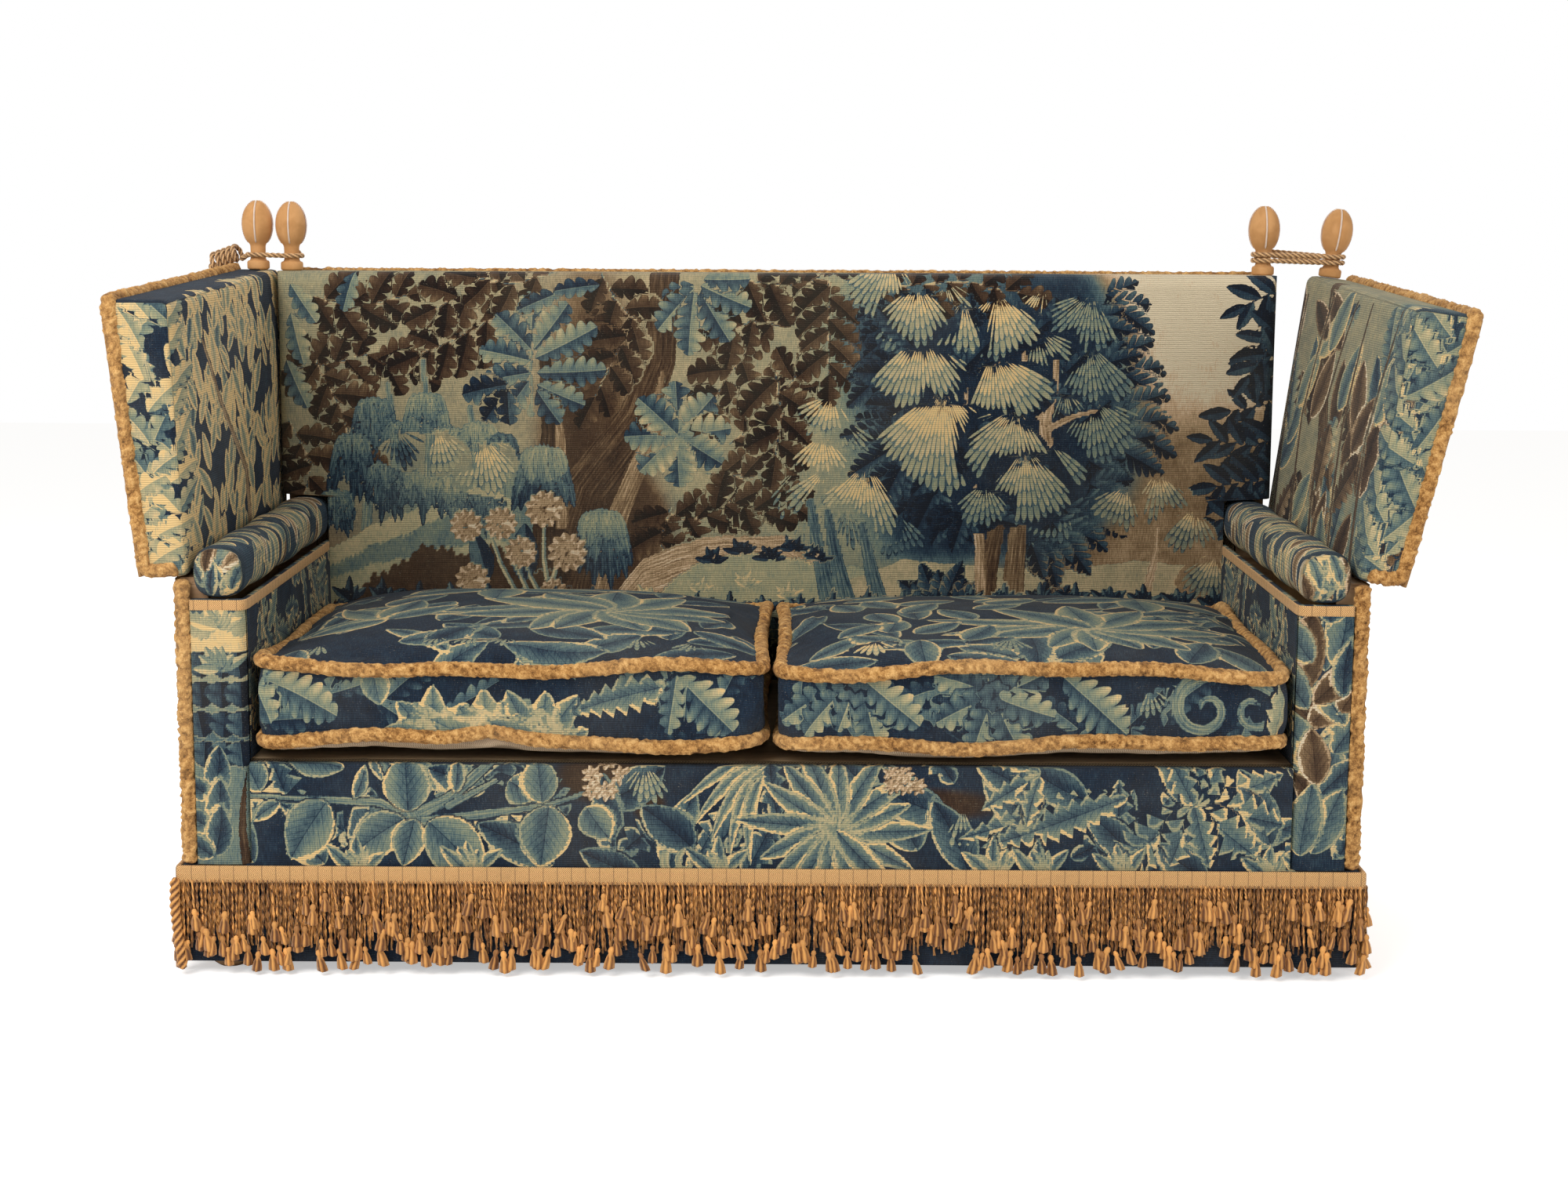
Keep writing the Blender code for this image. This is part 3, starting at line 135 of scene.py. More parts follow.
def mark(piece, **values):
    """Writes arrays of one or three numbers a point as the piece's own attributes."""
    for name, array in values.items():
        array = np.asarray(array, np.float32)
        kind, key = ("FLOAT", "value") if array.ndim == 1 else ("FLOAT_VECTOR", "vector")
        attribute = piece.data.attributes.new(name, kind, "POINT")
        attribute.data.foreach_set(key, array.ravel())


def joined(parts):
    """One set of points and faces, with any marks, from several (points, faces, marks)."""
    start, points, faces, marks = 0, [], [], {}
    for part in parts:
        points.append(part[0].reshape(-1, 3))
        faces.append(part[1] + start)
        start += len(points[-1])
        for name, values in part[2].items():
            marks.setdefault(name, []).append(values)
    return np.concatenate(points), np.concatenate(faces), {k: np.concatenate(v) for k, v in marks.items()}


def lattice_noise(points, size, seed):
    """Smooth noise from 0 to 1: random values at lattice corners, eased and blended within each cell."""
    scaled = points / size
    cell = np.floor(scaled).astype(np.int64)
    part = scaled - cell
    ease = part * part * (3 - 2 * part)
    total = np.zeros(len(points))
    for corner in range(8):
        offset = np.array([corner & 1, corner >> 1 & 1, corner >> 2 & 1])
        key = cell + offset
        mixed = key[:, 0] * 73856093 ^ key[:, 1] * 19349663 ^ key[:, 2] * 83492791 ^ seed * 2654435761
        mixed = (mixed ^ mixed >> 13) * 1274126177 & 0x7FFFFFFF
        weight = np.prod(np.where(offset, ease, 1 - ease), axis=1)
        total += weight * ((mixed ^ mixed >> 16) & 0xFFFF) / 65535
    return total


def distances(path):
    """The distance along a path at each of its points."""
    return np.concatenate([[0], np.cumsum(np.linalg.norm(np.diff(path, axis=0), axis=1))])


def turns(count):
    """Even angles round a circle, from 0."""
    return 2 * np.pi * np.arange(count) / count


def squared(wave, power):
    """A sine or cosine made squarer: its size raised to a power below 1, its sign kept."""
    return np.sign(wave) * np.abs(wave) ** power


def spaced(path, step, closed=False):
    """Points an even step apart along a polyline."""
    path = np.asarray(path, float)
    if closed:
        path = np.vstack([path, path[:1]])
    run = distances(path)
    count = max(2, round(run[-1] / step))
    at = np.linspace(0, run[-1], count + 1)
    points = np.stack([np.interp(at, run, path[:, k]) for k in range(3)], 1)
    return points[:-1] if closed else points


def softened(path, times, closed=False):
    """A path whose bends are eased by averaging each point with its neighbours."""
    path = np.array(path, float)
    for _ in range(times):
        if closed:
            path = (np.roll(path, 1, 0) + 2 * path + np.roll(path, -1, 0)) / 4
        else:
            path[1:-1] = (path[:-2] + 2 * path[1:-1] + path[2:]) / 4
    return path


def rings_along(path, closed=False):
    """Two unit directions square to a path at each point, carried along it without twisting."""
    ahead = np.roll(path, -1, 0) - np.roll(path, 1, 0)
    if not closed:
        ahead[0], ahead[-1] = path[1] - path[0], path[-1] - path[-2]
    ahead /= np.linalg.norm(ahead, axis=1)[:, None]
    first = np.cross(ahead[0], [0.31, 0.17, 0.93])
    carried = [first / np.linalg.norm(first)]
    for direction in ahead[1:]:
        square = carried[-1] - direction * (carried[-1] @ direction)
        carried.append(square / np.linalg.norm(square))
    across = np.array(carried)
    if closed:
        end = across[-1] - ahead[0] * (across[-1] @ ahead[0])
        turn = math.atan2(np.cross(end, across[0]) @ ahead[0], end @ across[0])
        angle = (np.arange(len(path)) / len(path) * turn)[:, None]
        across = across * np.cos(angle) + np.cross(ahead, across) * np.sin(angle)
    return across, np.cross(ahead, across)


def swept(path, radius, sides, closed=False, section=None):
    """A tube: each path point plus radius(along, angle) round it, its ends drawn in to a point."""
    across, upward = rings_along(path, closed)
    run = distances(path)
    angle = turns(sides)
    reach = np.full((len(path), sides), radius) if section is None else section(run[:, None], angle[None, :])
    if not closed:
        rounded = np.concatenate([[0.3, 0.75, 0.95], np.ones(len(path) - 6), [0.95, 0.75, 0.3]])
        reach = reach * rounded[:, None]
    ring = across[:, None] * np.cos(angle)[None, :, None] + upward[:, None] * np.sin(angle)[None, :, None]
    points = path[:, None] + ring * reach[..., None]
    return points, tube_faces(len(path), sides, closed), ring, run


# Nodes of the materials


def add(tree, kind, inputs=(), **settings):
    """A node with its settings, and its inputs as numbers, colours or other nodes' sockets."""
    node = tree.nodes.new(kind)
    for key, value in settings.items():
        setattr(node, key, value)
    for key, value in dict(inputs).items():
        feed(tree, node.inputs[key], value)
    return node


def feed(tree, socket, value):
    """Gives a socket its value: a number, a colour or another node's output."""
    if isinstance(value, bpy.types.NodeSocket):
        tree.links.new(value, socket)
    else:
        socket.default_value = value


def calc(tree, operation, *values):
    """One step of arithmetic, by Blender's name for it."""
    return add(tree, "ShaderNodeMath", enumerate(values), operation=operation).outputs[0]


def product(tree, first, second):
    """One value times another."""
    return calc(tree, "MULTIPLY", first, second)


def plus(tree, first, second):
    """The sum of two values."""
    return calc(tree, "ADD", first, second)


def minus(tree, first, second):
    """One value less another."""
    return calc(tree, "SUBTRACT", first, second)


def ratio(tree, first, second):
    """One value over another."""
    return calc(tree, "DIVIDE", first, second)


def ramp_up(tree, value, low, high, to_low=0.0, to_high=1.0):
    """An eased step from to_low to to_high as the value goes from low to high."""
    inputs = {"Value": value, "From Min": low, "From Max": high, "To Min": to_low, "To Max": to_high}
    return add(tree, "ShaderNodeMapRange", inputs, interpolation_type="SMOOTHSTEP").outputs[0]


def blend_colour(tree, share, first, second, mode="MIX"):
    """The first colour turned towards the second by a share from 0 to 1, or joined in another of Blender's
    modes."""
    inputs = {0: share, 6: first, 7: second}
    return add(tree, "ShaderNodeMix", inputs, data_type="RGBA", blend_type=mode).outputs[2]


def blend_value(tree, share, first, second):
    """The first value moved towards the second by a share from 0 to 1."""
    return add(tree, "ShaderNodeMix", {0: share, 2: first, 3: second}).outputs[0]


def colours(tree, value, stops):
    """A colour scale of (place, linear colour) stops."""
    node = add(tree, "ShaderNodeValToRGB", {"Fac": value})
    scale = node.color_ramp
    while len(scale.elements) < len(stops):
        scale.elements.new(0.5)
    for element, (place, colour) in zip(scale.elements, stops):
        element.position, element.color = place, (*colour, 1)
    return node.outputs[0]


def noise(tree, place, scale, detail=3.0, roughness=0.55, distortion=0.0):
    """Cloudy noise about 0.5 at a place."""
    inputs = {"Vector": place, "Scale": scale, "Detail": detail, "Roughness": roughness,
              "Distortion": distortion}
    return add(tree, "ShaderNodeTexNoise", inputs).outputs[0]


def stretched(tree, place, scale):
    """The place with each direction scaled, for a grain longer one way than the other."""
    return add(tree, "ShaderNodeVectorMath", {0: place, 1: scale}, operation="MULTIPLY").outputs[0]


def own(tree, name):
    """An attribute of the mesh, by its name."""
    return add(tree, "ShaderNodeAttribute", attribute_name=name)


def split(tree, vector):
    """A vector's three numbers."""
    return add(tree, "ShaderNodeSeparateXYZ", {0: vector}).outputs


def group(name, inputs, outputs, fill):
    """A shared effect as a node group; fill(tree, entry, exit) wires its sockets."""
    tree = bpy.data.node_groups.new(name, "ShaderNodeTree")
    for socket, kind in inputs.items():
        tree.interface.new_socket(socket, in_out="INPUT", socket_type=f"NodeSocket{kind}")
    for socket, kind in outputs.items():
        tree.interface.new_socket(socket, in_out="OUTPUT", socket_type=f"NodeSocket{kind}")
    entry, exit = tree.nodes.new("NodeGroupInput"), tree.nodes.new("NodeGroupOutput")
    results = fill(tree, entry.outputs)
    for socket, value in results.items():
        tree.links.new(value, exit.inputs[socket])
    return tree


def use(tree, shared, inputs=()):
    """A shared effect at work in a material, as its outputs."""
    return add(tree, "ShaderNodeGroup", inputs, node_tree=shared).outputs


def woven_ribs(tree, entry):
    """Ribs of a weft-faced cloth: round ridges one way, fine threads the other, both a little uneven."""
    p, q, _ = split(tree, entry["Place"])
    waver = noise(tree, stretched(tree, entry["Place"], (40, 9, 1)), 1.0, 2.0)
    row = ratio(tree, plus(tree, q, product(tree, waver, 0.0022)), entry["Pitch"])
    ridge = calc(tree, "ABSOLUTE", calc(tree, "SINE", product(tree, row, math.pi)))
    threads = calc(tree, "SINE", plus(tree, product(tree, p, 4600.0), product(tree, row, 2.1)))
    number = calc(tree, "FLOOR", row)
    column = calc(tree, "FLOOR", ratio(tree, p, 0.0042))
    cell = add(tree, "ShaderNodeCombineXYZ", {0: column, 1: number}).outputs[0]
    step = add(tree, "ShaderNodeTexWhiteNoise", {"Vector": cell}, noise_dimensions="2D").outputs["Value"]
    body = calc(tree, "POWER", ridge, 0.6)
    height = plus(tree, body, product(tree, threads, 0.22))
    return {"Height": height, "Step": step, "Ridge": ridge}


def worn(tree, entry):
    """Old age: broad fading, a little soil, and pale rubbed flecks."""
    broad = ramp_up(tree, noise(tree, entry["Place"], 5.0, 4.0), 0.38, 0.72)
    soil = ramp_up(tree, noise(tree, entry["Place"], 11.0, 5.0, 0.65), 0.50, 0.80)
    fleck = ramp_up(tree, noise(tree, stretched(tree, entry["Place"], (1, 1, 2.2)), 420.0, 2.0), 0.66, 0.74)
    return {"Fade": broad, "Soil": soil, "Fleck": fleck}


def style_of(tree, look):
    """The whole part of a shape's look is its style, and the rest the style's strength."""
    number = calc(tree, "FLOOR", plus(tree, look, 0.001))
    strength = minus(tree, look, number)
    return [calc(tree, "COMPARE", number, float(k), 0.1) for k in range(6)], strength


def leaf_drawing(tree, entry):
    """One layer of woven shapes, from each point's depth inside its shape and place across and along it.

    Styles: 0 plain, 1 gold-rimmed with veins, 2 round-lobed (cut into fingers when strong), 3 toothed with
    a gold rim, 4 a fan of blunt fingers in rows, 5 streaked along. All have a pale and a dark half and a
    thin dark line inside the edge.
    """
    depth, across, along = split(tree, entry["Shape"])
    tone, hue, look = split(tree, entry["Kind"])
    (plain, rimmed, lobed, toothed, fan, streaked), strength = style_of(tree, look)
    gilt = product(tree, plus(tree, rimmed, toothed), strength)
    jag = product(tree, minus(tree, entry["Step"], 0.5), 0.0014)
    wide = calc(tree, "ABSOLUTE", across)
    half = plus(tree, depth, wide)
    lobe = minus(tree, ratio(tree, along, 0.0200), product(tree, wide, 17.0))
    deep = product(tree, lobed, calc(tree, "GREATER_THAN", strength, 0.6))
    frond = minus(tree, ratio(tree, along, 0.0160), product(tree, wide, 50.0))
    lobe = blend_value(tree, deep, lobe, frond)
    crest = calc(tree, "ABSOLUTE", calc(tree, "SINE", product(tree, lobe, math.pi)))
    round_notch = minus(tree, 1.0, calc(tree, "POWER", crest, 0.55))
    deep_notch = product(tree, minus(tree, 1.0, calc(tree, "POWER", crest, 0.5)), 1.3)
    round_notch = blend_value(tree, deep, round_notch, deep_notch)
    tooth = minus(tree, ratio(tree, along, 0.0210), product(tree, wide, 24.0))
    tooth = calc(tree, "FRACT", tooth)
    notch = plus(tree, product(tree, product(tree, round_notch, lobed), 0.62),
                 product(tree, product(tree, tooth, toothed), 0.50))
    depth_leaf = minus(tree, depth, product(tree, notch, half))
    # fingers of a fan: uneven rows, each finger rounded at its tip, dark between them
    column = calc(tree, "FLOOR", across)
    chance = add(tree, "ShaderNodeTexWhiteNoise", {"W": column}, noise_dimensions="1D").outputs["Value"]
    side = minus(tree, calc(tree, "FRACT", across), 0.5)
    side = product(tree, calc(tree, "ABSOLUTE", side), 2.0)
    down = calc(tree, "FRACT", plus(tree, along, chance))
    tip = minus(tree, 1.0, calc(tree, "POWER", down, 5.0))
    gap = minus(tree, product(tree, tip, 0.90), side)
    gap = minus(tree, 1.0, ramp_up(tree, gap, -0.10, 0.25))
    fingers = minus(tree, product(tree, down, 0.20), product(tree, gap, 0.40))
    fingers = product(tree, plus(tree, fingers, 0.03), fan)
    notched = plus(tree, calc(tree, "POWER", side, 2.0), chance)
    scallop = product(tree, notched, product(tree, fan, 0.0140))
    depth = plus(tree, minus(tree, depth_leaf, scallop), jag)
    inside = ramp_up(tree, depth, -0.0002, 0.0002)
    lit = ramp_up(tree, across, -0.0010, 0.0010)
    halves = plus(tree, product(tree, plain, strength), product(tree, lobed, 0.20))
    halves = product(tree, plus(tree, halves, 0.08), minus(tree, 1.0, fan))
    band = product(tree, plus(tree, entry["Step"], 0.35), 0.0050)
    edge = minus(tree, 1.0, ramp_up(tree, minus(tree, depth, band), -0.0012, 0.0006))
    gold = product(tree, product(tree, edge, gilt), plus(tree, product(tree, lit, 0.5), 0.5))
    tone = plus(tree, tone, product(tree, gold, 0.52))
    belly = ramp_up(tree, ratio(tree, wide, plus(tree, half, 0.001)), 0.05, 0.85, -0.10, 0.10)
    tone = plus(tree, tone, product(tree, belly, gilt))
    tone = plus(tree, tone, product(tree, minus(tree, lit, 0.5), halves))
    line = minus(tree, 1.0, ramp_up(tree, depth, 0.0003, 0.0013))
    tone = minus(tree, tone, product(tree, line, 0.18))
    rib = minus(tree, 1.0, ramp_up(tree, wide, 0.0005, 0.0013))
    pale_rib = product(tree, lobed, calc(tree, "GREATER_THAN", tone, 0.3))
    ribbed = plus(tree, product(tree, gilt, -0.14), product(tree, pale_rib, 0.20))
    tone = plus(tree, tone, product(tree, rib, ribbed))
    slant = ratio(tree, minus(tree, along, product(tree, wide, 1.2)), 0.0130)
    vein = calc(tree, "LESS_THAN", calc(tree, "FRACT", slant), 0.16)
    vein = product(tree, vein, product(tree, gilt, ramp_up(tree, depth, 0.0012, 0.0030)))
    tone = minus(tree, tone, product(tree, vein, 0.09))
    swell = product(tree, minus(tree, product(tree, crest, ratio(tree, wide, 0.020)), 0.3), 0.24)
    tone = plus(tree, tone, product(tree, swell, lobed))
    flow = add(tree, "ShaderNodeCombineXYZ", {0: product(tree, across, 320.0), 1: product(tree, along, 14.0)})
    streak = minus(tree, noise(tree, flow.outputs[0], 1.0, 2.0), 0.5)
    tone = plus(tree, tone, product(tree, product(tree, streak, streaked), 0.9))
    return {"Tone": plus(tree, tone, fingers), "Hue": hue, "Inside": inside}


RIBS = group(
    "woven_ribs",
    {"Place": "Vector", "Pitch": "Float"},
    {"Height": "Float", "Step": "Float", "Ridge": "Float"},
    woven_ribs,
)
WORN = group("worn_with_age", {"Place": "Vector"}, {"Fade": "Float", "Soil": "Float", "Fleck": "Float"}, worn)
LEAVES = group(
    "woven_leaves",
    {"Shape": "Vector", "Kind": "Vector", "Step": "Float"},
    {"Tone": "Float", "Hue": "Float", "Inside": "Float"},
    leaf_drawing,
)

BLUES = [
    (0.00, (0.005, 0.009, 0.018)),
    (0.16, (0.009, 0.021, 0.042)),
    (0.30, (0.026, 0.054, 0.079)),
    (0.45, (0.085, 0.138, 0.146)),
    (0.60, (0.200, 0.244, 0.178)),
    (0.75, (0.366, 0.345, 0.202)),
    (0.88, (0.540, 0.440, 0.250)),
    (1.00, (0.760, 0.530, 0.240)),
]
BROWNS = [
    (0.00, (0.010, 0.006, 0.005)),
    (0.20, (0.034, 0.016, 0.009)),
    (0.42, (0.090, 0.050, 0.026)),
    (0.60, (0.215, 0.135, 0.068)),
    (0.76, (0.420, 0.290, 0.160)),
    (0.86, (0.600, 0.410, 0.250)),
    (1.00, (0.700, 0.590, 0.410)),
]


def shaded(name):
    """A new material, with its tree and its Principled shader."""
    made = bpy.data.materials.new(name)
    made.use_nodes = True
    tree = made.node_tree
    return made, tree, tree.nodes["Principled BSDF"]


def finish_with(tree, shader, colour, roughness, height=None, distance=0.001, strength=1.0):
    """Wires a finish's colour, roughness and, where it has one, the height of its grain into the shader."""
    feed(tree, shader.inputs["Base Color"], colour)
    feed(tree, shader.inputs["Roughness"], roughness)
    if height is not None:
        bump = add(tree, "ShaderNodeBump", {"Height": height, "Distance": distance, "Strength": strength})
        tree.links.new(bump.outputs[0], shader.inputs["Normal"])


def tapestry():
    """Weft-faced wool: ground, far and near leaves as tones, broken into a few dyed steps by hatching."""
    made, tree, shader = shaded("verdure_tapestry")
    place = own(tree, "cloth").outputs["Vector"]
    ribs = use(tree, RIBS, {"Place": place, "Pitch": 0.0033})
    tone, hue, _ = split(tree, own(tree, "ground").outputs["Vector"])
    for layer in ("far", "near"):
        shape, kind = (own(tree, f"{layer}_{part}").outputs["Vector"] for part in ("shape", "kind"))
        drawn = use(tree, LEAVES, {"Shape": shape, "Kind": kind, "Step": ribs["Step"]})
        tone = blend_value(tree, drawn["Inside"], tone, drawn["Tone"])
        hue = blend_value(tree, drawn["Inside"], hue, drawn["Hue"])
    hatch = noise(tree, stretched(tree, place, (520, 75, 1)), 1.0, 2.0, 0.6)
    patch = noise(tree, stretched(tree, place, (34, 26, 1)), 1.0, 3.0)
    tone = plus(tree, tone, product(tree, minus(tree, hatch, 0.5), 0.42))
    tone = plus(tree, tone, product(tree, minus(tree, patch, 0.5), 0.30))
    steps = ratio(tree, calc(tree, "ROUND", product(tree, tone, 11.0)), 11.0)
    tone = blend_value(tree, 0.55, tone, steps)
    colour = blend_colour(tree, ramp_up(tree, hue, 0.3, 0.7), colours(tree, tone, BLUES),
                          colours(tree, tone, BROWNS))
    where = add(tree, "ShaderNodeTexCoord").outputs["Object"]
    age = use(tree, WORN, {"Place": where})
    colour = blend_colour(tree, product(tree, age["Fade"], 0.07), colour, (0.34, 0.29, 0.19, 1))
    colour = blend_colour(tree, product(tree, age["Fleck"], 0.30), colour, (0.55, 0.47, 0.34, 1))
    # Painted shade: the colour is darkened by up to 42 percent in the hollows between the weft ribs.
    dark = minus(tree, 1.0, product(tree, ramp_up(tree, ribs["Ridge"], 0.55, 0.0), 0.42))
    shade = add(tree, "ShaderNodeCombineColor", {0: dark, 1: dark, 2: dark}).outputs[0]
    colour = blend_colour(tree, 1.0, colour, shade, "MULTIPLY")
    finish_with(tree, shader, colour, 0.92, ribs["Height"], 0.0009, 0.8)
    shader.inputs["Sheen Weight"].default_value = 0.05
    shader.inputs["Sheen Roughness"].default_value = 0.5
    shader.inputs["Specular IOR Level"].default_value = 0.2
    return made


def ruche_wool():
    """Looped wool: gold loops with painted highlight on top and brown painted shade in the hollows, with
    paler faded stretches.
    """
    made, tree, shader = shaded("looped_wool")
    where = add(tree, "ShaderNodeTexCoord").outputs["Object"]
    loops = noise(tree, where, 330.0, 2.0, 0.6, 0.8)
    lift = own(tree, "lift").outputs["Fac"]
    # Painted highlight and shade: the lumps' lift and the fine loop noise, both also the bump, make raised
    # loops paler and hollows dark brown.
    light = plus(tree, product(tree, lift, 0.55), product(tree, loops, 0.62))
    colour = colours(
        tree,
        light,
        [
            (0.32, (0.060, 0.024, 0.007)),
            (0.47, (0.250, 0.112, 0.030)),
            (0.62, (0.490, 0.250, 0.075)),
            (0.80, (0.740, 0.440, 0.165)),
        ],
    )
    age = use(tree, WORN, {"Place": where})
    colour = blend_colour(tree, product(tree, age["Fade"], 0.20), colour, (0.64, 0.43, 0.21, 1))
    colour = blend_colour(tree, product(tree, age["Soil"], 0.22), colour, (0.16, 0.085, 0.036, 1))
    finish_with(tree, shader, colour, 0.9, plus(tree, loops, lift), 0.0022, 0.9)
    shader.inputs["Sheen Weight"].default_value = 0.05
    shader.inputs["Specular IOR Level"].default_value = 0.2
    return made


def braid_silk():
    """Flat braid: rows of chevrons along it, crossed by an upright stitch every two centimetres."""
    made, tree, shader = shaded("herringbone_braid")
    u, v, _ = split(tree, own(tree, "cloth").outputs["Vector"])
    slant = product(tree, calc(tree, "PINGPONG", v, 0.0065), 1.15)
    row = ratio(tree, plus(tree, u, slant), 0.0031)
    strand = calc(tree, "ABSOLUTE", calc(tree, "SINE", product(tree, row, math.pi)))
    stitch = calc(tree, "PINGPONG", u, 0.0105)
    stitch = minus(tree, 1.0, ramp_up(tree, stitch, 0.0002, 0.0011))
    where = add(tree, "ShaderNodeTexCoord").outputs["Object"]
    age = use(tree, WORN, {"Place": where})
    grain = noise(tree, where, 900.0, 2.0)
    # Painted shade and highlight: the braid is dark between its chevron strands and pale on their crests.
    light = plus(tree, product(tree, strand, 0.6), product(tree, grain, 0.4))
    colour = colours(
        tree, light, [(0.15, (0.20, 0.090, 0.028)), (0.5, (0.52, 0.275, 0.095)), (0.85, (0.80, 0.480, 0.200))]
    )
    colour = blend_colour(tree, product(tree, stitch, 0.55), colour, (0.13, 0.07, 0.032, 1))
    colour = blend_colour(tree, product(tree, age["Soil"], 0.25), colour, (0.22, 0.13, 0.06, 1))
    height = minus(tree, strand, product(tree, stitch, 0.8))
    finish_with(tree, shader, colour, 0.78, height, 0.0007, 0.9)
    shader.inputs["Sheen Weight"].default_value = 0.1
    return made


def velvet(name, deep, high, crush=9.0):
    """Short-pile velvet: a pale bloom where the pile leans away, darker where it is crushed, fine nap
    bump."""
    made, tree, shader = shaded(name)
    where = add(tree, "ShaderNodeTexCoord").outputs["Object"]
    lean = ramp_up(tree, noise(tree, where, crush, 3.0, 0.5, 0.6), 0.30, 0.72)
    nap = noise(tree, where, 1500.0, 2.0)
    age = use(tree, WORN, {"Place": where})
    share = plus(tree, product(tree, lean, 0.30), product(tree, nap, 0.50))
    colour = blend_colour(tree, share, (*deep, 1), (*high, 1))
    colour = blend_colour(tree, product(tree, age["Soil"], 0.22), colour, (0.20, 0.12, 0.06, 1))
    height = plus(tree, product(tree, nap, 0.4), lean)
    finish_with(tree, shader, colour, ramp_up(tree, lean, 0.0, 1.0, 0.95, 0.75), height, 0.0006, 0.5)
    shader.inputs["Sheen Weight"].default_value = 0.45
    shader.inputs["Sheen Roughness"].default_value = 0.35
    shader.inputs["Sheen Tint"].default_value = (*high, 1)
    return made


def twisted(name, deep, high, bump=0.0008):
    """Twisted yarn or rope: fine fibres along its own length, with painted shade between its strands and
    painted highlight on them.
    """
    made, tree, shader = shaded(name)
    u, v, lift = split(tree, own(tree, "lay").outputs["Vector"])
    fibres = noise(tree, add(tree, "ShaderNodeCombineXYZ",
                             {0: product(tree, u, 90.0), 1: product(tree, v, 26.0)}).outputs[0], 1.0, 2.0)
    tint = own(tree, "tint").outputs["Fac"]
    # Painted shade and highlight: the strands' lift darkens the colour between them and lightens their
    # crests; the tint varies each yarn at random.
    light = plus(tree, product(tree, lift, 0.62), product(tree, fibres, 0.38))
    light = plus(tree, light, product(tree, minus(tree, tint, 0.5), 0.5))
    middle = tuple((a + b) / 2 for a, b in zip(deep, high))
    # dark is the painted shade between the strands, pale the painted highlight on their crests.
    dark = tuple(c * 0.28 for c in deep)
    pale = tuple(min(1.0, c * 1.35) for c in high)
    colour = colours(tree, light, [(0.10, dark), (0.34, deep), (0.52, middle), (0.70, high), (0.98, pale)])
    finish_with(tree, shader, colour, 0.62, plus(tree, fibres, lift), bump, 0.7)
    shader.inputs["Sheen Weight"].default_value = 0.15
    return made


def plain_weave(name, deep, high, pitch=0.0016):
    """Plain weave: over-and-under threads both ways, with painted shade where each thread dips under, and
    slubs.
    """
    made, tree, shader = shaded(name)
    where = add(tree, "ShaderNodeTexCoord").outputs["Object"]
    x, y, z = split(tree, where)
    slub = noise(tree, stretched(tree, where, (14, 260, 260)), 1.0, 3.0)
    one = calc(tree, "SINE", product(tree, plus(tree, x, product(tree, z, 0.37)), math.pi / pitch))
    two = calc(tree, "SINE", product(tree, plus(tree, y, z), math.pi / pitch))
    weave = plus(tree, product(tree, product(tree, one, two), 0.5), 0.5)
    # Painted shade: the over-and-under pattern darkens the colour where a thread dips under another.
    light = plus(tree, product(tree, weave, 0.55), product(tree, slub, 0.55))
    colour = colours(tree, light, [(0.15, tuple(c * 0.45 for c in deep)), (0.45, deep), (0.85, high)])
    age = use(tree, WORN, {"Place": where})
    colour = blend_colour(tree, product(tree, age["Soil"], 0.35), colour, (0.16, 0.11, 0.06, 1))
    finish_with(tree, shader, colour, 0.93, weave, 0.0005, 0.8)
    return made


def beech():
    """Waxed beech: straight grain along the timber, short brown flecks, and dark soiled patches."""
    made, tree, shader = shaded("waxed_beech")
    where = add(tree, "ShaderNodeTexCoord").outputs["Object"]
    grain = noise(tree, stretched(tree, where, (9, 60, 60)), 1.0, 5.0, 0.6, 0.5)
    flecks = ramp_up(tree, noise(tree, stretched(tree, where, (90, 420, 420)), 1.0, 1.0), 0.62, 0.70)
    age = use(tree, WORN, {"Place": where})
    colour = colours(tree, grain,
                     [(0.30, (0.20, 0.105, 0.048)), (0.52, (0.37, 0.215, 0.105)), (0.75, (0.50, 0.32, 0.17))])
    colour = blend_colour(tree, product(tree, flecks, 0.5), colour, (0.15, 0.075, 0.035, 1))
    colour = blend_colour(tree, product(tree, age["Soil"], 0.4), colour, (0.10, 0.06, 0.035, 1))
    finish_with(tree, shader, colour, ramp_up(tree, grain, 0.3, 0.8, 0.42, 0.62), grain, 0.0004, 0.5)
    return made


def steel():
    """Old hinge steel: brushed grey with brown rust in patches."""
    made, tree, shader = shaded("old_hinge_steel")
    where = add(tree, "ShaderNodeTexCoord").outputs["Object"]
    brushed = noise(tree, stretched(tree, where, (900, 20, 900)), 1.0, 2.0)
    rust = ramp_up(tree, noise(tree, where, 38.0, 5.0, 0.7), 0.50, 0.66)
    metal = colours(tree, brushed, [(0.3, (0.23, 0.22, 0.21)), (0.7, (0.44, 0.43, 0.41))])
    colour = blend_colour(tree, product(tree, rust, 0.75), metal, (0.13, 0.055, 0.025, 1))
    finish_with(tree, shader, colour, ramp_up(tree, rust, 0.0, 1.0, 0.34, 0.85), rust, 0.0003, 0.6)
    tree.links.new(minus(tree, 1.0, rust), shader.inputs["Metallic"])
    return made


# The tapestry's drawing


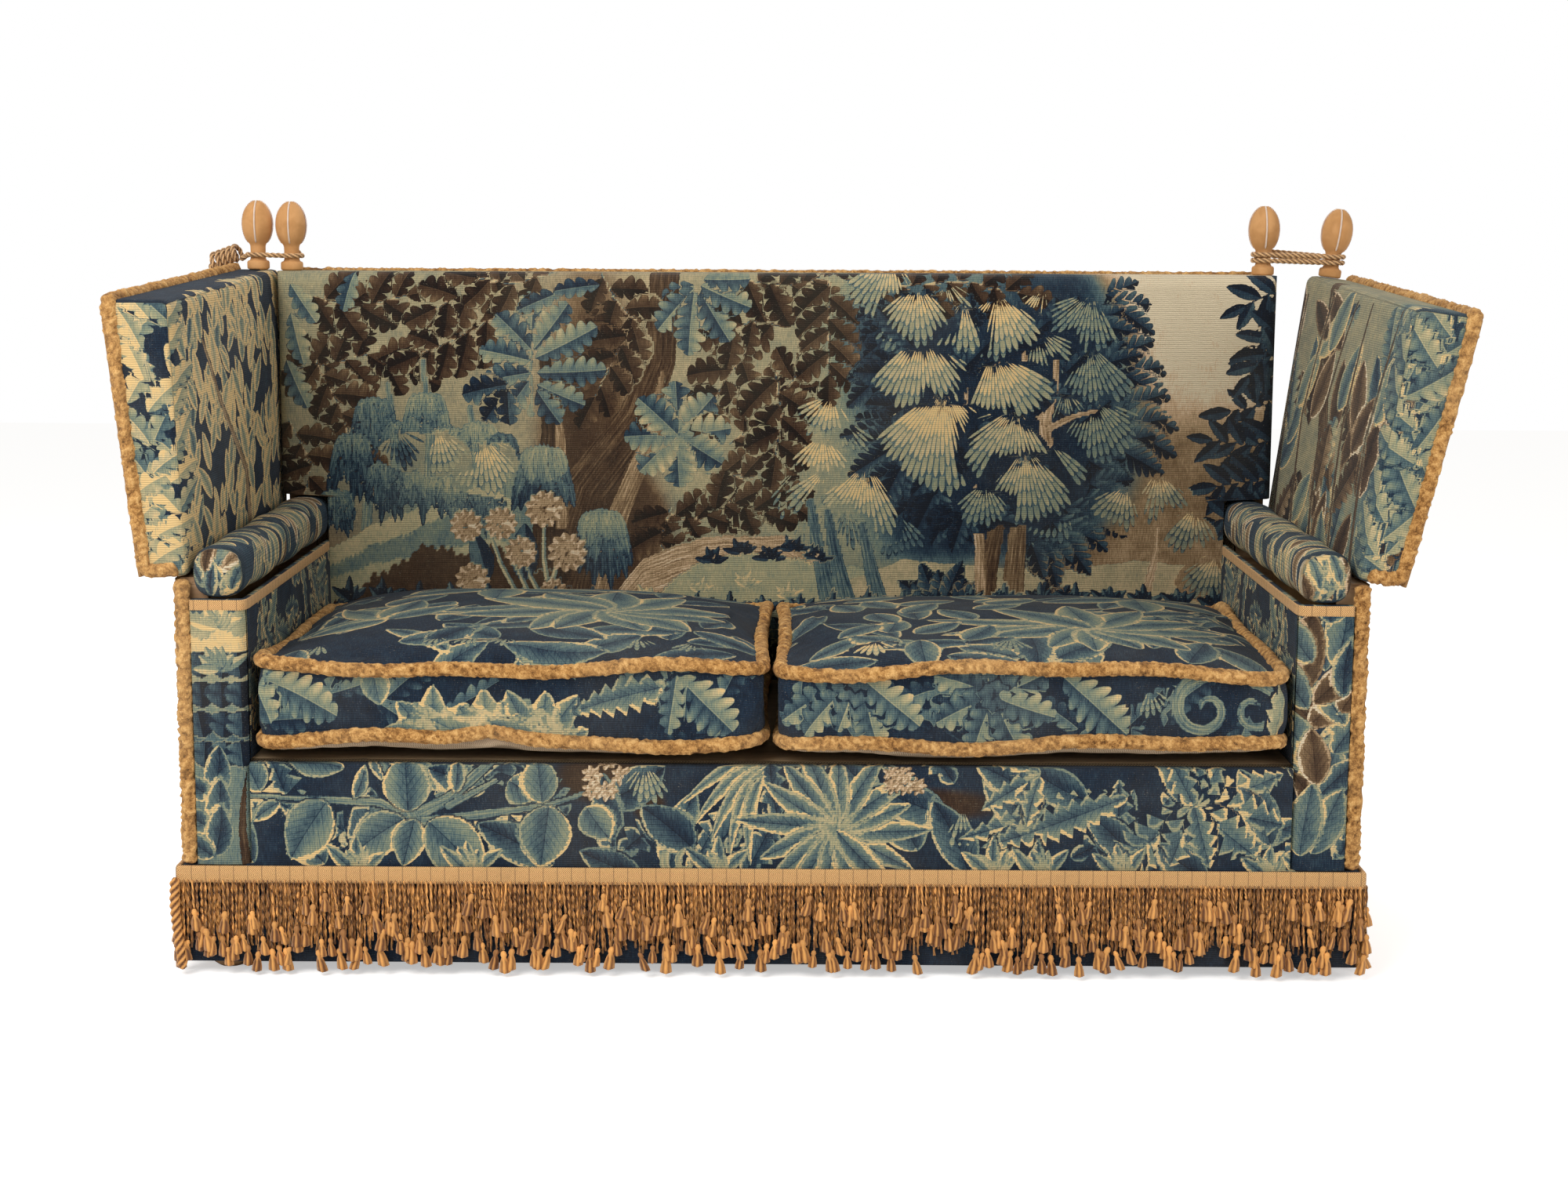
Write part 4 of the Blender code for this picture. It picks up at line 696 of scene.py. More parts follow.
class Cartoon:
    """The weavers' drawing of one panel: for each point its ground colour, and a far and a near layer of
    leaves.

    A layer keeps, for every point, the depth inside the leaf that covers it (below 0 outside the nearest
    one), the place across and along that leaf, and the leaf's tone, hue and look.
    """

    def __init__(self, p, q, seed=1):
        """Starts a drawing on points at the places p and q on the cloth, in metres."""
        self.p, self.q = np.asarray(p, float), np.asarray(q, float)
        count = len(self.p)
        self.layers = {n: [np.full(count, -0.05), np.zeros((count, 2)),
                           np.zeros((count, 3))] for n in ("far", "near")}
        self.ground = np.zeros((count, 3))
        self.weight = np.full(count, 1e-3)
        self.random = np.random.default_rng(seed)
        self.layer = "far"

    def wash(self, middle, spread, tone, hue=0.0, strength=1.0):
        """Ground colour round a place, fading with the square of the distance over its spread."""
        far = ((self.p - middle[0]) / spread[0]) ** 2 + ((self.q - middle[1]) / spread[1]) ** 2
        share = strength * np.exp(-far)
        self.ground[:, 0] += share * tone
        self.ground[:, 1] += share * hue
        self.weight += share

    def lay(self, near, depth, across, along, tone, hue, look):
        """Puts a shape over what is there; the shape below ends at the new one's edge."""
        depths, places, kinds = self.layers[self.layer]
        old = depths[near]
        inside = depth > 0
        kept = ~inside & (old > 0)
        depths[near] = np.where(inside, depth,
                                np.where(kept, np.minimum(old, -depth), np.maximum(old, depth)))
        new = inside | (~kept & (depth > old))
        places[near[new]] = np.stack([across, along], 1)[new]
        kinds[near[new]] = np.stack(np.broadcast_arrays(tone, hue, look, depth), 1)[new, :3]

    def around(self, middle, reach):
        """The numbers of the points within a square round a place."""
        return np.flatnonzero((abs(self.p - middle[0]) < reach) & (abs(self.q - middle[1]) < reach))

    def leaf(self, base, heading, length, width, bend=0.0, tone=0.55, hue=0.0, look=1.6, belly=0.85,
             fade=0.0):
        """A leaf from its base along a heading: its half-width is a rounded sine of the share of its
        length, its axis bends by the square of that share, and its tone falls by the fade from its base to
        its tip."""
        belly = 1.3 if 2 <= look < 2.6 else belly
        turn = math.radians(heading)
        ahead = np.array([math.cos(turn), math.sin(turn)])
        square = np.array([-ahead[1], ahead[0]])
        middle = np.array(base) + ahead * length / 2
        near = self.around(middle, 0.55 * length + 0.6 * width + abs(bend) * length)
        if len(near) == 0:
            return
        dp, dq = self.p[near] - base[0], self.q[near] - base[1]
        along = dp * ahead[0] + dq * ahead[1]
        share = np.clip(along / length, 0, 1)
        across = dp * square[0] + dq * square[1] - bend * length * share**2
        half = 0.5 * width * np.sin(np.pi * share**belly) ** (0.5 if belly == 1.3 else 0.7)
        depth = np.minimum(half - np.abs(across), np.minimum(along + 0.0004, length - along + 0.0004))
        self.lay(near, depth, across, along, tone + fade * (0.5 - share), hue, look)

    def stem(self, points, widths, tone=0.62, hue=0.0, look=0.2):
        """A stalk or trunk along a line of points, its width changing evenly between them."""
        points = np.array(points, float)
        middle = (points.min(0) + points.max(0)) / 2
        near = self.around(middle, (points.max(0) - points.min(0)).max() / 2 + max(widths))
        if len(near) == 0:
            return
        here = np.stack([self.p[near], self.q[near]], 1)
        best = np.full(len(near), -9.0)
        across, along = np.zeros(len(near)), np.zeros(len(near))
        run = 0.0
        for a, b, wide_a, wide_b in zip(points, points[1:], widths, widths[1:]):
            line = b - a
            length = np.linalg.norm(line)
            share = np.clip(((here - a) @ line) / length**2, 0, 1)
            gap = here - a - share[:, None] * line
            side = (line[0] * gap[:, 1] - line[1] * gap[:, 0]) / length
            depth = 0.5 * (wide_a + (wide_b - wide_a) * share) - np.linalg.norm(gap, axis=1)
            won = depth > best
            best[won], across[won], along[won] = depth[won], side[won], (run + share * length)[won]
            run += length
        self.lay(near, best, across, along, tone, hue, look)

    def bank(self, line, tone, hue=0.0, look=0.2, tufts=0.004, pitch=0.012):
        """Ground below a line of points, its edge broken into grass tufts, down to the panel's foot."""
        line = np.array(line, float)
        near = np.flatnonzero((self.p > line[0, 0]) & (self.p < line[-1, 0]))
        edge = np.interp(self.p[near], line[:, 0], line[:, 1])
        saw = 2 * np.abs((self.p[near] / pitch) % 1 - 0.5)
        wave = np.sin(self.p[near] * 61) * 0.5 + np.sin(self.p[near] * 143 + 1) * 0.3
        depth = edge + tufts * (saw + wave) - self.q[near]
        self.lay(near, np.minimum(depth, 0.03), depth + 0.01, self.p[near], tone, hue, look)

    def cluster(self, middle, count, length, width, start=0.0, sweep=360.0, tones=(0.5, 0.7), vary=0.15,
                **look):
        """Leaves radiating from one place over a sweep of headings, alternately long and short."""
        for k in range(count):
            heading = start + sweep * (k + 0.5) / count + self.random.uniform(-5, 5)
            reach = length * (1 - 0.25 * (k % 2)) * self.random.uniform(1 - vary, 1 + vary)
            tone = self.random.uniform(*tones)
            self.leaf(middle, heading, reach, width, self.random.uniform(-0.12, 0.12), tone=tone, **look)

    def bough(self, line, pitch, size, spread=58, stalk=0.004, stalk_look=(0.72, 0.1), start=0.0, **look):
        """A branch along a line of points with leaves in turn on either side, and one at its end."""
        line = np.array(line, float)
        run = distances(line)
        self.stem(line, np.linspace(stalk, 0.5 * stalk, len(line)), *stalk_look)
        count = max(1, round((run[-1] - start) / pitch))
        for k in range(2 * count + 1):
            at = start + (run[-1] - start) * k / (2 * count)
            here = np.array([np.interp(at, run, line[:, 0]), np.interp(at, run, line[:, 1])])
            piece = min(int(np.searchsorted(run, at, "right")) - 1, len(line) - 2)
            ahead = line[piece + 1] - line[piece]
            heading = math.degrees(math.atan2(ahead[1], ahead[0]))
            way = 0 if k == 2 * count else (1 if k % 2 else -1)
            grow = self.random.uniform(0.85, 1.12) * (1 - 0.25 * at / run[-1])
            own_look = dict(look)
            own_look["tone"] = look["tone"] + self.random.uniform(-0.05, 0.05)
            lean = heading + way * (spread + self.random.uniform(-10, 10))
            self.leaf(here, lean, size[0] * grow, size[1] * grow, -0.10 * way, **own_look)

    def plume(self, top, size, tones, hue=0.0):
        """An umbrella of tree foliage: an oval clump whose fingers fan down from above it, paler towards
        its top."""
        near = self.around((top[0], top[1] - 0.4 * size), 0.8 * size)
        if len(near) == 0:
            return
        dp, dq = (self.p[near] - top[0]) / size, (self.q[near] - top[1]) / size
        tilt = self.random.uniform(-0.35, 0.35)
        dp, dq = dp * math.cos(tilt) - dq * math.sin(tilt), dp * math.sin(tilt) + dq * math.cos(tilt)
        ragged = 1 + 0.10 * np.sin(5 * np.arctan2(dp, dq) + self.random.uniform(0, 6))
        depth = (ragged - np.sqrt((dp / 0.60) ** 2 + ((dq + 0.40) / 0.48) ** 2)) * 0.44 * size
        reach = np.hypot(dp, dq - 0.22)
        turn = np.arctan2(dp, 0.22 - dq)
        tone = np.interp(reach, (0.30, 0.62, 1.02), tones[::-1])
        self.lay(near, depth, turn / (0.0125 / size) + self.random.uniform(30, 60), (reach - 0.05) / 0.20,
                 tone + 0.06, hue, 4.5)

    def frond(self, foot, tip, tone, hue=0.0):
        """A dark finger-cut frond from its foot to its tip, with a smaller one on either side."""
        run = (tip[0] - foot[0], tip[1] - foot[1])
        heading, length = math.degrees(math.atan2(run[1], run[0])), math.hypot(*run)
        for lean, share in ((-34, 0.74), (34, 0.74), (0, 1.0)):
            at = (foot[0] + 0.12 * run[0], foot[1] + 0.12 * run[1])
            turn = heading + lean + self.random.uniform(-6, 6)
            self.leaf(at, turn, length * share, 0.50 * length, 0.0, tone + self.random.uniform(-0.03, 0.03),
                      hue, 2.8, 0.9)

    def tuft(self, top, wide, high, tones, hue=0.0):
        """A hanging clump of long grass: narrow streaked blades side by side, the upper ones shorter and
        paler."""
        for share in (1.0, 0.74, 0.48):
            tone = tones[1] + (tones[0] - tones[1]) * share
            for k in range(9):
                at = (top[0] + (k - 4) * 0.06 * wide, top[1] - 0.012 * abs(k - 4) * high)
                reach = high * share * (1 - 0.06 * abs(k - 4)) * self.random.uniform(0.7, 1.15)
                self.leaf(at, 270 + 3.5 * (k - 4), reach, 0.17 * wide, 0.0,
                          tone + self.random.uniform(-0.06, 0.06), hue, 5.7, 1.1, 0.2)

    def curl(self, middle, size, turns=1.6, way=1, start=0.0, tone=0.75, hue=0.2):
        """A scrolled frond: a band winding in to its middle, narrowing as it goes."""
        share = np.linspace(0, 1, 26)
        angle = math.radians(start) + way * 2 * np.pi * turns * share
        reach = size * (1 - 0.85 * share)
        line = np.stack([middle[0] + reach * np.cos(angle), middle[1] + reach * np.sin(angle)], 1)
        self.stem(line, size * np.linspace(0.42, 0.16, 26), tone, hue, 5.2)

    def bloom(self, middle, size, tone=0.78, hue=0.75, petals=11):
        """A round many-petalled flower: two rings of blunt petals round a small eye."""
        for ring, reach in ((0, 1.0), (1, 0.62)):
            for k in range(petals):
                heading = 360 * (k + 0.5 * ring) / petals
                self.leaf(middle, heading, size * reach, size * 0.5, 0, tone + 0.06 * ring, hue, 0.15, 1.6)

    def marks(self):
        """The drawing as arrays of numbers a point, by the names that the tapestry's material reads."""
        made = {"cloth": np.stack([self.p, self.q, 0 * self.p], 1),
                "ground": self.ground / self.weight[:, None]}
        for name, (depth, place, kind) in self.layers.items():
            made[f"{name}_shape"] = np.column_stack([depth, place])
            made[f"{name}_kind"] = kind
        return made


# Closed surfaces


def loop_faces(points, faces, loop, rings):
    """Carries an edge loop of a surface through further rings of points, and closes it with one last face."""
    start, loops = len(points), [loop]
    points = [points]
    for ring in rings:
        points.append(ring)
        loops.append(np.arange(start, start + len(ring)))
        start += len(ring)
    for a, b in zip(loops, loops[1:]):
        faces = faces + np.stack([a, b, np.roll(b, -1), np.roll(a, -1)], 1).tolist()
    return np.concatenate(points), faces + [loops[-1].tolist()]


def edge_loop(rows, columns):
    """The numbers of the points round a grid's edge, in order."""
    index = np.arange(rows * columns).reshape(rows, columns)
    return np.concatenate([index[0, :-1], index[:-1, -1], index[-1, :0:-1], index[:0:-1, 0]])


def box_lattice(xs, ys, zs):
    """The surface of a box as points at the crossings of three sets of stations, with its faces.

    Also the place of each point in the three sets, so that rings and sides can be picked out.
    """
    shape = (len(xs), len(ys), len(zs))
    place = np.indices(shape).reshape(3, -1).T
    last = np.array(shape) - 1
    outer = ((place == 0) | (place == last)).any(1)
    index = np.full(shape, -1)
    index.reshape(-1)[outer] = np.arange(outer.sum())
    faces = []
    for axis in range(3):
        for end in (0, -1):
            side = np.take(index, end, axis)
            quads = side.ravel()[grid_faces(*side.shape)]
            faces.append(quads if (end == 0) == (axis == 1) else quads[:, ::-1])
    place = place[outer]
    points = np.stack([np.asarray(s, float)[place[:, k]] for k, s in enumerate((xs, ys, zs))], 1)
    return points, np.concatenate(faces), place


def rounded(points, low, high, radius):
    """Points on a box moved onto the same box with rounded edges: out from the nearest inset point by the
    radius."""
    low, high, radius = (np.asarray(v, float) for v in (low, high, radius))
    inset = np.clip(points, low + radius, high - radius)
    away = points - inset
    length = np.linalg.norm(away / radius, axis=1)[:, None]
    return inset + np.where(length > 0, away / np.maximum(length, 1e-9), 0)


def stations(low, high, pitch, fine=0.0, count=0):
    """Even stations from low to high, with a few more close to each end where the edge is rounded."""
    middle = np.linspace(low + fine, high - fine, max(2, round((high - low - 2 * fine) / pitch) + 1))
    if not count:
        return middle
    ease = fine * (1 - np.cos(np.linspace(0, np.pi / 2, count + 1)))
    return np.concatenate([low + ease[:-1], middle, (high - ease[:-1])[::-1]])


def panel(half, bottom, top, face, pitch, behind, middle=0.0):
    """An upholstered panel facing the front: a grid whose edge columns follow its width, rounded over into
    its sides.

    half(z) is its half-width, face(x, z) its depth y, and behind the ys at which its sides and back lie.
    """
    zs = stations(bottom, top, pitch[1])
    wide = float(np.max(half(zs)))
    steady = 0.85 * wide
    us = np.linspace(-wide, wide, round(2 * wide / pitch[0]) + 1)
    z, u = np.meshgrid(zs, us, indexing="ij")
    outer = np.maximum(np.abs(u) - steady, 0) * (half(z) - wide) / (wide - steady)
    x = middle + u + np.sign(u) * outer
    front = np.stack([x, face(x, z), z], -1).reshape(-1, 3)
    loop = edge_loop(len(zs), len(us))
    rings = []
    for depth in behind:
        ring = front[loop].copy()
        ring[:, 1] = depth(ring[:, 0], ring[:, 2]) if callable(depth) else depth
        rings.append(ring)
    points, faces = loop_faces(front, grid_faces(len(zs), len(us)).tolist(), loop, rings)
    return points, faces


def swell(distance, radius):
    """How far behind its face a rounded edge lies, at a distance in from the edge."""
    short = np.clip(1 - distance / radius, 0, 1)
    return radius * (1 - np.sqrt(1 - short**2))


# Trimmings


def ruche(name, path, radius, body, node, finish, seed=1, closed=False, lumps=0.0034, size=0.0046):
    """A thick looped trimming: a tube whose surface is raised into close-packed lumps by lattice noise."""
    path = spaced(path, 0.0025, closed)
    points, faces, ring, _ = swept(path, radius, 16, closed)
    flat = points.reshape(-1, 3)
    coarse = lattice_noise(flat, size * 2.2, seed)
    fine = lattice_noise(flat, size, seed + 1)
    lift = np.clip(0.35 * coarse + 0.75 * fine - 0.05, 0, 1)
    flat = flat + ring.reshape(-1, 3) * ((lift - 0.5) * 2 * lumps)[:, None]
    piece = make(name, flat, faces, finish, body, node)
    # The lift also sets the wool's painted highlight on raised loops and painted shade in the hollows.
    mark(piece, lift=lift)
    return piece


def tube_faces(rows, sides, closed=False):
    """A tube's faces, with the two ends of an open tube closed by fans of quads."""
    faces = grid_faces(rows, sides, closed, True)
    if closed:
        return faces
    k = np.arange(1, sides - 1, 2)
    fan = np.stack([0 * k, k, k + 1, (k + 2) % sides], 1)
    fan = fan[fan[:, 3] != 0] if sides % 2 else fan[:-1] if len(fan) * 2 > sides - 2 else fan
    return np.concatenate([faces, fan[:, ::-1], fan + (rows - 1) * sides])


def flat_braid(name, path, width, thick, body, node, finish, closed=False, up=(0, 0, 1)):
    """A flat braid laid along a path: a rounded strip standing upright, its place kept as cloth."""
    path = spaced(path, 0.004, closed)
    ahead = np.roll(path, -1, 0) - np.roll(path, 1, 0)
    if not closed:
        ahead[0], ahead[-1] = path[1] - path[0], path[-1] - path[-2]
    ahead /= np.linalg.norm(ahead, axis=1)[:, None]
    up = np.asarray(up, float)
    out = np.cross(ahead, up)
    angle = turns(20)
    over = squared(np.cos(angle), 0.35) * width / 2
    forth = squared(np.sin(angle), 0.7) * thick / 2
    points = path[:, None] + out[:, None] * forth[None, :, None] + up * over[None, :, None]
    run = distances(path)
    cloth = np.stack(np.broadcast_arrays(run[:, None], over[None, :], 0.0), -1).reshape(-1, 3)
    faces = tube_faces(len(path), 20, closed)
    piece = make(name, points, faces, finish, body, node)
    mark(piece, cloth=cloth)
    return piece


def hanging(centres, radii, sides, phase=None):
    """Many upright threads or tufts: centres (count, rings, 3), radii (count, rings) or with a last axis
    of sides."""
    count, rings = centres.shape[:2]
    angle = turns(sides) + (0 if phase is None else phase[..., None])
    angle = np.broadcast_to(angle, (count, rings, sides))
    radii = np.broadcast_to(radii if radii.ndim == 3 else radii[..., None], angle.shape)
    points = np.repeat(centres[:, :, None], sides, 2)
    points = points + np.stack([radii * np.cos(angle), radii * np.sin(angle), 0 * angle], -1)
    one = tube_faces(rings, sides)
    faces = (one[None] + (np.arange(count) * rings * sides)[:, None, None]).reshape(-1, 4)
    return points.reshape(-1, 3), faces


def hung(points, side):
    """A closed right wing's points on either side: mirrored for the left, and turned open by its angle."""
    points = np.array(points, float)
    turn = math.radians(WING_OPEN[side])
    x, z = points[..., 0] - HINGE_X, points[..., 2] - HINGE_Z
    if side == "right":
        points[..., 0] = HINGE_X + x * math.cos(turn) + z * math.sin(turn)
        points[..., 2] = HINGE_Z - x * math.sin(turn) + z * math.cos(turn)
    else:
        points[..., 0] *= -1
    return points


def wing_out(y, h):
    """How far out a wing's outer face lies at a depth y and a height h over its foot: it leans out as it
    rises."""
    return 0.930 - 0.022 * y / WING_REAR_Y + 0.104 * h


def wing_in(y, h):
    """How far out a wing's crowned inner face lies at a depth y and a height h over its foot."""
    share = np.clip(h / WING_HEIGHT, 0, 1)
    bottom, top = 0.857 + 0.005 * y / WING_REAR_Y, 0.872 - 0.010 * y / WING_REAR_Y
    crown = 0.006 * (1 - np.abs(2 * y / WING_REAR_Y - 1) ** 3) * (1 - np.abs(2 * share - 1) ** 3)
    return bottom + (top - bottom) * share - crown


def wing_high(y):
    """A wing's height over its foot, a little more towards the rear."""
    return 1.005 + 0.027 * y / WING_REAR_Y - WING_BOTTOM


# The pieces


def back(cloth):
    """The back's pad: a slightly crowned panel, wider above the arms, wrapped round the frame at its top
    and sides."""
    def half(z):
        """Half the pad's width at a height."""
        return np.where(z > ROLL_TOP, BACK_HALF_WIDTH, 0.774)

    def face(x, z):
        """How far the pad stands out: a crown, slow waves and rounded edges."""
        across, up = x / BACK_HALF_WIDTH, np.clip((z - PAD_BOTTOM) / BACK_PAD_HEIGHT * 2 - 1, -1, 1)
        edge = np.minimum(BACK_HEIGHT - z, np.where(z > ROLL_TOP, BACK_HALF_WIDTH - np.abs(x), 0.05))
        soft = 0.0016 * np.sin(7 * x + 2) * np.sin(9 * z) + 0.0010 * np.sin(19 * x + 11 * z)
        return BACK_FACE_Y + swell(edge, 0.022) - 0.008 * (1 - across**4) * (1 - up**4) + soft

    behind = [lambda x, z: np.where(z > ROLL_TOP, 0.700, 0.690), lambda x,
              z: np.where(z > ROLL_TOP, 0.7512, 0.6997)]
    points, faces = panel(half, PAD_BOTTOM, BACK_HEIGHT, face, (0.0036, 0.0037), behind)
    piece = make("back_pad_tapestry", points, faces, cloth, "frame", ["back_pad"])
    drawing = Cartoon(points[:, 0], points[:, 2] + np.maximum(0, points[:, 1] - 0.68), 11)
    draw_back(drawing)
    mark(piece, **drawing.marks())


CM = 0.01
# Places on the back, in centimetres across from the middle and up from the floor: the blue sprays' leaves
# (foot, heading, length, width, tone), the great tree's fronds (foot, tip), and its stems (line, widths,
# tone).
SPRAY_LEAVES = (
    ((-42, 91), 85, 9.0, 6.0, 0.50), ((-42, 90), 132, 8.5, 5.6, 0.44), ((-42, 88), 165, 9.0, 5.6, 0.50),
    ((-42, 86), 188, 8.5, 5.2, 0.42), ((-42.4, 84.5), 232, 7.0, 4.8, 0.40), ((-41.5, 90), 50, 10, 5.6, 0.46),
    ((-41.3, 88.5), 24, 12, 5.6, 0.50), ((-41, 86), 0, 12, 5.4, 0.42),
    ((-41, 84), -26, 9.0, 5.0, 0.44), ((-41, 83), -58, 7.0, 4.6, 0.38), ((-46, 84), 190, 8, 5.4, 0.20),
    ((-46, 83), 230, 7, 4.6, 0.16), ((-46, 83), 270, 6, 4.2, 0.22), ((-14, 101), 200, 6, 3.8, 0.52),
    ((-14, 100.5), 226, 9.5, 5.8, 0.56), ((-14, 100), 262, 11, 6.0, 0.52),
    ((-13, 100), 298, 10, 5.8, 0.46), ((-13, 101), 334, 9.5, 5.4, 0.54), ((-12.5, 102), 358, 8, 4.6, 0.48),
    ((-36, 100), 200, 9, 3.6, 0.40), ((-30, 101), 185, 8, 3.6, 0.34), ((-83, 101), 300, 8, 4.2, 0.56),
    ((-83, 96), 280, 9, 4.2, 0.60), ((-84, 88), 290, 9, 4.4, 0.50), ((-72, 103), 250, 7, 4.0, 0.46),
)
GREAT_TREE_FRONDS = (
    ((20, 99), (15, 92)), ((22, 95), (16, 89)), ((20, 88), (13, 81)), ((23, 86), (14, 86)),
    ((23, 81), (15, 76)),
    ((21, 77), (12, 75)), ((23, 75), (13, 70)), ((22, 71), (18, 63)), ((24, 65), (23, 58)),
    ((28, 67), (25, 59)),
    ((31, 64), (28, 57)), ((33, 63), (31, 56)), ((55, 100), (63, 98)), ((56, 99), (64, 94)),
    ((53, 95), (61, 94)),
    ((57, 90), (66, 87)), ((58, 87), (67, 83)), ((56, 88), (62, 90)), ((58, 81), (68, 77)),
    ((58, 78), (68, 73)),
    ((56, 75), (66, 70)), ((53, 72), (60, 67)), ((53, 68), (62, 63)), ((52, 65), (60, 59)),
    ((49, 64), (56, 56)),
    ((47, 62), (53, 52)), ((46, 59), (49, 50)), ((44, 58), (46, 51)), ((33, 93), (33, 99)),
    ((38, 81), (44, 82)),
    ((34, 78), (37, 73)), ((47, 94), (51, 99)), ((49, 86), (53, 90)), ((51, 77), (57, 81)),
    ((27, 95), (22, 100)),
    ((31, 86), (36, 92)), ((30, 72), (24, 66)), ((40, 90), (46, 95)), ((44, 84), (50, 79)),
    ((33, 68), (27, 73)),
    ((28, 46), (22, 50)), ((28, 46), (26, 53)), ((29, 46), (32, 53)), ((31, 46), (36, 50)),
    ((45, 45), (50, 49)),
    ((46, 45), (47, 50)), ((48, 45), (54, 48)), ((24, 90), (18, 97)), ((40, 68), (47, 70)),
    ((35, 62), (42, 60)),
)
TREE_STEMS = (
    (((36.3, 44), (36.9, 52.2), (38.2, 59.7), (39.1, 64)), (3.6, 3.2, 2.8, 2.2), 0.42),
    (((41, 44), (41.4, 52.2), (41.9, 59.7), (40.5, 67)), (4.2, 3.6, 3.0, 2.2), 0.54),
    (((35.6, 47), (35.4, 56), (34.5, 63.4), (33.6, 69), (32.7, 75)), (2.0, 1.8, 1.6, 1.4, 1.2), 0.74),
    (((42, 66), (43.3, 70), (46.5, 74.5), (46, 78.3), (42.7, 82.9), (41, 86.6)),
     (2.4, 2.2, 2.2, 1.8, 1.4, 1.1), 0.76),
    (((46.4, 78), (47.8, 84.3), (47.8, 88.5)), (1.6, 1.3, 0.8), 0.76),
    (((41, 78.3), (40.5, 81), (42.7, 86.6), (41.9, 92)), (1.5, 1.4, 1.2, 0.8), 0.76),
    (((33.4, 81), (32.7, 82.9), (29.9, 86.6), (28.5, 92)), (1.4, 1.3, 1.0, 0.7), 0.78),
    (((33.1, 83.9), (29.5, 86)), (1.1, 0.7), 0.78),
    (((40, 84), (38.2, 87.5), (35.9, 91.3), (34.5, 96)), (1.4, 1.2, 1.0, 0.7), 0.76),
    (((47, 77), (51, 79), (55, 80)), (1.3, 1.0, 0.7), 0.74),
)


def plumes(c, rows, hue=0.0):
    """Tree clumps from rows of place, width and tones, in centimetres."""
    for x, z, wide, tones in rows:
        c.plume((x * CM, z * CM), wide * CM, tones, hue)


def limb(c, places, widths, *look, **named):
    """A stem or trunk whose places and widths are in centimetres."""
    c.stem(cm(*places), np.array(widths) * CM, *look, **named)


def cm(*places):
    """Places in a drawing, in centimetres, as metres."""
    return [(x * CM, z * CM) for x, z in places]


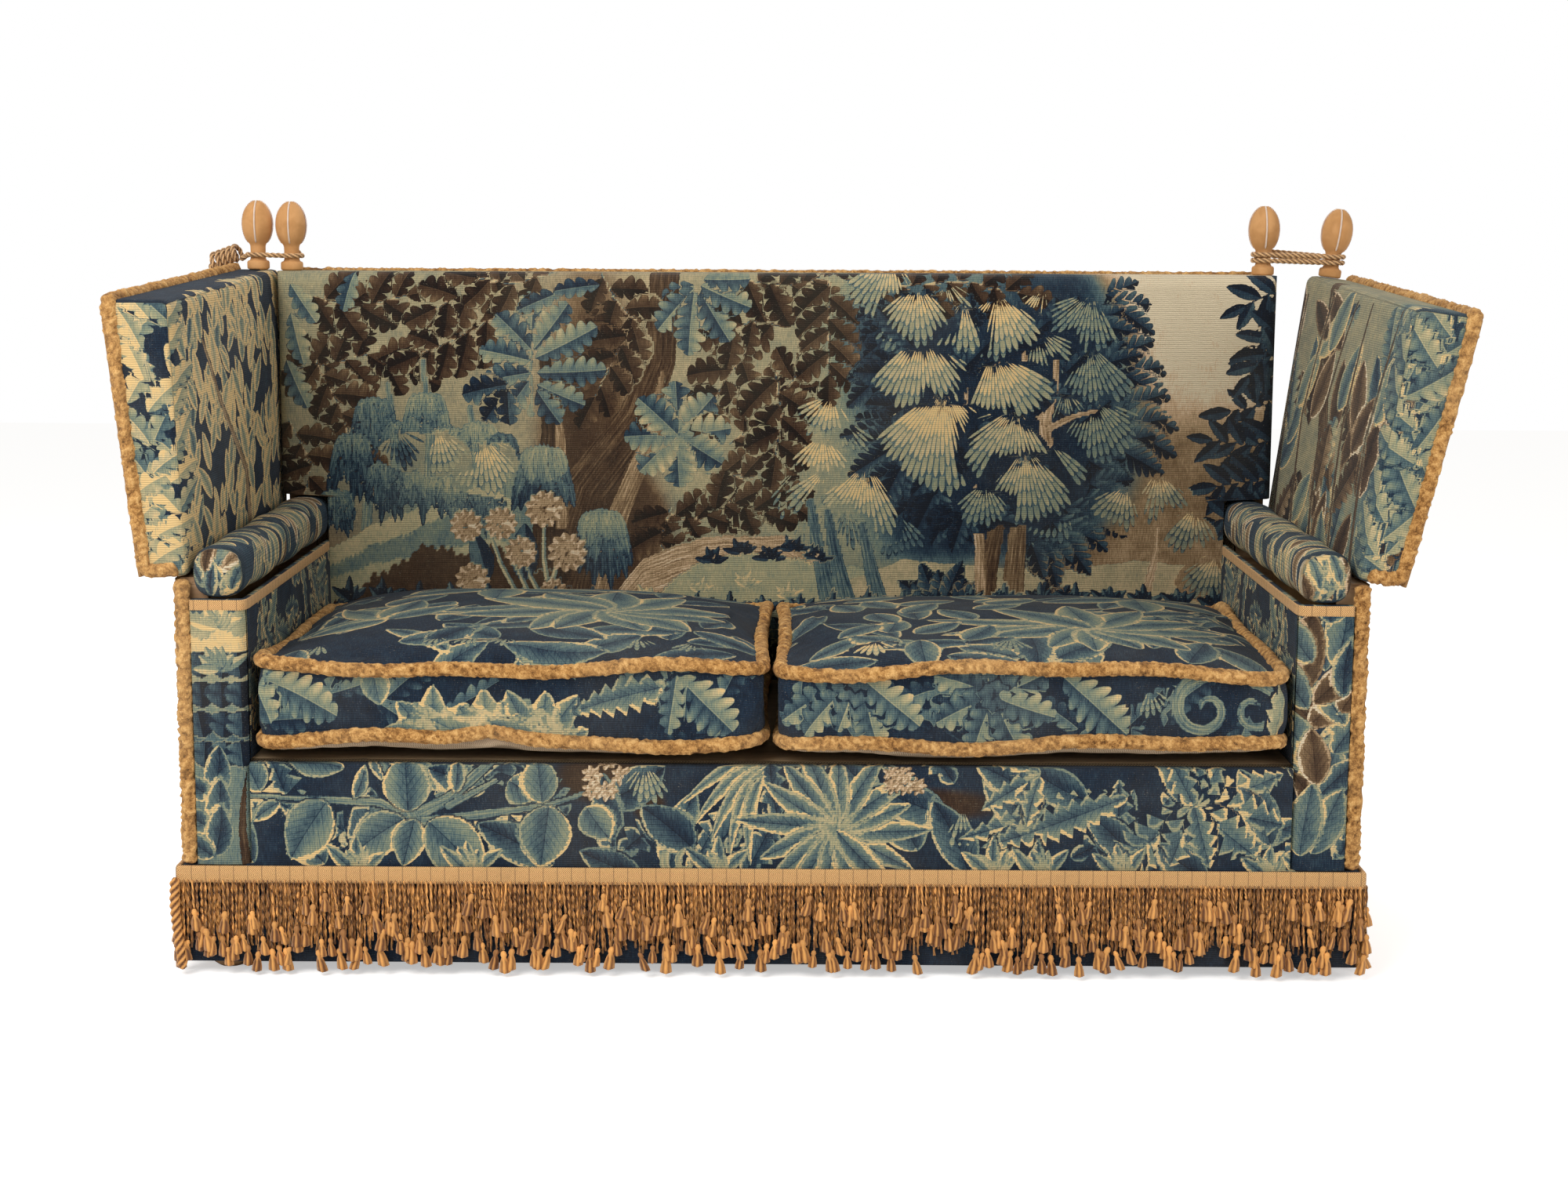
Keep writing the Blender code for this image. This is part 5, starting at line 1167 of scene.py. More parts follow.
def draw_back(c):
    """A park with a spreading tree, in centimetres across from the middle and up from the floor.

    Pale sky with dark oak boughs, blue oak sprays, a brown trunk, blossoms, a path, small trees, and one
    great tree.
    """
    washes = (
        (-75, 92, 16, 14, 0.70, 0.10), (-72, 72, 14, 12, 0.66, 0.15), (-50, 84, 18, 14, 0.72, 0.15),
        (-28, 92, 14, 10, 0.76, 0.20), (-14, 84, 14, 16, 0.72, 0.10), (2, 80, 12, 16, 0.74, 0.10),
        (-60, 66, 14, 8, 0.60, 0.05), (-76, 58, 12, 8, 0.62, 0.30), (-50, 58, 16, 7, 0.50, 0.05),
        (10, 70, 10, 12, 0.66, 0.05), (28, 98, 12, 5, 0.82, 0.15), (66, 96, 9, 9, 1.05, 0.70),
        (69, 94, 8, 8, 1.05, 0.70),
        (72, 88, 8, 8, 1.02, 0.70), (60, 72, 7, 14, 0.74, 0.30), (72, 68, 9, 10, 0.62, 0.60),
        (66, 54, 13, 7, 0.66, 0.55), (45, 50, 16, 5, 0.66, 0.30), (-5, 54, 14, 4, 0.66, 0.10),
        (-20, 48, 20, 4, 0.52, 0.05), (10, 48, 18, 4, 0.56, 0.10), (34, 76, 14, 14, 0.20, 0.00),
    )
    for x, z, wide, high, tone, hue in washes:
        c.wash((x * CM, z * CM), (wide * CM, high * CM), tone, hue + 0.33 * (tone > 0.5), 1.0)
    for x, z, wide, high in ((36, 92, 12, 6), (38, 80, 12, 8), (40, 68, 11, 8), (50, 90, 7, 7),
                             (52, 74, 7, 8), (24, 88, 7, 9), (28, 70, 7, 8)):
        c.wash((x * CM, z * CM), (wide * CM, high * CM), 0.12, 0.0, 5.0)
    for x, z, wide, high in ((-34, 74, 4, 12), (-31, 88, 4, 8), (-28, 58, 5, 8)):
        c.wash((x * CM, z * CM), (wide * CM, high * CM), 0.24, 1.0, 4.0)
    bark = {"hue": 1.0, "look": 5.35}
    # the brown trunk and the dark slope at its foot
    limb(c, ((-39, 44), (-36, 56), (-33, 66), (-24, 78), (-20, 88), (-19, 104)), (17, 12, 8, 6.5, 5.5, 5),
         0.34, 1.0, 5.3)
    limb(c, ((-30, 50), (-27, 62), (-21, 76), (-19.5, 86)), (4, 3.6, 3, 1), 0.62, **bark)
    limb(c, ((-39, 52), (-39, 66), (-38.5, 76), (-39.5, 88)), (7, 5, 3.5, 2), 0.20, 1.0, 5.3)
    limb(c, ((-37, 60), (-37, 74), (-38, 84)), (2.2, 1.8, 1), 0.62, **bark)
    oak = {"hue": 1.0, "look": 2.1}
    size = (0.080, 0.056)
    boughs = (
        cm((-86, 86), (-78, 87), (-70, 89), (-63, 86)),
        cm((-80, 99), (-72, 97), (-63, 99)),
        cm((-79, 88), (-75, 80), (-72, 70)),
        cm((-47, 96), (-54, 92), (-61, 89)),
        cm((-46, 97), (-52, 100), (-58, 97)),
        cm((-38, 103), (-45, 101), (-51, 102)),
        cm((-30, 103), (-27, 98), (-29, 92), (-33, 88)),
        cm((-28, 99), (-24, 95), (-28, 88), (-31, 82)),
        cm((-4, 91), (-8, 86), (-12, 79)),
        cm((2, 94), (-4, 95), (-9, 93)),
        cm((-8, 74), (0, 80), (4, 87)),
        cm((-12, 69), (-4, 68), (2, 64)),
        cm((-20, 62), (-13, 61), (-8, 64), (-2, 62)),
        cm((-18, 63), (-20, 57), (-18, 52)),
        cm((-84, 78), (-80, 70), (-82, 62)),
        cm((-6, 102), (2, 101), (10, 103)),
        cm((12, 102), (22, 101), (32, 102), (41, 100)),
        cm((9, 102), (9, 94), (9, 86)),
        cm((0, 86), (1, 79), (0, 72)),
    )
    for k, line in enumerate(boughs):
        c.bough(line, 0.040, size, 56, 0.0035, (0.74, 0.1), 0.01, tone=0.17 + 0.03 * (k % 3), **oak)
    # misty trees on the left
    for x, foot, top in ((-66, 60, 84), (-60, 62, 88), (-52, 60, 80), (-48, 60, 76), (-71, 58, 72)):
        c.stem(cm((x, foot - 4), (x + 0.6, (foot + top) / 2), (x - 0.5, top)), np.array([2.2, 1.6, 1.0]) * CM,
               0.56, 0.05, 5.3)
    # ground: misty slopes, a dark hill, an ochre path
    c.bank(cm((-78, 55), (-66, 61), (-52, 66), (-45, 64)), 0.66, 0.25, 0.2, 0.004, 0.010)
    c.bank(cm((-78, 52), (-66, 57), (-54, 62), (-44, 62)), 0.40, 0.0, 0.2, 0.006, 0.008)
    c.bank(cm((-78, 50), (-64, 54), (-50, 57), (-44, 56)), 0.62, 0.30, 0.2, 0.005, 0.009)
    c.bank(cm((-80, 44), (-70, 49), (-62, 55), (-56, 54.5), (-50, 55), (-44, 53), (-34, 47), (-24, 46)), 0.13,
           1.0, 0.2, 0.012, 0.017)
    c.bank(cm((-29, 46), (-23, 54), (-12, 58), (2, 58), (8, 55)), 0.72, 0.75, 5.6, 0.002, 0.006)
    c.bank(cm((-22, 46), (-14, 53), (-4, 55), (8, 53), (18, 52)), 0.58, 0.10, 0.2, 0.004, 0.008)
    c.bank(cm((12, 50), (22, 54), (34, 53), (48, 52), (62, 54), (87, 52)), 0.64, 0.45, 0.2, 0.002, 0.009)
    # the great tree's dark foliage
    for foot, tip in GREAT_TREE_FRONDS:
        c.frond((foot[0] * CM, foot[1] * CM), (tip[0] * CM, tip[1] * CM), 0.15)
    for line in (cm((88, 100), (84, 100), (80, 98)), cm((88, 93), (85, 93), (82, 91)),
                 cm((88, 84), (84, 81), (78, 80)),
                 cm((88, 76), (82, 74), (75, 75)), cm((88, 68), (82, 68), (76, 67)),
                 cm((88, 60), (82, 62), (76, 61)),
                 cm((88, 88), (84, 90), (81, 86))):
        c.bough(line, 0.025, (0.070, 0.027), 50, 0.003, (0.16, 0.0), tone=0.14, hue=0.1, look=0.15)
    limb(c, ((64, 47), (66, 56), (66, 66)), (1.4, 1.2, 0.8), 0.80, 0.8, 5.3)
    for x, z, wide in ((66, 68, 9), (72, 62, 8), (60, 66, 8), (76, 54, 9)):
        c.plume((x * CM, z * CM), wide * CM, (0.40, 0.52, 0.86), 0.4)
    c.layer = "near"
    # blue oak sprays
    limb(c, ((-42.1, 79), (-42.3, 86), (-41.6, 93)), (1.3, 1.0, 0.8), 0.66, 0.0, 5.2)
    for base, heading, length, width, tone in SPRAY_LEAVES:
        c.leaf((base[0] * CM, base[1] * CM), heading, length * CM, width * CM, 0.05, tone, 0.0, 2.4)
    for k, heading in enumerate((90, 45, 5, 325, 270, 222, 180, 135)):
        c.leaf((-0.169, 0.755), heading, 0.092, 0.064, 0.04, 0.42 + 0.06 * (k % 3), 0.0, 2.4)
    for x, z, wide, high, tones in (
        (-69, 82, 9, 12, (0.40, 0.62)), (-64, 78, 10, 13, (0.36, 0.66)), (-60, 83, 9, 12, (0.46, 0.72)),
        (-56, 77, 10, 12, (0.42, 0.70)), (-51, 78, 9, 12, (0.46, 0.80)), (-73, 76, 8, 13, (0.34, 0.58)),
        (-67, 71, 9, 11, (0.34, 0.60)), (-61, 70, 9, 10, (0.44, 0.72)), (-55, 69, 9, 9, (0.48, 0.84)),
        (-50, 68, 8, 10, (0.40, 0.62)), (-47, 76, 7, 12, (0.30, 0.50)), (-76, 66, 8, 9, (0.36, 0.64)),
    ):
        c.tuft((x * CM, z * CM), wide * CM, high * CM, tones)
    plumes(c, (
        (-50, 73, 10, (0.52, 0.68, 0.88)), (-58, 75, 8, (0.50, 0.64, 0.80)), (-65, 75, 7, (0.12, 0.18, 0.26)),
        (11, 77, 9, (0.40, 0.50, 0.60)), (4, 68, 9, (0.34, 0.46, 0.60)), (21, 61, 8, (0.20, 0.28, 0.36)),
        (6, 62, 9, (0.34, 0.46, 0.58)), (9, 81, 8, (0.46, 0.66, 1.00)), (8, 74, 9, (0.48, 0.74, 1.00)),
        (8, 68, 9, (0.46, 0.64, 0.82)), (15, 68, 13, (0.46, 0.66, 0.92)), (12, 62, 8, (0.18, 0.28, 0.40)),
    ))
    for x, bottom, top in ((6, 46, 64), (9, 46, 62), (15, 45, 60)):
        c.stem(cm((x + 3.5, bottom), (x + 1.5, (bottom + top) / 2), (x, top)), np.array([3.4, 2.4, 1.4]) * CM,
               0.42, 0.0, 5.7)
    # the great tree's trunks and branches, and its lit foliage
    plumes(c, (
        (19, 104, 11, (0.44, 0.60, 0.80)), (29, 100, 10, (0.42, 0.56, 0.70)),
        (45, 99, 11, (0.46, 0.62, 0.76)),
        (53, 98, 11, (0.34, 0.44, 0.52)), (22.5, 96, 9, (0.36, 0.46, 0.56)), (34, 91, 9, (0.36, 0.46, 0.56)),
        (45, 92, 10, (0.38, 0.50, 0.60)), (54, 89, 11, (0.32, 0.42, 0.50)), (49, 82, 9, (0.36, 0.46, 0.54)),
        (55, 80, 11, (0.32, 0.44, 0.54)), (29, 73, 10, (0.34, 0.44, 0.54)), (47, 73, 10, (0.34, 0.46, 0.58)),
        (41, 63, 9, (0.28, 0.38, 0.48)), (48, 65, 10, (0.26, 0.36, 0.46)), (36, 72, 9, (0.34, 0.44, 0.54)),
    ))
    for line, widths, tone in TREE_STEMS:
        limb(c, line, widths, tone, **bark)
    plumes(c, (
        (25, 90.5, 14, (0.46, 0.66, 0.86)), (38, 87.5, 13, (0.46, 0.68, 0.88)),
        (28.5, 80.5, 17, (0.48, 0.72, 1.00)),
        (40.5, 78, 13, (0.44, 0.62, 0.76)), (43, 71, 13, (0.40, 0.58, 0.76)),
        (38, 98, 11, (0.48, 0.72, 1.00)),
        (31.5, 97, 9, (0.46, 0.64, 0.82)), (24, 99.5, 10, (0.46, 0.66, 0.90)),
        (36, 66, 8, (0.34, 0.46, 0.58)),
    ))
    for x, z in ((-40, 74), (-30, 63)):
        c.tuft((x * CM, z * CM), 0.11, 0.15, (0.34, 0.84))
    # blossoms and their stalks
    c.leaf((-0.44, 0.50), 80, 0.10, 0.05, 0.1, 0.22, 0.0, 0.2)
    c.leaf((-0.50, 0.50), 100, 0.09, 0.04, 0.1, 0.25, 0.0, 0.2)
    for foot, head in (((-39, 46), (-40, 62)), ((-44, 46), (-50, 60)), ((-42, 46), (-47, 60)),
                       ((-40, 46), (-44, 56)), ((-39, 48), (-36, 56))):
        c.stem(cm(foot, ((foot[0] + head[0]) / 2 - 0.6, (foot[1] + head[1]) / 2), head),
               np.array([1.0, 0.8, 0.6]) * CM, 0.70, 0.1, 0.2)
    for x, z, size in ((-40, 62.5, 0.034), (-53.5, 59.5, 0.030), (-47.5, 60, 0.030), (-44, 55, 0.030),
                       (-36, 55, 0.036), (-52.5, 50, 0.032), (-38.5, 48, 0.026)):
        c.bloom((x * CM, z * CM), size)
    for x, z in ((-11, 53.5), (-6, 55), (-1, 54), (3, 55.5), (7, 54)):
        c.cluster((x * CM, z * CM), 7, 0.030, 0.011, 0, 180, tones=(0.12, 0.22), look=0.1)
    for x, z in ((-22, 46.5), (-13, 48), (-5, 49), (2, 47)):
        c.cluster((x * CM, z * CM), 6, 0.032, 0.010, 20, 140, tones=(0.80, 0.95), look=0.1, hue=0.2)
    # the strip that the seat cushions hide
    for k in range(230):
        at = (c.random.uniform(-86, 86), c.random.uniform(29, 39.5))
        size = c.random.uniform(6, 8.5)
        leaves(c, at, [(c.random.uniform(40, 140), size, 0.52 * size, 0.1)], c.random.uniform(0.16, 0.40),
               0.0, 2.4)
    for x in range(-74, 86, 6):
        c.cluster((x * CM, 0.452 + 0.01 * math.sin(x)), 5, 0.040, 0.014, 25, 130, tones=(0.14, 0.40),
                  look=0.2)


def border(cloth):
    """The tapestry border over the front rail: a flat panel, wider below, where it passes behind the
    fringe."""
    def half(z):
        """Half the border's width at a height."""
        return np.where(z > HEADING_TOP, INNER_HALF_WIDTH, 0.878)

    def face(x, z):
        """How far the border stands out: slow shallow waves."""
        return 0.0004 + 0.0010 * np.sin(9 * x + 20 * z) ** 2

    points, faces = panel(half, 0.018, 0.322, face, (0.0026, 0.0026), [0.012, 0.0197])
    piece = make("front_border_tapestry", points, faces, cloth, "frame", ["front_border"])
    drawing = Cartoon(points[:, 0], points[:, 2] + points[:, 1], 12)
    draw_border(drawing)
    mark(piece, **drawing.marks())


def leaves(c, base, rows, tone=0.50, hue=0.0, look=1.9):
    """Leaves from one base: (heading, length, width, bend) in degrees and centimetres."""
    for k, (heading, length, width, bend) in enumerate(rows):
        c.leaf((base[0] * CM, base[1] * CM), heading, length * CM, width * CM, bend,
               tone + 0.03 * (k % 3 - 1), hue, look)


def draw_border(c):
    """A navy border of big leaves, in centimetres: a leafy branch, scrolls, a palm, and a fan of toothed
    leaves."""
    for x in range(-90, 91, 9):
        c.wash((x * CM, 0.24), (0.06, 0.09), 0.14 + 0.03 * math.sin(1.7 * x), 0.05, 1.0)
    for x, z, wide, high, tone in ((-25, 30, 5, 3, 0.25), (24, 26.5, 8, 2, 0.24), (-18, 26, 2, 2, 0.2),
                                   (-84, 22, 3, 5, 0.3)):
        c.wash((x * CM, z * CM), (wide * CM, high * CM), tone, 1.0, 4.0)
    c.random = np.random.default_rng(61)
    for k in range(64):
        at = (-86 + 2.7 * k + c.random.uniform(-2, 2), c.random.uniform(15, 33))
        leaves(c, at, [(c.random.uniform(20, 160), c.random.uniform(8, 13), c.random.uniform(4.4, 6.6),
                        c.random.uniform(-0.2, 0.2))],
               c.random.uniform(0.32, 0.44), 0.0, 1.9 if k % 3 else 3.9)
    stalk = {"tone": 0.56, "hue": 0.1, "look": 5.2}
    limb(c, ((-80, 27.6), (-68, 26.9), (-58, 26.4), (-53.8, 24)), (0.8, 1.0, 1.4, 1.8), **stalk)
    limb(c, ((-53.8, 24), (-47.8, 27.2), (-43, 31.5), (-40, 34)), (2.0, 1.8, 1.5, 1.2), **stalk)
    limb(c, ((-48, 26), (-40.8, 30)), (1.2, 0.8), **stalk)
    limb(c, ((-53.8, 23.3), (-40, 25.2), (-33, 26.2), (-26, 28.6)), (1.6, 1.2, 1.0, 0.6), **stalk)
    limb(c, ((-53, 24), (-56, 29), (-58, 34)), (1.8, 1.5, 1.2), **stalk)
    for base, heading, length, width, bend in (
        ((-76, 28), 110, 7, 5, 0.1), ((-72, 34), 345, 9, 5.5, 0.0), ((-66, 26.6), 232, 10.5, 7.6, 0.1),
        ((-78, 27), 250, 6, 3.0, 0.2), ((-54.5, 24), 208, 10, 6.5, 0.12), ((-53, 24), 255, 7.5, 5.0, 0.0),
        ((-54, 25), 92, 9, 7.2, 0.0), ((-51, 23.6), 318, 12, 8.5, -0.1), ((-39, 30), 325, 5.0, 5.6, 0.0),
        ((-34, 26.4), 95, 7.5, 5.6, 0.0), ((-33, 26.2), 262, 9.5, 8.0, 0.0), ((-27.5, 26), 300, 6, 5.4, 0.1),
        ((-62, 27), 60, 5.5, 2.4, 0.2), ((-47, 28), 75, 6, 2.6, 0.2), ((-73, 26.5), 205, 5, 2.6, 0.2),
    ):
        c.leaf((base[0] * CM, base[1] * CM), heading, length * CM, width * CM, bend, 0.50, 0.0, 1.95)
    c.layer = "near"
    for k in range(5):
        c.bloom(((-26.5 + 2.2 * (k % 3)) * CM, (28.4 + 2.4 * (k // 2)) * CM), 0.017, 0.84, 0.7, 7)
    c.plume((-0.185, 0.315), 0.065, (0.44, 0.52, 0.62))
    c.plume((0.285, 0.25), 0.06, (0.44, 0.50, 0.56))
    c.curl((-0.124, 0.175), 0.036, 1.5, 1, 160)
    c.curl((-0.055, 0.205), 0.022, 1.3, -1, 60)
    for k in range(5):
        c.leaf((-0.01, 0.335 - 0.006 * k), 186 + 13 * k, 0.13, 0.022, 0.45, 0.62, 0.15, 1.8)
    leaves(c, (9.6, 22.8), [(-28 + 22.5 * k, 13.5 + 1.5 * math.sin(2.3 * k), 3.4,
                             0.10 * math.sin(1.4 * k)) for k in range(16)], 0.52)
    leaves(c, (53, 28), [(192, 26, 6.0, 0.05), (203, 23, 6.0, -0.05)], 0.52, 0.0, 3.9)
    leaves(c, (62.9, 26.7), [(222, 21, 8.0, -0.05), (250, 10, 6.5, 0.0), (15, 14, 6.0, 0.1),
                             (-12, 14, 8.0, 0.0), (-42, 14, 7.0, 0.05),
                             (60, 8, 5.0, 0.0), (88, 7, 4.0, 0.0), (118, 8, 4.5, 0.0), (285, 10, 5.0, 0.0)],
           0.50, 0.0, 3.9)
    leaves(c, (40, 31), [(150, 9, 4.5, 0.0), (205, 10, 4.0, 0.1), (250, 8, 3.5, 0.1)], 0.54, 0.1, 3.9)
    for k in range(5):
        c.bloom(((18 + 1.9 * (k % 3)) * CM, (29.5 + 1.8 * (k // 3)) * CM), 0.015, 0.80, 0.75, 7)
    for x in (-62, -45, -8, 33, 40, 52, 74, 80):
        c.cluster((x * CM, 0.155), 5, 0.06, 0.022, 35, 110, tones=(0.46, 0.60), look=1.8)


def covered(c, count, size, tones=(0.45, 0.62), hue=0.0, look=3.9, spread=(0, 360), seed=3, ground=0.15,
            ground_hue=0.1):
    """Leaf sprays scattered over a panel on a plain ground, far ones first."""
    pick = np.random.default_rng(seed)
    low, high = np.array([c.p.min(), c.q.min()]), np.array([c.p.max(), c.q.max()])
    c.wash((low + high) / 2, (high - low) * 3, ground, ground_hue, 1.0)
    for layer, share in (("far", 0.45), ("near", 0.55)):
        c.layer = layer
        for _ in range(round(count * share)):
            at = low + (high - low) * pick.random(2)
            heading = pick.uniform(*spread)
            long = size * pick.uniform(0.7, 1.2)
            warm = hue if np.isscalar(hue) else pick.choice(hue)
            tone = pick.uniform(*tones)
            c.leaf(at, heading, long, long * pick.uniform(0.4, 0.6), pick.uniform(-0.25, 0.25), tone, warm,
                   look)


def arm_front(side, cloth):
    """The narrow tapestry panel up the front of an arm."""
    sign = SIDES[side]

    def face(x, z):
        """How far the arm's front stands out: rounded at its inner edge, a little hollow."""
        inner = np.abs(x) - 0.775
        hollow = 0.0018 * np.sin(np.pi * np.clip((np.abs(x) - 0.775) / 0.08, 0, 1))
        return swell(np.maximum(inner, 0), 0.014) - hollow

    points, faces = panel(lambda z: 0.0401 + 0 * z, HEADING_TOP, ARM_PAD_TOP, face, (0.0022, 0.0026),
                          [0.010, 0.0172],
                          sign * ARM_FRONT_X)
    piece = make(f"{side}_arm_front_tapestry", points, faces, cloth, "frame",
                 [f"{side}_arm_front"])
    drawing = Cartoon(points[:, 0] - sign * ARM_FRONT_X, points[:, 2], 21 + sign)
    if side == "left":
        draw_left_arm(drawing)
    else:
        covered(drawing, 34, 0.105, (0.32, 0.50), [0.0, 0.0, 0.0, 0.9], 1.8, (30, 150), 6, 0.20, 0.3)
    mark(piece, **drawing.marks())


def draw_left_arm(c):
    """A scrap of landscape up the left arm's front: pale jagged ground above, then navy scallops, in
    centimetres."""
    c.random = np.random.default_rng(26)
    c.wash((0, 0.36), (9, 9), 0.15, 0.05)
    c.wash((0, 0.505), (0.09, 0.045), 0.58, 0.15, 3.0)
    for z, tone, hue in ((54.5, 0.60, 0.1), (51.5, 0.84, 0.3), (47.5, 0.56, 0.1), (42.5, 0.44, 0.0),
                         (38.0, 0.26, 0.0), (33.5, 0.38, 0.0)):
        line = [(x, z + 0.9 * math.sin(0.9 * x + z)) for x in (-4.6, -2.0, 0.5, 3.0, 4.6)]
        c.bank(cm(*line), tone, hue, 0.2, 0.006, 0.010)
    for z in (45, 40.5, 36, 31.5):
        for x in (-2.6, 0.4, 3.2):
            leaves(c, (x, z), [(c.random.uniform(80, 100), 4.2, 5.0, 0.0)], 0.15 + 0.10 * c.random.random(),
                   0.0, 2.2)
    c.layer = "near"
    for z, tone in ((52.5, 0.86), (46.2, 0.70)):
        c.cluster((0.0, z * CM), 7, 0.045, 0.016, 10, 170, tones=(tone, tone + 0.08), look=0.2, hue=0.3)
    limb(c, ((3.6, 31), (3.0, 26), (2.8, 22), (3.2, 17)), (0.1, 0.8, 1.1, 1.3), 0.34, 1.0, 5.3)
    for z in (27, 22, 18):
        leaves(c, (-1.5, z), [(70, 8, 4.4, 0.2), (150, 6, 3.6, -0.1)], 0.40, 0.0, 1.9)


def arm_inner(side, cloth):
    """The pad down an arm's inner side, from the roll to the seat deck."""
    sign = SIDES[side]
    ys, zs = stations(0.018, ARM_PAD_REAR, 0.006), stations(PAD_BOTTOM, ARM_PAD_TOP, 0.006)
    y, z = np.meshgrid(ys, zs, indexing="ij")
    arch = np.clip(np.sin(np.pi * (y - 0.018) / 0.68), 0,
                   1) * np.clip(np.sin(np.pi * (z - PAD_BOTTOM) / 0.242), 0, 1)
    crown = 0.004 * arch**0.5
    front = np.stack([sign * (INNER_HALF_WIDTH - crown), y, z], -1).reshape(-1, 3)
    loop = edge_loop(len(ys), len(zs))
    ring = front[loop].copy()
    ring[:, 0] = sign * (ARM_IN - 0.0004)
    points, faces = loop_faces(front, grid_faces(len(ys), len(zs)).tolist(), loop, [ring])
    piece = make(f"{side}_arm_inner_tapestry", points, faces, cloth, "frame",
                 [f"{side}_arm_inner_pad"])
    drawing = Cartoon(points[:, 1], points[:, 2], 31 + sign)
    covered(drawing, 60, 0.10, (0.42, 0.62), 0.0, 3.8, (0, 180), 8)
    mark(piece, **drawing.marks())


def arm_roll(side, cloth):
    """The padded arm top: a rounded section carried from a domed front end to the back post."""
    sign = SIDES[side]
    low, high = np.array([0.777, 0.568]), np.array([0.8525, 0.645])
    middle, reach = (low + high) / 2, (high - low) / 2
    angle = turns(88)
    square = 2.6
    ring = np.stack([squared(np.cos(angle), 2 / square), squared(np.sin(angle), 2 / square)], 1)
    cap = np.linspace(0.04, 1, 13)[:-1]
    cap_y = -0.010 + 0.032 * (1 - np.sqrt(1 - cap**2.6))
    along = np.linspace(0.022, ARM_PAD_REAR, 230)
    share = np.concatenate([cap, np.ones(len(along))])
    y = np.concatenate([cap_y, along])
    slack = 0.0016 * np.sin(31 * y[:, None] + 2 * angle[None, :]) * np.clip(y[:, None] / 0.1, 0, 1)
    points = np.empty((len(y), len(ring), 3))
    points[..., 0] = sign * (middle[0] + ring[:, 0] * reach[0] * share[:, None] + slack * ring[:, 0])
    points[..., 2] = middle[1] + ring[:, 1] * reach[1] * share[:, None] + slack * ring[:, 1]
    points[..., 1] = y[:, None]
    faces = tube_faces(len(y), 88)
    piece = make(f"{side}_arm_top_tapestry", points, faces, cloth, "frame",
                 [f"{side}_arm_top_pad"])
    arc = angle * 0.036
    p = np.where(share[:, None] < 1, points[..., 0] * sign, y[:, None] + 2)
    q = np.where(share[:, None] < 1, points[..., 2], arc[None, :])
    drawing = Cartoon(p.ravel(), q.ravel(), 41 + sign)
    pick = np.random.default_rng(50 + sign)
    drawing.wash((1.5, 0.3), (9, 9), 0.26, 0.15)
    for layer in ("far", "near"):
        drawing.layer = layer
        for _ in range(70):
            heading, long = pick.uniform(60, 120) * pick.choice([1, -1]), pick.uniform(0.05, 0.09)
            drawing.leaf((pick.uniform(2.0, 2.72), pick.uniform(0, 0.226)), heading, long, long * 0.42, 0.1,
                         pick.uniform(0.46, 0.80), pick.choice([0.0, 0.0, 0.8]), 1.8)
        for _ in range(14):
            drawing.leaf((0.78 + 0.07 * pick.random(), 0.57 + 0.07 * pick.random()), pick.uniform(40, 140),
                         0.055, 0.022,
                         0.1, pick.uniform(0.35, 0.75), pick.choice([0.0, 0.0, 0.8]), 1.8)
    mark(piece, **drawing.marks())


def wing(side, cloth, outside):
    """A wing's pad of tapestry round its front and inner face, and the velvet slab over its outer face."""
    xs, ys = stations(0, 1, 0.09), stations(0, WING_REAR_Y, 0.0042)
    zs = stations(0, 1, 0.0042 / WING_HEIGHT)
    points, faces, place = box_lattice(xs, ys, zs)
    y, x_share, z_share = points[:, 1], points[:, 0], points[:, 2]
    flat = np.stack([0.10 * x_share, y, 0.42 * z_share], 1)
    flat = rounded(flat, (0, 0, 0), (0.10, WING_REAR_Y, 0.42), (0.016, 0.016, 0.016))
    y, h = flat[:, 1], flat[:, 2] / 0.42 * (wing_high(flat[:, 1]) - 0.001) + 0.001
    inner, outer = wing_in(y, h), wing_out(y, h) - 0.0064
    x = inner + flat[:, 0] / 0.10 * (outer - inner)
    shape = np.stack([x, y, WING_BOTTOM + h], 1)
    front, top = place[:, 1] == 0, place[:, 2] == len(zs) - 1
    rear = place[:, 1] == len(ys) - 1
    p = np.where(front, -(x - 0.86), 0.6 * y + np.where(rear, x - inner, 0))
    q = np.where(top & ~front, 0.42 + (x - 0.86), h)
    drawing = Cartoon(p, q, 61 + SIDES[side])
    draw_wing(drawing, side)
    piece = make(f"{side}_wing_tapestry", hung(shape, side), faces, cloth, f"{side}_wing",
                 [f"{side}_wing_pad"])
    mark(piece, **drawing.marks())
    ys, zs = stations(0, 1, 0.02), stations(0, 1, 0.035)
    points, faces, place = box_lattice(np.array([0.0, 0.5, 1.0]), ys, zs)
    flat = rounded(points * (VELVET_THICK, WING_REAR_Y, 0.4), (0, 0, 0), (VELVET_THICK, WING_REAR_Y, 0.4),
                   (0.003, 0.003, 0.003))
    y, h = flat[:, 1], flat[:, 2] / 0.4 * (wing_high(flat[:, 1]) - 0.006) + 0.0002
    arch = np.sin(np.pi * np.clip(y / WING_REAR_Y, 0, 1)) * np.sin(np.pi * np.clip(h / wing_high(y), 0, 1))
    plump = 0.0035 * np.clip(arch, 0, 1) ** 0.6 * (flat[:, 0] > 0.003)
    shape = np.stack([wing_out(y, h) - VELVET_THICK + flat[:, 0] + plump, y, WING_BOTTOM + h], 1)
    make(f"{side}_wing_outside_velvet", hung(shape, side), faces, outside, f"{side}_wing",
         [f"{side}_wing_outer_cover"])


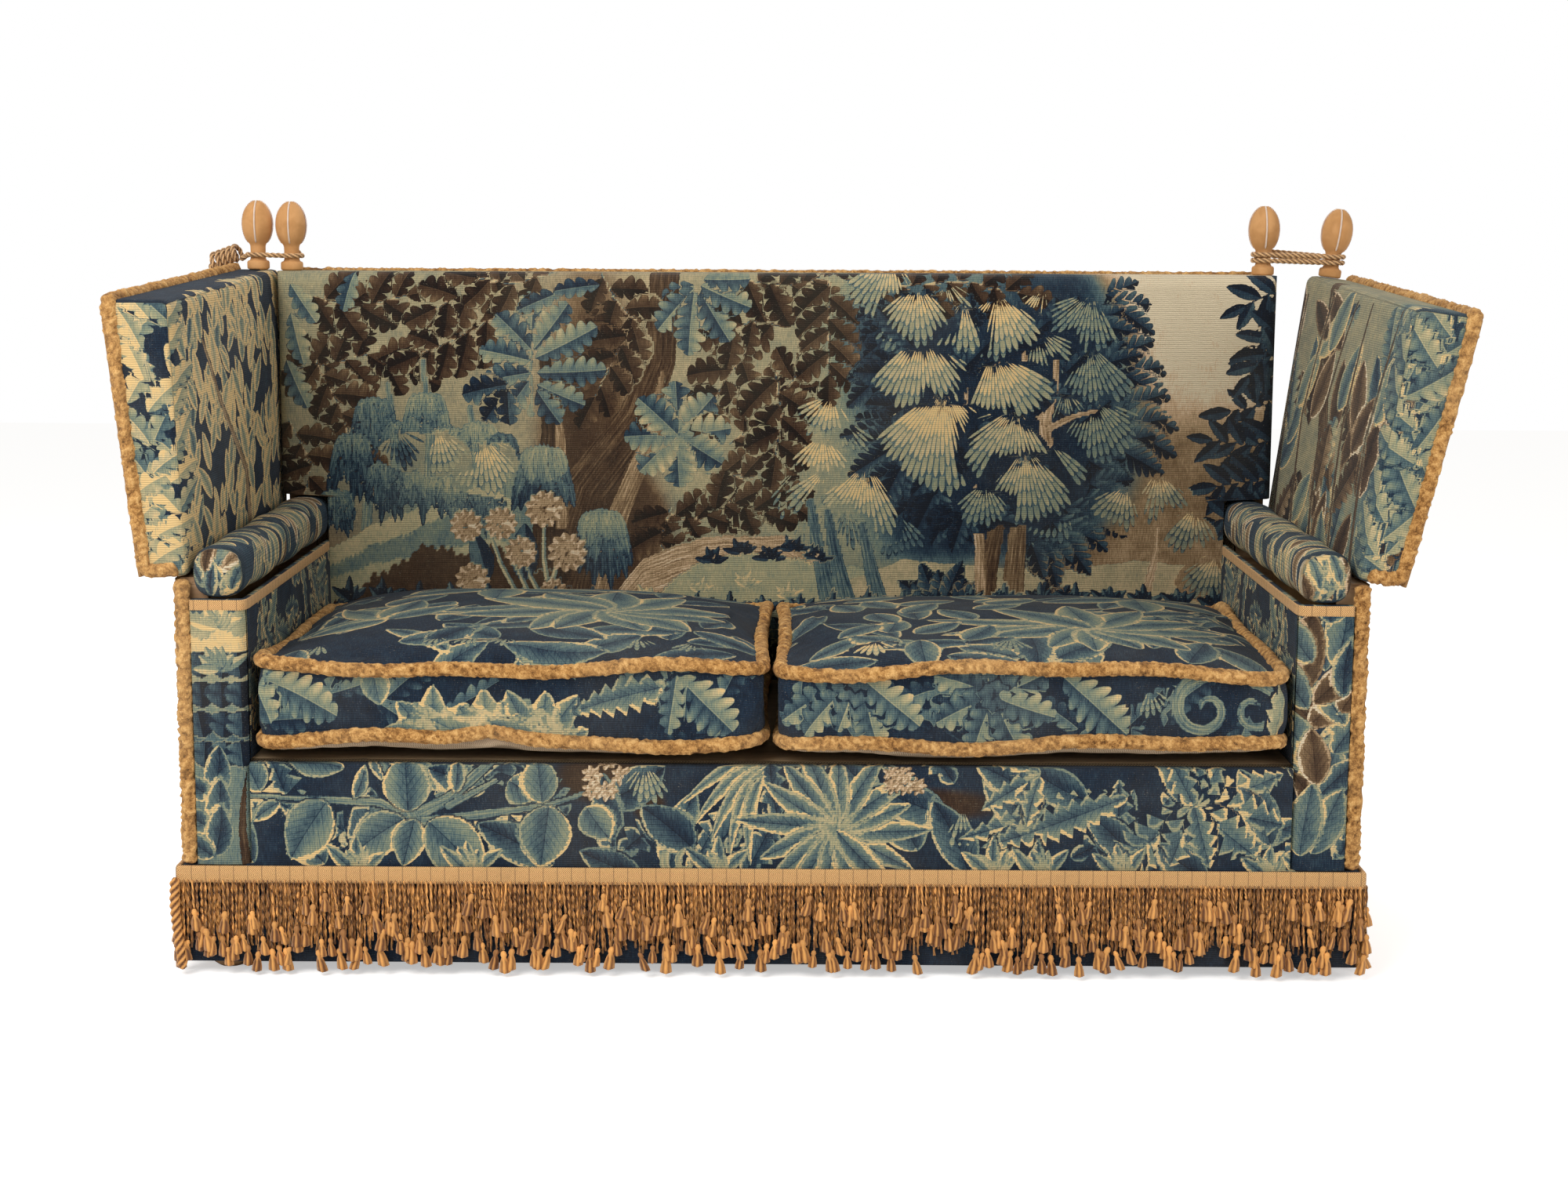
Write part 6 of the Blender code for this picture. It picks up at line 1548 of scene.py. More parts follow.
def draw_left_wing(c):
    """Slender pale leaves crowding a navy ground on the inner face, and a bough of lobed leaves up the front.
    Their paleness is partly the pattern and partly painted light, for a face that the lamps leave in shade."""
    # Partly painted light: these leaf tones are raised so that the shaded inner face looks as bright as a lit
    # one.
    for layer, tone, count in (("far", 0.66, 140), ("near", 0.84, 130)):
        c.layer = layer
        for k in range(count):
            foot = (c.random.uniform(0.005, 0.46), c.random.uniform(-0.06, 0.40))
            length = c.random.uniform(0.045, 0.080)
            heading = c.random.uniform(60, 125)
            c.leaf(foot, heading, length, 0.36 * length, c.random.uniform(-0.25, 0.25),
                   tone + c.random.uniform(-0.14, 0.14), 0.0, 1.95)
        limb(c, ((26, 0), (24, 12), (15, 24), (10, 34)), (1.6, 1.3, 1.0, 0.6), 0.66, 0.9, 5.3)
        for k in range(30):
            foot = (-0.012 - 0.034 * (k % 3) + c.random.uniform(-0.008, 0.008),
                    0.045 * (k // 3) - 0.04 + 0.012 * (k % 3))
            turn = c.random.choice((-1, 1)) * c.random.uniform(15, 55)
            c.leaf(foot, 90 + turn, 0.072, 0.038, 0.006 * turn,
                   (0.86 if layer == "near" else 0.62) + c.random.uniform(-0.1, 0.1), 0.0, 2.44)


def draw_right_wing(c):
    """Lobed leaf boughs rising up the front and inner face, with two brown trunks behind them."""
    limb(c, ((20, 0), (22, 15), (28, 30), (32, 44)), (5, 4, 3.2, 2.6), 0.40, 1.0, 5.5)
    limb(c, ((46, 0), (44, 15), (50, 30), (52, 44)), (4, 3.4, 3.0, 2.6), 0.34, 1.0, 5.5)
    for layer, tone in (("far", 0.46), ("near", 0.60)):
        c.layer = layer
        for k in range(34):
            foot = (c.random.uniform(-0.01, 0.45), c.random.uniform(-0.08, 0.34))
            brown = k % 2 == 1
            heading, length = c.random.uniform(40, 140), c.random.uniform(0.10, 0.14)
            bend = c.random.uniform(-0.15, 0.15)
            shade = tone - 0.20 * brown + c.random.uniform(-0.13, 0.13)
            c.leaf(foot, heading, length, 0.46 * length, bend, shade, 0.9 * brown, 1.95 if k % 3 else 2.44)
        for k in range(5):
            foot = (0.04 + 0.09 * k, -0.02)
            line = [foot, (foot[0] + 0.03, 0.2), (foot[0] + 0.02 * math.sin(2 * k), 0.40)]
            c.stem(line, [0.010, 0.007, 0.004], 0.40, 1.0, 5.2)
        for k in range(6):
            foot = (-0.045 + 0.03 * math.sin(2 * k), 0.07 * k - 0.03)
            line = [foot, (foot[0] + 0.02 * math.cos(2 * k), foot[1] + 0.10)]
            c.bough(line, 0.044, (0.100, 0.052), 48, 0.005, (0.72, 0.2), tone=tone, hue=0.0, look=2.42)


def draw_wing(c, side):
    """A wing's ground, navy on its front, under that wing's own leaves."""
    c.random = np.random.default_rng(70 + SIDES[side])
    tone, hue = (0.15, 0.05) if side == "left" else (0.68, 0.45)
    c.wash((0.3, 0.2), (9, 9), tone, hue)
    c.wash((-0.05, 0.2), (0.06, 0.9), 0.13, 0.05, 6.0)
    draw_leaves = draw_left_wing if side == "left" else draw_right_wing
    draw_leaves(c)


# Cushions


PUCKER_X = -0.414


def seam_waver(x, y, side, level):
    """How a cushion's edges wander: slow waves along each seam, different for each cushion and seam. The
    left one's lower front edge is caught up in a peak, and each top seam sinks towards the rear."""
    phase = {"left": 0.6, "right": 2.4}[side] + (1.9 if level else 0.0)
    run = 9.0 * x + 7.0 * y
    peak = np.exp(-np.abs((x - PUCKER_X) / 0.055) ** 1.6) * np.clip(1 - (y + 0.012) / 0.10, 0, 1)
    caught = 0.020 * peak if side == "left" and not level else 0.0
    sunk = 0.012 * np.clip((y - 0.50) / 0.137, 0, 1) ** 2 * level
    return 0.0056 * np.sin(run + phase) + 0.0036 * np.sin(2.3 * run + 2 * phase) + caught - 1.7 * sunk


def cushion_shape(side):
    """A seat cushion as a box lattice: crowned top and bottom, its sides bulging between two seams and
    pulled in between the corners."""
    xs, ys = stations(-1, 1, 0.0205, 0.03, 3), stations(-1, 1, 0.0235, 0.03, 3)
    rise = CROWN[side]
    zs = np.linspace(-1, 1, 13)
    points, faces, place = box_lattice(xs, ys, zs)
    u, v, w = points.T
    top, bottom = place[:, 2] == len(zs) - 1, place[:, 2] == 0
    corner = 0.045
    half = np.array([0.3757, 0.3245])
    flat = np.stack([u * half[0], v * half[1]], 1)
    inset = np.clip(flat, -half + corner, half - corner)
    away = flat - inset
    both = (np.abs(away) > 0).all(1)
    length = np.maximum(np.linalg.norm(away, axis=1), 1e-9)
    reach = np.abs(away).max(1)
    flat = np.where(both[:, None], inset + away / length[:, None] * reach[:, None], flat)
    pull = 0.010
    flat[:, 0] -= np.sign(u) * pull * (1 - v**2) * np.abs(u) ** 3
    flat[:, 1] -= np.sign(v) * pull * (1 - u**2) * np.abs(v) ** 3
    dome = (np.clip(1 - np.abs(u) ** 2.6, 0, 1) * np.clip(1 - np.abs(v) ** 2.6, 0, 1)) ** 0.42
    bulge = 0.007 * (1 - w**2)
    edge = np.maximum(np.abs(u), np.abs(v))
    from_pucker = (u * half[0] + SIDES[side] * CUSHION_X - PUCKER_X) / 0.020
    pinch = 0.010 * np.exp(-(from_pucker**2)) * (v < -0.999) * (1 - w) / 2
    bulge = bulge - pinch * (side == "left")
    scale = 1 + bulge / half.min() * (edge > 0.999)
    flat *= scale[:, None]
    z = (TOP_SEAM + BOTTOM_SEAM) / 2 + w * (TOP_SEAM - BOTTOM_SEAM) / 2
    sag = (BOTTOM_SEAM - DECK_TOP - 0.0004) * np.minimum(1, dome**0.45 * 1.3)
    z = z + np.where(top, rise * dome, 0) - np.where(bottom, sag, 0)
    middle = np.array([SIDES[side] * CUSHION_X, CUSHION_Y])
    x, y = flat[:, 0] + middle[0], flat[:, 1] + middle[1]
    high_waver = seam_waver(x, y, side, 1) * np.clip(w, 0, 1) * (1 - dome)
    low_waver = seam_waver(x, y, side, 0) * np.clip(-w, 0, 1) * (1 - dome)
    z = z + high_waver + low_waver
    return np.stack([x, y, z], 1), faces, place, (len(xs), len(ys), len(zs))


def filled(points, faces, held, cap, pressure=4.0, frames=20):
    """Cloth filled by pressure for a few frames: the points move with it, at most by the cap, and held
    ones stay."""
    mesh = bpy.data.meshes.new("filling")
    mesh.from_pydata(points, [], faces)
    cover = bpy.data.objects.new("filling", mesh)
    bpy.context.scene.collection.objects.link(cover)
    pins = cover.vertex_groups.new(name="held")
    pins.add(np.flatnonzero(held).tolist(), 1.0, "REPLACE")
    cloth = cover.modifiers.new("cloth", "CLOTH")
    cloth.settings.use_pressure = True
    cloth.settings.uniform_pressure_force = pressure
    cloth.settings.effector_weights.gravity = 0
    cloth.settings.quality = 6
    cloth.settings.mass = 0.4
    cloth.settings.bending_stiffness = 0.6
    cloth.settings.shrink_min = -0.035
    cloth.settings.vertex_group_mass = "held"
    cloth.settings.pin_stiffness = 0.6
    cloth.collision_settings.use_collision = False
    scene = bpy.context.scene
    for number in range(1, frames + 1):
        scene.frame_set(number)
    seen = cover.evaluated_get(bpy.context.evaluated_depsgraph_get())
    moved = np.empty(len(points) * 3)
    seen.data.vertices.foreach_get("co", moved)
    shift = moved.reshape(-1, 3) - points
    length = np.linalg.norm(shift, axis=1)[:, None]
    shift = shift * (cap * np.tanh(length / cap) / np.maximum(length, 1e-9))
    bpy.data.objects.remove(cover)
    bpy.data.meshes.remove(mesh)
    scene.frame_set(1)
    return points + shift


def cushion(side, cloth, under, wool):
    """A loose seat cushion: filled cloth with tapestry on top and round its border, plain cloth
    underneath, and a looped ruche along each seam."""
    points, faces, place, shape = cushion_shape(side)
    ring = ((place[:, :2] == 0) | (place[:, :2] == np.array(shape[:2]) - 1)).any(1)
    seams = ring & ((place[:, 2] == 0) | (place[:, 2] == shape[2] - 1))
    rest = points.copy()
    points = filled(points + ORIGIN, faces, seams, 0.012) - ORIGIN
    points[:, 2] = np.maximum(points[:, 2], DECK_TOP + 0.0003)
    points[:, 0] = SIDES[side] * np.clip(np.abs(points[:, 0]), 0.0006, 0.7705)
    low, high = place[:, 2] == 0, place[:, 2] == shape[2] - 1
    piece = make(f"{side}_cushion_cover", points, faces, [cloth, under], f"{side}_cushion",
                 [f"{side}_seat_cushion"])
    piece.data.polygons.foreach_set("material_index", low[faces].all(1).astype(np.int32))
    detail = piece.modifiers.new("finer cloth", "SUBSURF")
    detail.levels = detail.render_levels = 1
    front_edge = -0.012
    p = rest[:, 0]
    q = np.where(high & ~ring, 1.0 + rest[:, 1] - front_edge, rest[:, 2])
    q = np.where(ring & high, 1.0 + rest[:, 1] - front_edge, q)
    sides = (place[:, 0] == 0) | (place[:, 0] == shape[0] - 1)
    p = np.where(sides & ~high, rest[:, 1] + 3 + place[:, 0], p)
    drawing = Cartoon(p, q, 81 + SIDES[side])
    draw_cushion(drawing, side)
    mark(piece, **drawing.marks())
    for level, name in ((shape[2] - 1, "top"), (0, "bottom")):
        line = ring_path(points, place, shape, level)
        line[:, 2] += 0.002 if level else -0.002
        line = softened(line, 2, True)
        if level == 0:
            line[:, 2] = np.maximum(line[:, 2], DECK_TOP + 0.0155)
        line[:, 0] = SIDES[side] * np.clip(np.abs(line[:, 0]), 0.0115, 0.7602)
        ruche(f"{side}_cushion_{name}_ruche_loops", line, 0.0106, f"{side}_cushion",
              [f"{side}_cushion_{name}_ruche"],
              wool, 100 + level + SIDES[side], True, 0.0024, 0.0046)


def draw_cushion(c, side):
    """Big gold-rimmed leaves on navy, in centimetres: the top lies beyond 100, the border runs from 36 to
    47."""
    c.wash((0, 0.5), (99, 99), 0.13, 0.05)
    for x in (-60, -25, 15, 48):
        c.wash((x * CM, 1.3), (0.10, 0.12), 0.17, 0.05, 1.0)
    c.random = np.random.default_rng(90 + SIDES[side])
    top, front = 101.2, 41.4
    for k in range(70):
        at = (SIDES[side] * c.random.uniform(1, 77), top + c.random.uniform(-4, 66))
        leaves(c, at, [(c.random.uniform(0, 360), c.random.uniform(10, 17), c.random.uniform(4.5, 7),
                        c.random.uniform(-0.2, 0.2))],
               c.random.uniform(0.34, 0.48), 0.0, 1.9)
    for k in range(26):
        at = (SIDES[side] * c.random.uniform(1, 77), c.random.uniform(35, 47))
        leaves(c, at, [(c.random.uniform(0, 360), c.random.uniform(6, 11), c.random.uniform(3, 5),
                        c.random.uniform(-0.2, 0.2))],
               c.random.uniform(0.30, 0.44), 0.0, 2.4)
    c.layer = "near"
    if side == "left":
        leaves(c, (-26, top + 26), [(178, 27, 8, 0.10), (200, 24, 8, -0.15), (225, 18, 8, 0.15),
                                    (250, 16, 7, -0.1), (290, 16, 8, 0.1),
                                    (325, 18, 9, -0.1), (350, 19, 8, 0.1), (20, 20, 8, -0.1),
                                    (50, 20, 8, 0.1), (90, 20, 9, 0.0),
                                    (125, 20, 9, 0.0), (152, 24, 9, 0.0)], 0.52, 0.0, 1.98)
        leaves(c, (-60, top + 20), [(185, 14, 6, 0.2), (215, 13, 6, -0.2), (120, 16, 7, 0.1),
                                    (80, 17, 7, 0.0), (45, 14, 6, 0.0)], 0.50, 0.0, 1.95)
        leaves(c, (-45, top + 50), [(200, 18, 7, 0.1), (340, 18, 7, 0.1), (270, 14, 8, 0.0)], 0.48, 0.0, 1.95)
        for x in (-68, -50, -45, -40, -20, -12):
            c.plume((x * CM, (top + 7) * CM), 0.05, (0.46, 0.50, 0.54))
        leaves(c, (-76.5, 46), [(-22, 14, 7, -0.1), (-70, 8, 5, 0.0)], 0.54, 0.0, 2.4)
        leaves(c, (-59, 47), [(282, 6, 4.5, 0.0)], 0.56, 0.0, 1.6)
        for x in (-50, -42, -34):
            c.cluster((x * CM, 0.352), 9, 0.085, 0.042, 15, 150, tones=(0.52, 0.66), look=1.85)
        c.layer = "near"
        leaves(c, (-14.5, 44.5), [(193, 15.5, 6.0, 0.05)], 0.58, 0.1, 3.9)
        leaves(c, (-14, 46), [(312, 12, 7.5, 0.05), (262, 9, 4.0, 0.0)], 0.52, 0.0, 2.4)
    else:
        leaves(c, (49, top + 17), [(160, 24, 5.5, 0.12), (172, 26, 5.5, -0.1), (186, 24, 5.5, 0.1),
                                   (205, 18, 6, -0.1), (232, 14, 5.5, 0.1),
                                   (262, 13, 5.5, 0.1), (300, 13, 6, 0.0), (332, 17, 7, -0.1),
                                   (2, 22, 7, 0.1), (28, 22, 7, 0.0), (60, 20, 7, 0.0),
                                   (95, 20, 7, 0.0), (130, 22, 7, 0.0)], 0.54, 0.1, 1.98)
        for k in range(22):
            at = (5 + 30 * c.random.random(), top + 5 + 52 * c.random.random())
            leaves(c, at, [(c.random.uniform(0, 360), 10.5, 5.6, 0.1)], 0.50, 0.0, 1.95)
        leaves(c, (60, top + 48), [(200, 18, 7, 0.1), (340, 16, 7, 0.1), (270, 14, 8, 0.0)], 0.50, 0.0, 1.95)
        c.plume((0.155, (top + 9) * CM), 0.06, (0.70, 0.80, 0.90))
        c.plume((0.36, (top + 9) * CM), 0.06, (0.44, 0.48, 0.52))
        leaves(c, (13, 46), [(205, 13, 5, 0.1), (222, 12, 4.5, 0.1), (250, 9, 4.0, 0.0), (285, 11, 6.0, 0.0),
                             (320, 12, 6.0, 0.0)], 0.56, 0.1, 2.4)
        c.layer = "near"
        leaves(c, (33, 43), [(20 + 45 * k, 9.5, 5.5, 0.1) for k in range(8)], 0.50, 0.0, 2.4)
        leaves(c, (43, 46), [(318, 13, 7.5, 0.0)], 0.52, 0.0, 2.4)
        c.plume((0.56, 0.435), 0.05, (0.44, 0.48, 0.52))
        c.curl((0.64, front * CM), 0.05, 1.2, 1, 90, 0.58, 0.1)
        c.curl((0.71, front * CM), 0.04, 1.2, -1, 90, 0.60, 0.1)
        leaves(c, (76, 46), [(255, 11, 4.5, 0.1)], 0.80, 0.3, 3.5)


def ring_path(points, place, shape, level):
    """The points round a lattice at one level, in order."""
    index = np.full(shape, -1)
    index[tuple(place.T)] = np.arange(len(place))
    ring = index[:, :, level]
    return points[np.concatenate([ring[:-1, 0], ring[-1, :-1], ring[:0:-1, -1], ring[0, :0:-1]])]


# Trimmings in place


def trimmings(wool, silk):
    """The ruches up the arms, round the wings and along the back, and the braids under the arm rolls."""
    for side, sign in SIDES.items():
        line = np.array([(sign * 0.867, 0.0060, z) for z in np.linspace(0.168, 0.598, 60)])
        ruche(f"{side}_arm_ruche_loops", line, 0.0116, "frame", [f"{side}_arm_ruche"], wool, 3 + sign)
        inner = [(wing_in(0, 0.0115) + 0.012, 0.004, 0.0115)]
        foot = wing_out(0, 0.0115) - 0.0115
        rise = [(wing_out(0, h) - 0.0115, 0.004, h) for h in np.linspace(0.0115, wing_high(0) - 0.004, 60)]
        over = [(wing_out(y, wing_high(y)) - 0.0115, y,
                 wing_high(y) - 0.002) for y in np.linspace(0.006, 0.742, 110)]
        line = np.array(inner + [(foot, 0.004, 0.0115)] + rise + over) + (0, 0, WING_BOTTOM)
        line = softened(spaced(line, 0.004), 4)
        ruche(f"{side}_wing_ruche_loops", hung(line, side), 0.0112, f"{side}_wing", [f"{side}_wing_ruche"],
              wool, 13 + sign)
        corner = [(sign * x, -0.0008, 0.56) for x in np.linspace(0.8550, 0.7790, 20)]
        corner += [(sign * 0.7735, -0.0008 + 0.006 * k, 0.56) for k in range(1, 3)]
        corner += [(sign * 0.7730, y, 0.56) for y in np.linspace(0.03, 0.644, 80)]
        line = softened(np.array(corner), 2)
        flat_braid(f"{side}_arm_braid_band", line if sign > 0 else line[::-1], 0.0155, 0.0032, "frame",
                   [f"{side}_arm_braid"], silk)
    line = np.array([(x, 0.7605, 1.0255) for x in np.linspace(-0.852, 0.852, 200)])
    ruche("back_ruche_loops", line, 0.0088, "frame", ["back_ruche"], wool, 23, False, 0.0022, 0.0044)


def base_path(out):
    """The rectangle round the base at a distance outside its faces."""
    half, front, rear = ARM_OUT + out, -out, BODY_DEPTH + out
    rect = np.array([(-half, front), (half, front), (half, rear), (-half, rear)])
    line = np.concatenate([np.linspace(a, b, 40, endpoint=False) for a, b in zip(rect, np.roll(rect, -1, 0))])
    return np.column_stack([line, 0 * line[:, :1]])


def yarn_lay(along, around, lift, shape):
    """How a set of yarns lie: the place along and round each yarn, and how far its strands stand out."""
    # The lift is turned by the yarn's material into painted highlight on strands and folds and painted shade
    # between them.
    return np.stack([np.broadcast_to(part, shape) for part in (along, around, lift)], -1).reshape(-1, 3)


def fringe(silk, threads):
    """The tasselled fringe round the base: a braided heading, fine twisted threads, and tiers of little
    tassels."""
    line = base_path(0.0045)
    line[:, 2] = HEADING_TOP - HEADING_HEIGHT / 2
    flat_braid("base_fringe_heading", line, HEADING_HEIGHT, 0.008, "frame", [], silk, True)
    pick = np.random.default_rng(7)
    fringe_threads(pick, threads)
    ends, heads = fringe_tassels(pick, threads)
    fringe_cords(pick, ends, heads, threads)
    tail_line = np.array([(-0.888, -0.010, 0.150), (-0.889, -0.013, 0.110), (-0.886, -0.014, 0.070),
                          (-0.880, -0.016, 0.030), (-0.879, -0.016, 0.010)])
    points, faces, marks = rope_tube(softened(spaced(tail_line, 0.003), 4), 0.0080, 24, 0.034)
    tail = make("corner_tail", points, faces, threads, "frame")
    mark(tail, **marks)


def fringe_threads(pick, threads):
    """Fine three-strand threads hanging side by side, swaying and ending unevenly, thinner at their feet."""
    foot = spaced(base_path(0.0042), 0.0040, True)
    count, rings = len(foot), 9
    share = np.linspace(0, 1, rings)
    low = 0.034 + 0.022 * pick.random(count)
    centres = np.repeat(foot[:, None], rings, 1)
    sway = pick.normal(0, 0.0030, (count, 2))
    wave = np.sin(share[None] * pick.uniform(4, 9, (count, 1)) + pick.uniform(0, 6, (count, 1))) * 0.0014
    centres[..., 0] += sway[:, :1] * share**1.5 + wave
    centres[..., 1] += np.abs(sway[:, 1:]) * -0.4 * share + wave * 0.5
    centres[..., 2] = FRINGE_TOP + (low[:, None] - FRINGE_TOP) * share
    thick = np.repeat(0.0023 * pick.uniform(0.8, 1.2, (count, 1)), rings, 1)
    twist = share * 9 + pick.uniform(0, 6, (count, 1))
    angle = np.arange(6) * np.pi / 3
    radii = thick[..., None] * (1 + 0.32 * np.cos(3 * angle))
    radii[:, -2:] *= 0.7
    points, faces = hanging(centres, radii, 6, twist)
    piece = make("base_fringe_threads", points, faces, threads, "frame", [])
    # The strands' lift gives painted highlight on each strand and painted shade between them.
    lay = yarn_lay((share * 0.14)[None, :, None], angle / 6, 0.56 + 0.20 * np.cos(3 * angle), radii.shape)
    mark(piece, lay=lay, tint=np.repeat(pick.uniform(0.15, 1.0, count), rings * 6))


def fringe_tassels(pick, threads):
    """Little turned tassels in five tiers, each with a head, a neck and a skirt of four folds. Gives back
    where their cords start, and the tassels' rings."""
    ends = spaced(base_path(0.0090), 0.0066, True)
    count = len(ends)
    tier = pick.choice(5, count, p=(0.14, 0.19, 0.21, 0.22, 0.24))
    drop = np.array([0.026, 0.048, 0.068, 0.086, 0.102])[tier] + pick.normal(0, 0.005, count)
    grow = pick.uniform(0.85, 1.15, (count, 1))
    profile = np.array([(0.0, 0.0012), (0.0020, 0.0036), (0.0060, 0.0046), (0.0095, 0.0032), (0.0150, 0.0046),
                        (0.0230, 0.0061), (0.0300, 0.0066), (0.0315, 0.0040)])
    fall, reach = profile.T
    drop = np.minimum(drop, FRINGE_TOP - 0.0045 - 0.0335 * grow[:, 0])
    sides, angle = 8, turns(8)
    skirt = (fall > 0.012)[None, :, None]
    folds = np.where(skirt, 1 + 0.20 * np.cos(4 * angle)[None, None], 1.0)
    radii = np.broadcast_to(reach[None, :, None], (count, len(profile), sides)) * folds * grow[..., None]
    sway = pick.normal(0, 0.0022, (count, 2))
    centres = np.repeat(ends[:, None], len(profile), 1)
    centres[..., 0] += sway[:, :1] + pick.normal(0, 0.14, (count, 1)) * fall
    centres[..., 1] += np.sign(ends[:, 1:2] - 0.38) * np.abs(sway[:, 1:])
    centres[..., 2] = FRINGE_TOP - drop[:, None] - fall * grow
    points, faces = hanging(centres, radii, sides)
    piece = make("base_fringe_tassels", points, faces, threads, "frame", ["base_fringe"])
    pale_heads = (fall < 0.011)[None] * 0.45 * (pick.random((count, 1)) < 0.30)
    head = pale_heads + pick.uniform(0.22, 0.80, (count, 1))
    # The skirt's folds get painted highlight on their crests and painted shade between them.
    lay = yarn_lay(fall[None, :, None], angle / 6, 0.58 + 0.42 * np.cos(4 * angle) * skirt, radii.shape)
    mark(piece, lay=lay, tint=np.repeat(head, sides, axis=1).ravel())
    return ends, centres


def fringe_cords(pick, ends, heads, threads):
    """The cords that the tassels hang from, with a pale knot here and there."""
    share = np.linspace(0, 1, 7)
    count, sides = len(ends), 4
    cords = ends[:, None] + (heads[:, :1] - ends[:, None]) * share[None, :, None] ** 1.5
    cords[..., 2] = FRINGE_TOP + (heads[:, :1, 2] + 0.001 - FRINGE_TOP) * share
    corner = np.arange(sides)
    radii = np.broadcast_to(0.0018 * (1 + 0.25 * np.cos(2 * corner * np.pi / 2)), (count, 7, sides))
    twist = share * 9 + pick.uniform(0, 6, (count, 1))
    points, faces = hanging(cords, radii, sides, twist)
    piece = make("base_fringe_cords", points, faces, threads, "frame", [])
    # The cord's strands get painted highlight on their crests and painted shade between them.
    lay = yarn_lay(share[None, :, None] * 0.1, corner * 0.25, 0.5 + 0.45 * np.cos(corner * np.pi),
                   radii.shape)
    knots = (pick.random((count, 7)) < 0.16) * 0.8 + pick.uniform(0.45, 1.0, (count, 1))
    mark(piece, lay=lay, tint=np.repeat(knots, sides, axis=1).ravel())


# Finials and ropes


def finial_places():
    """Name, body, place of the base, and side of each finial, with the wings closed."""
    rise = float(wing_high(FINIAL_Y + 0.019))
    for side, sign in SIDES.items():
        on_back = np.array([sign * BACK_FINIAL_X, FINIAL_Y, BACK_HEIGHT])
        on_wing = np.array([WING_FINIAL_X, FINIAL_Y, WING_BOTTOM + rise])
        yield f"{side}_back_finial", "frame", on_back, side, False
        yield f"{side}_wing_finial", f"{side}_wing", on_wing, side, True


def finials(cloth, cord):
    """Turned finials under plain velvet: a collar, a neck and an egg, with four twisted cords up the egg's
    seams."""
    outline = np.array([(0.0, 0.0004), (0.0, 0.0150), (0.0015, 0.0185), (0.004, 0.0190), (0.012, 0.0190),
                        (0.0148, 0.0178),
                        (0.016, 0.0145), (0.019, 0.0130), (0.030, 0.0128), (0.040, 0.0130), (0.0435, 0.0140),
                        (0.047, 0.0168),
                        (0.053, 0.0208), (0.060, 0.0236), (0.068, 0.0254), (0.077, 0.0262), (0.086, 0.0257),
                        (0.094, 0.0240),
                        (0.101, 0.0214), (0.107, 0.0178), (0.112, 0.0134), (0.1155, 0.0088), (0.1175, 0.0044),
                        (0.118, 0.0006)])
    angle = turns(48)
    seam = np.exp(-((np.abs((angle / (np.pi / 2) + 0.5) % 1 - 0.5) * np.pi / 2 / 0.12) ** 2))
    soft = 0.02 * np.sin(3 * angle)
    egg = np.clip((outline[:, 0] - 0.045) / 0.01, 0, 1)
    radii = outline[:, 1][:, None] * (1 - 0.045 * seam * egg[:, None] + soft * egg[:, None] * 0.3)
    shape = np.stack([radii * np.cos(angle), radii * np.sin(angle), np.repeat(outline[:, :1], 48, 1)], -1)
    faces = tube_faces(len(outline), 48)
    up = np.linspace(0.046, 0.1176, 60)
    reach = np.interp(up, outline[:, 0], outline[:, 1])
    for name, body, base, side, leaning in finial_places():
        def placed(points):
            """Points about the finial's foot, moved to where it stands."""
            points = points + base
            return hung(points, side) if leaning else points

        make(f"{name}_velvet", placed(shape), faces, cloth, body, [name])
        parts = []
        for k in range(4):
            way = k * math.pi / 2
            line = np.stack([reach * math.cos(way), reach * math.sin(way), up], 1)
            parts.append(rope_tube(spaced(placed(line), 0.0012), 0.0016, 10, 0.011, k * 0.1))
        points, loops, marks = joined(parts)
        piping = make(f"{name}_piping", points, loops, cord, body)
        mark(piping, **marks)


def rope_tube(path, radius, sides=24, pitch=0.030, tint=0.0, strands=3):
    """A laid rope along a path: the section is three round strands, turned by one turn a pitch."""
    offset, strand = 0.5359, 0.4641

    def section(run, angle):
        """The radius round the rope, as a share: a round strand bulges out at each even angle, turning
        with the run."""
        turn = angle - 2 * np.pi * run / pitch
        local = (turn + np.pi / strands) % (2 * np.pi / strands) - np.pi / strands
        root = np.sqrt(np.maximum(strand**2 - (offset * np.sin(local)) ** 2, 0))
        return radius * np.maximum(offset * np.cos(local) + root, 0.5)

    points, faces, _, run = swept(path, radius, sides, False, section)
    angle = turns(sides)
    turn = angle[None] - 2 * np.pi * run[:, None] / pitch
    # The strands' lift gives the rope painted highlight on each strand and painted shade between them.
    lift = 0.5 + 0.5 * np.cos(strands * turn)
    around = turn / (2 * np.pi) * 3
    lay = np.stack(np.broadcast_arrays(run[:, None] + 0 * lift, around * 0.02, lift), -1).reshape(-1, 3)
    return points, faces, {"lay": lay, "tint": np.full(len(lay), 0.5 + tint)}


def neck_arc(centre, sign, start, end, steps=8, lean=0.0):
    """Points round a neck; degrees, 0 outwards and 90 to the rear."""
    radius = FINIAL_NECK + ROPE_RADIUS + 0.0006 + ROPE_RADIUS * math.sin(math.radians(lean))
    angle = np.radians(np.linspace(start, end, steps + 1))
    return centre + np.stack([sign * radius * np.cos(angle), radius * np.sin(angle), 0 * angle], 1)


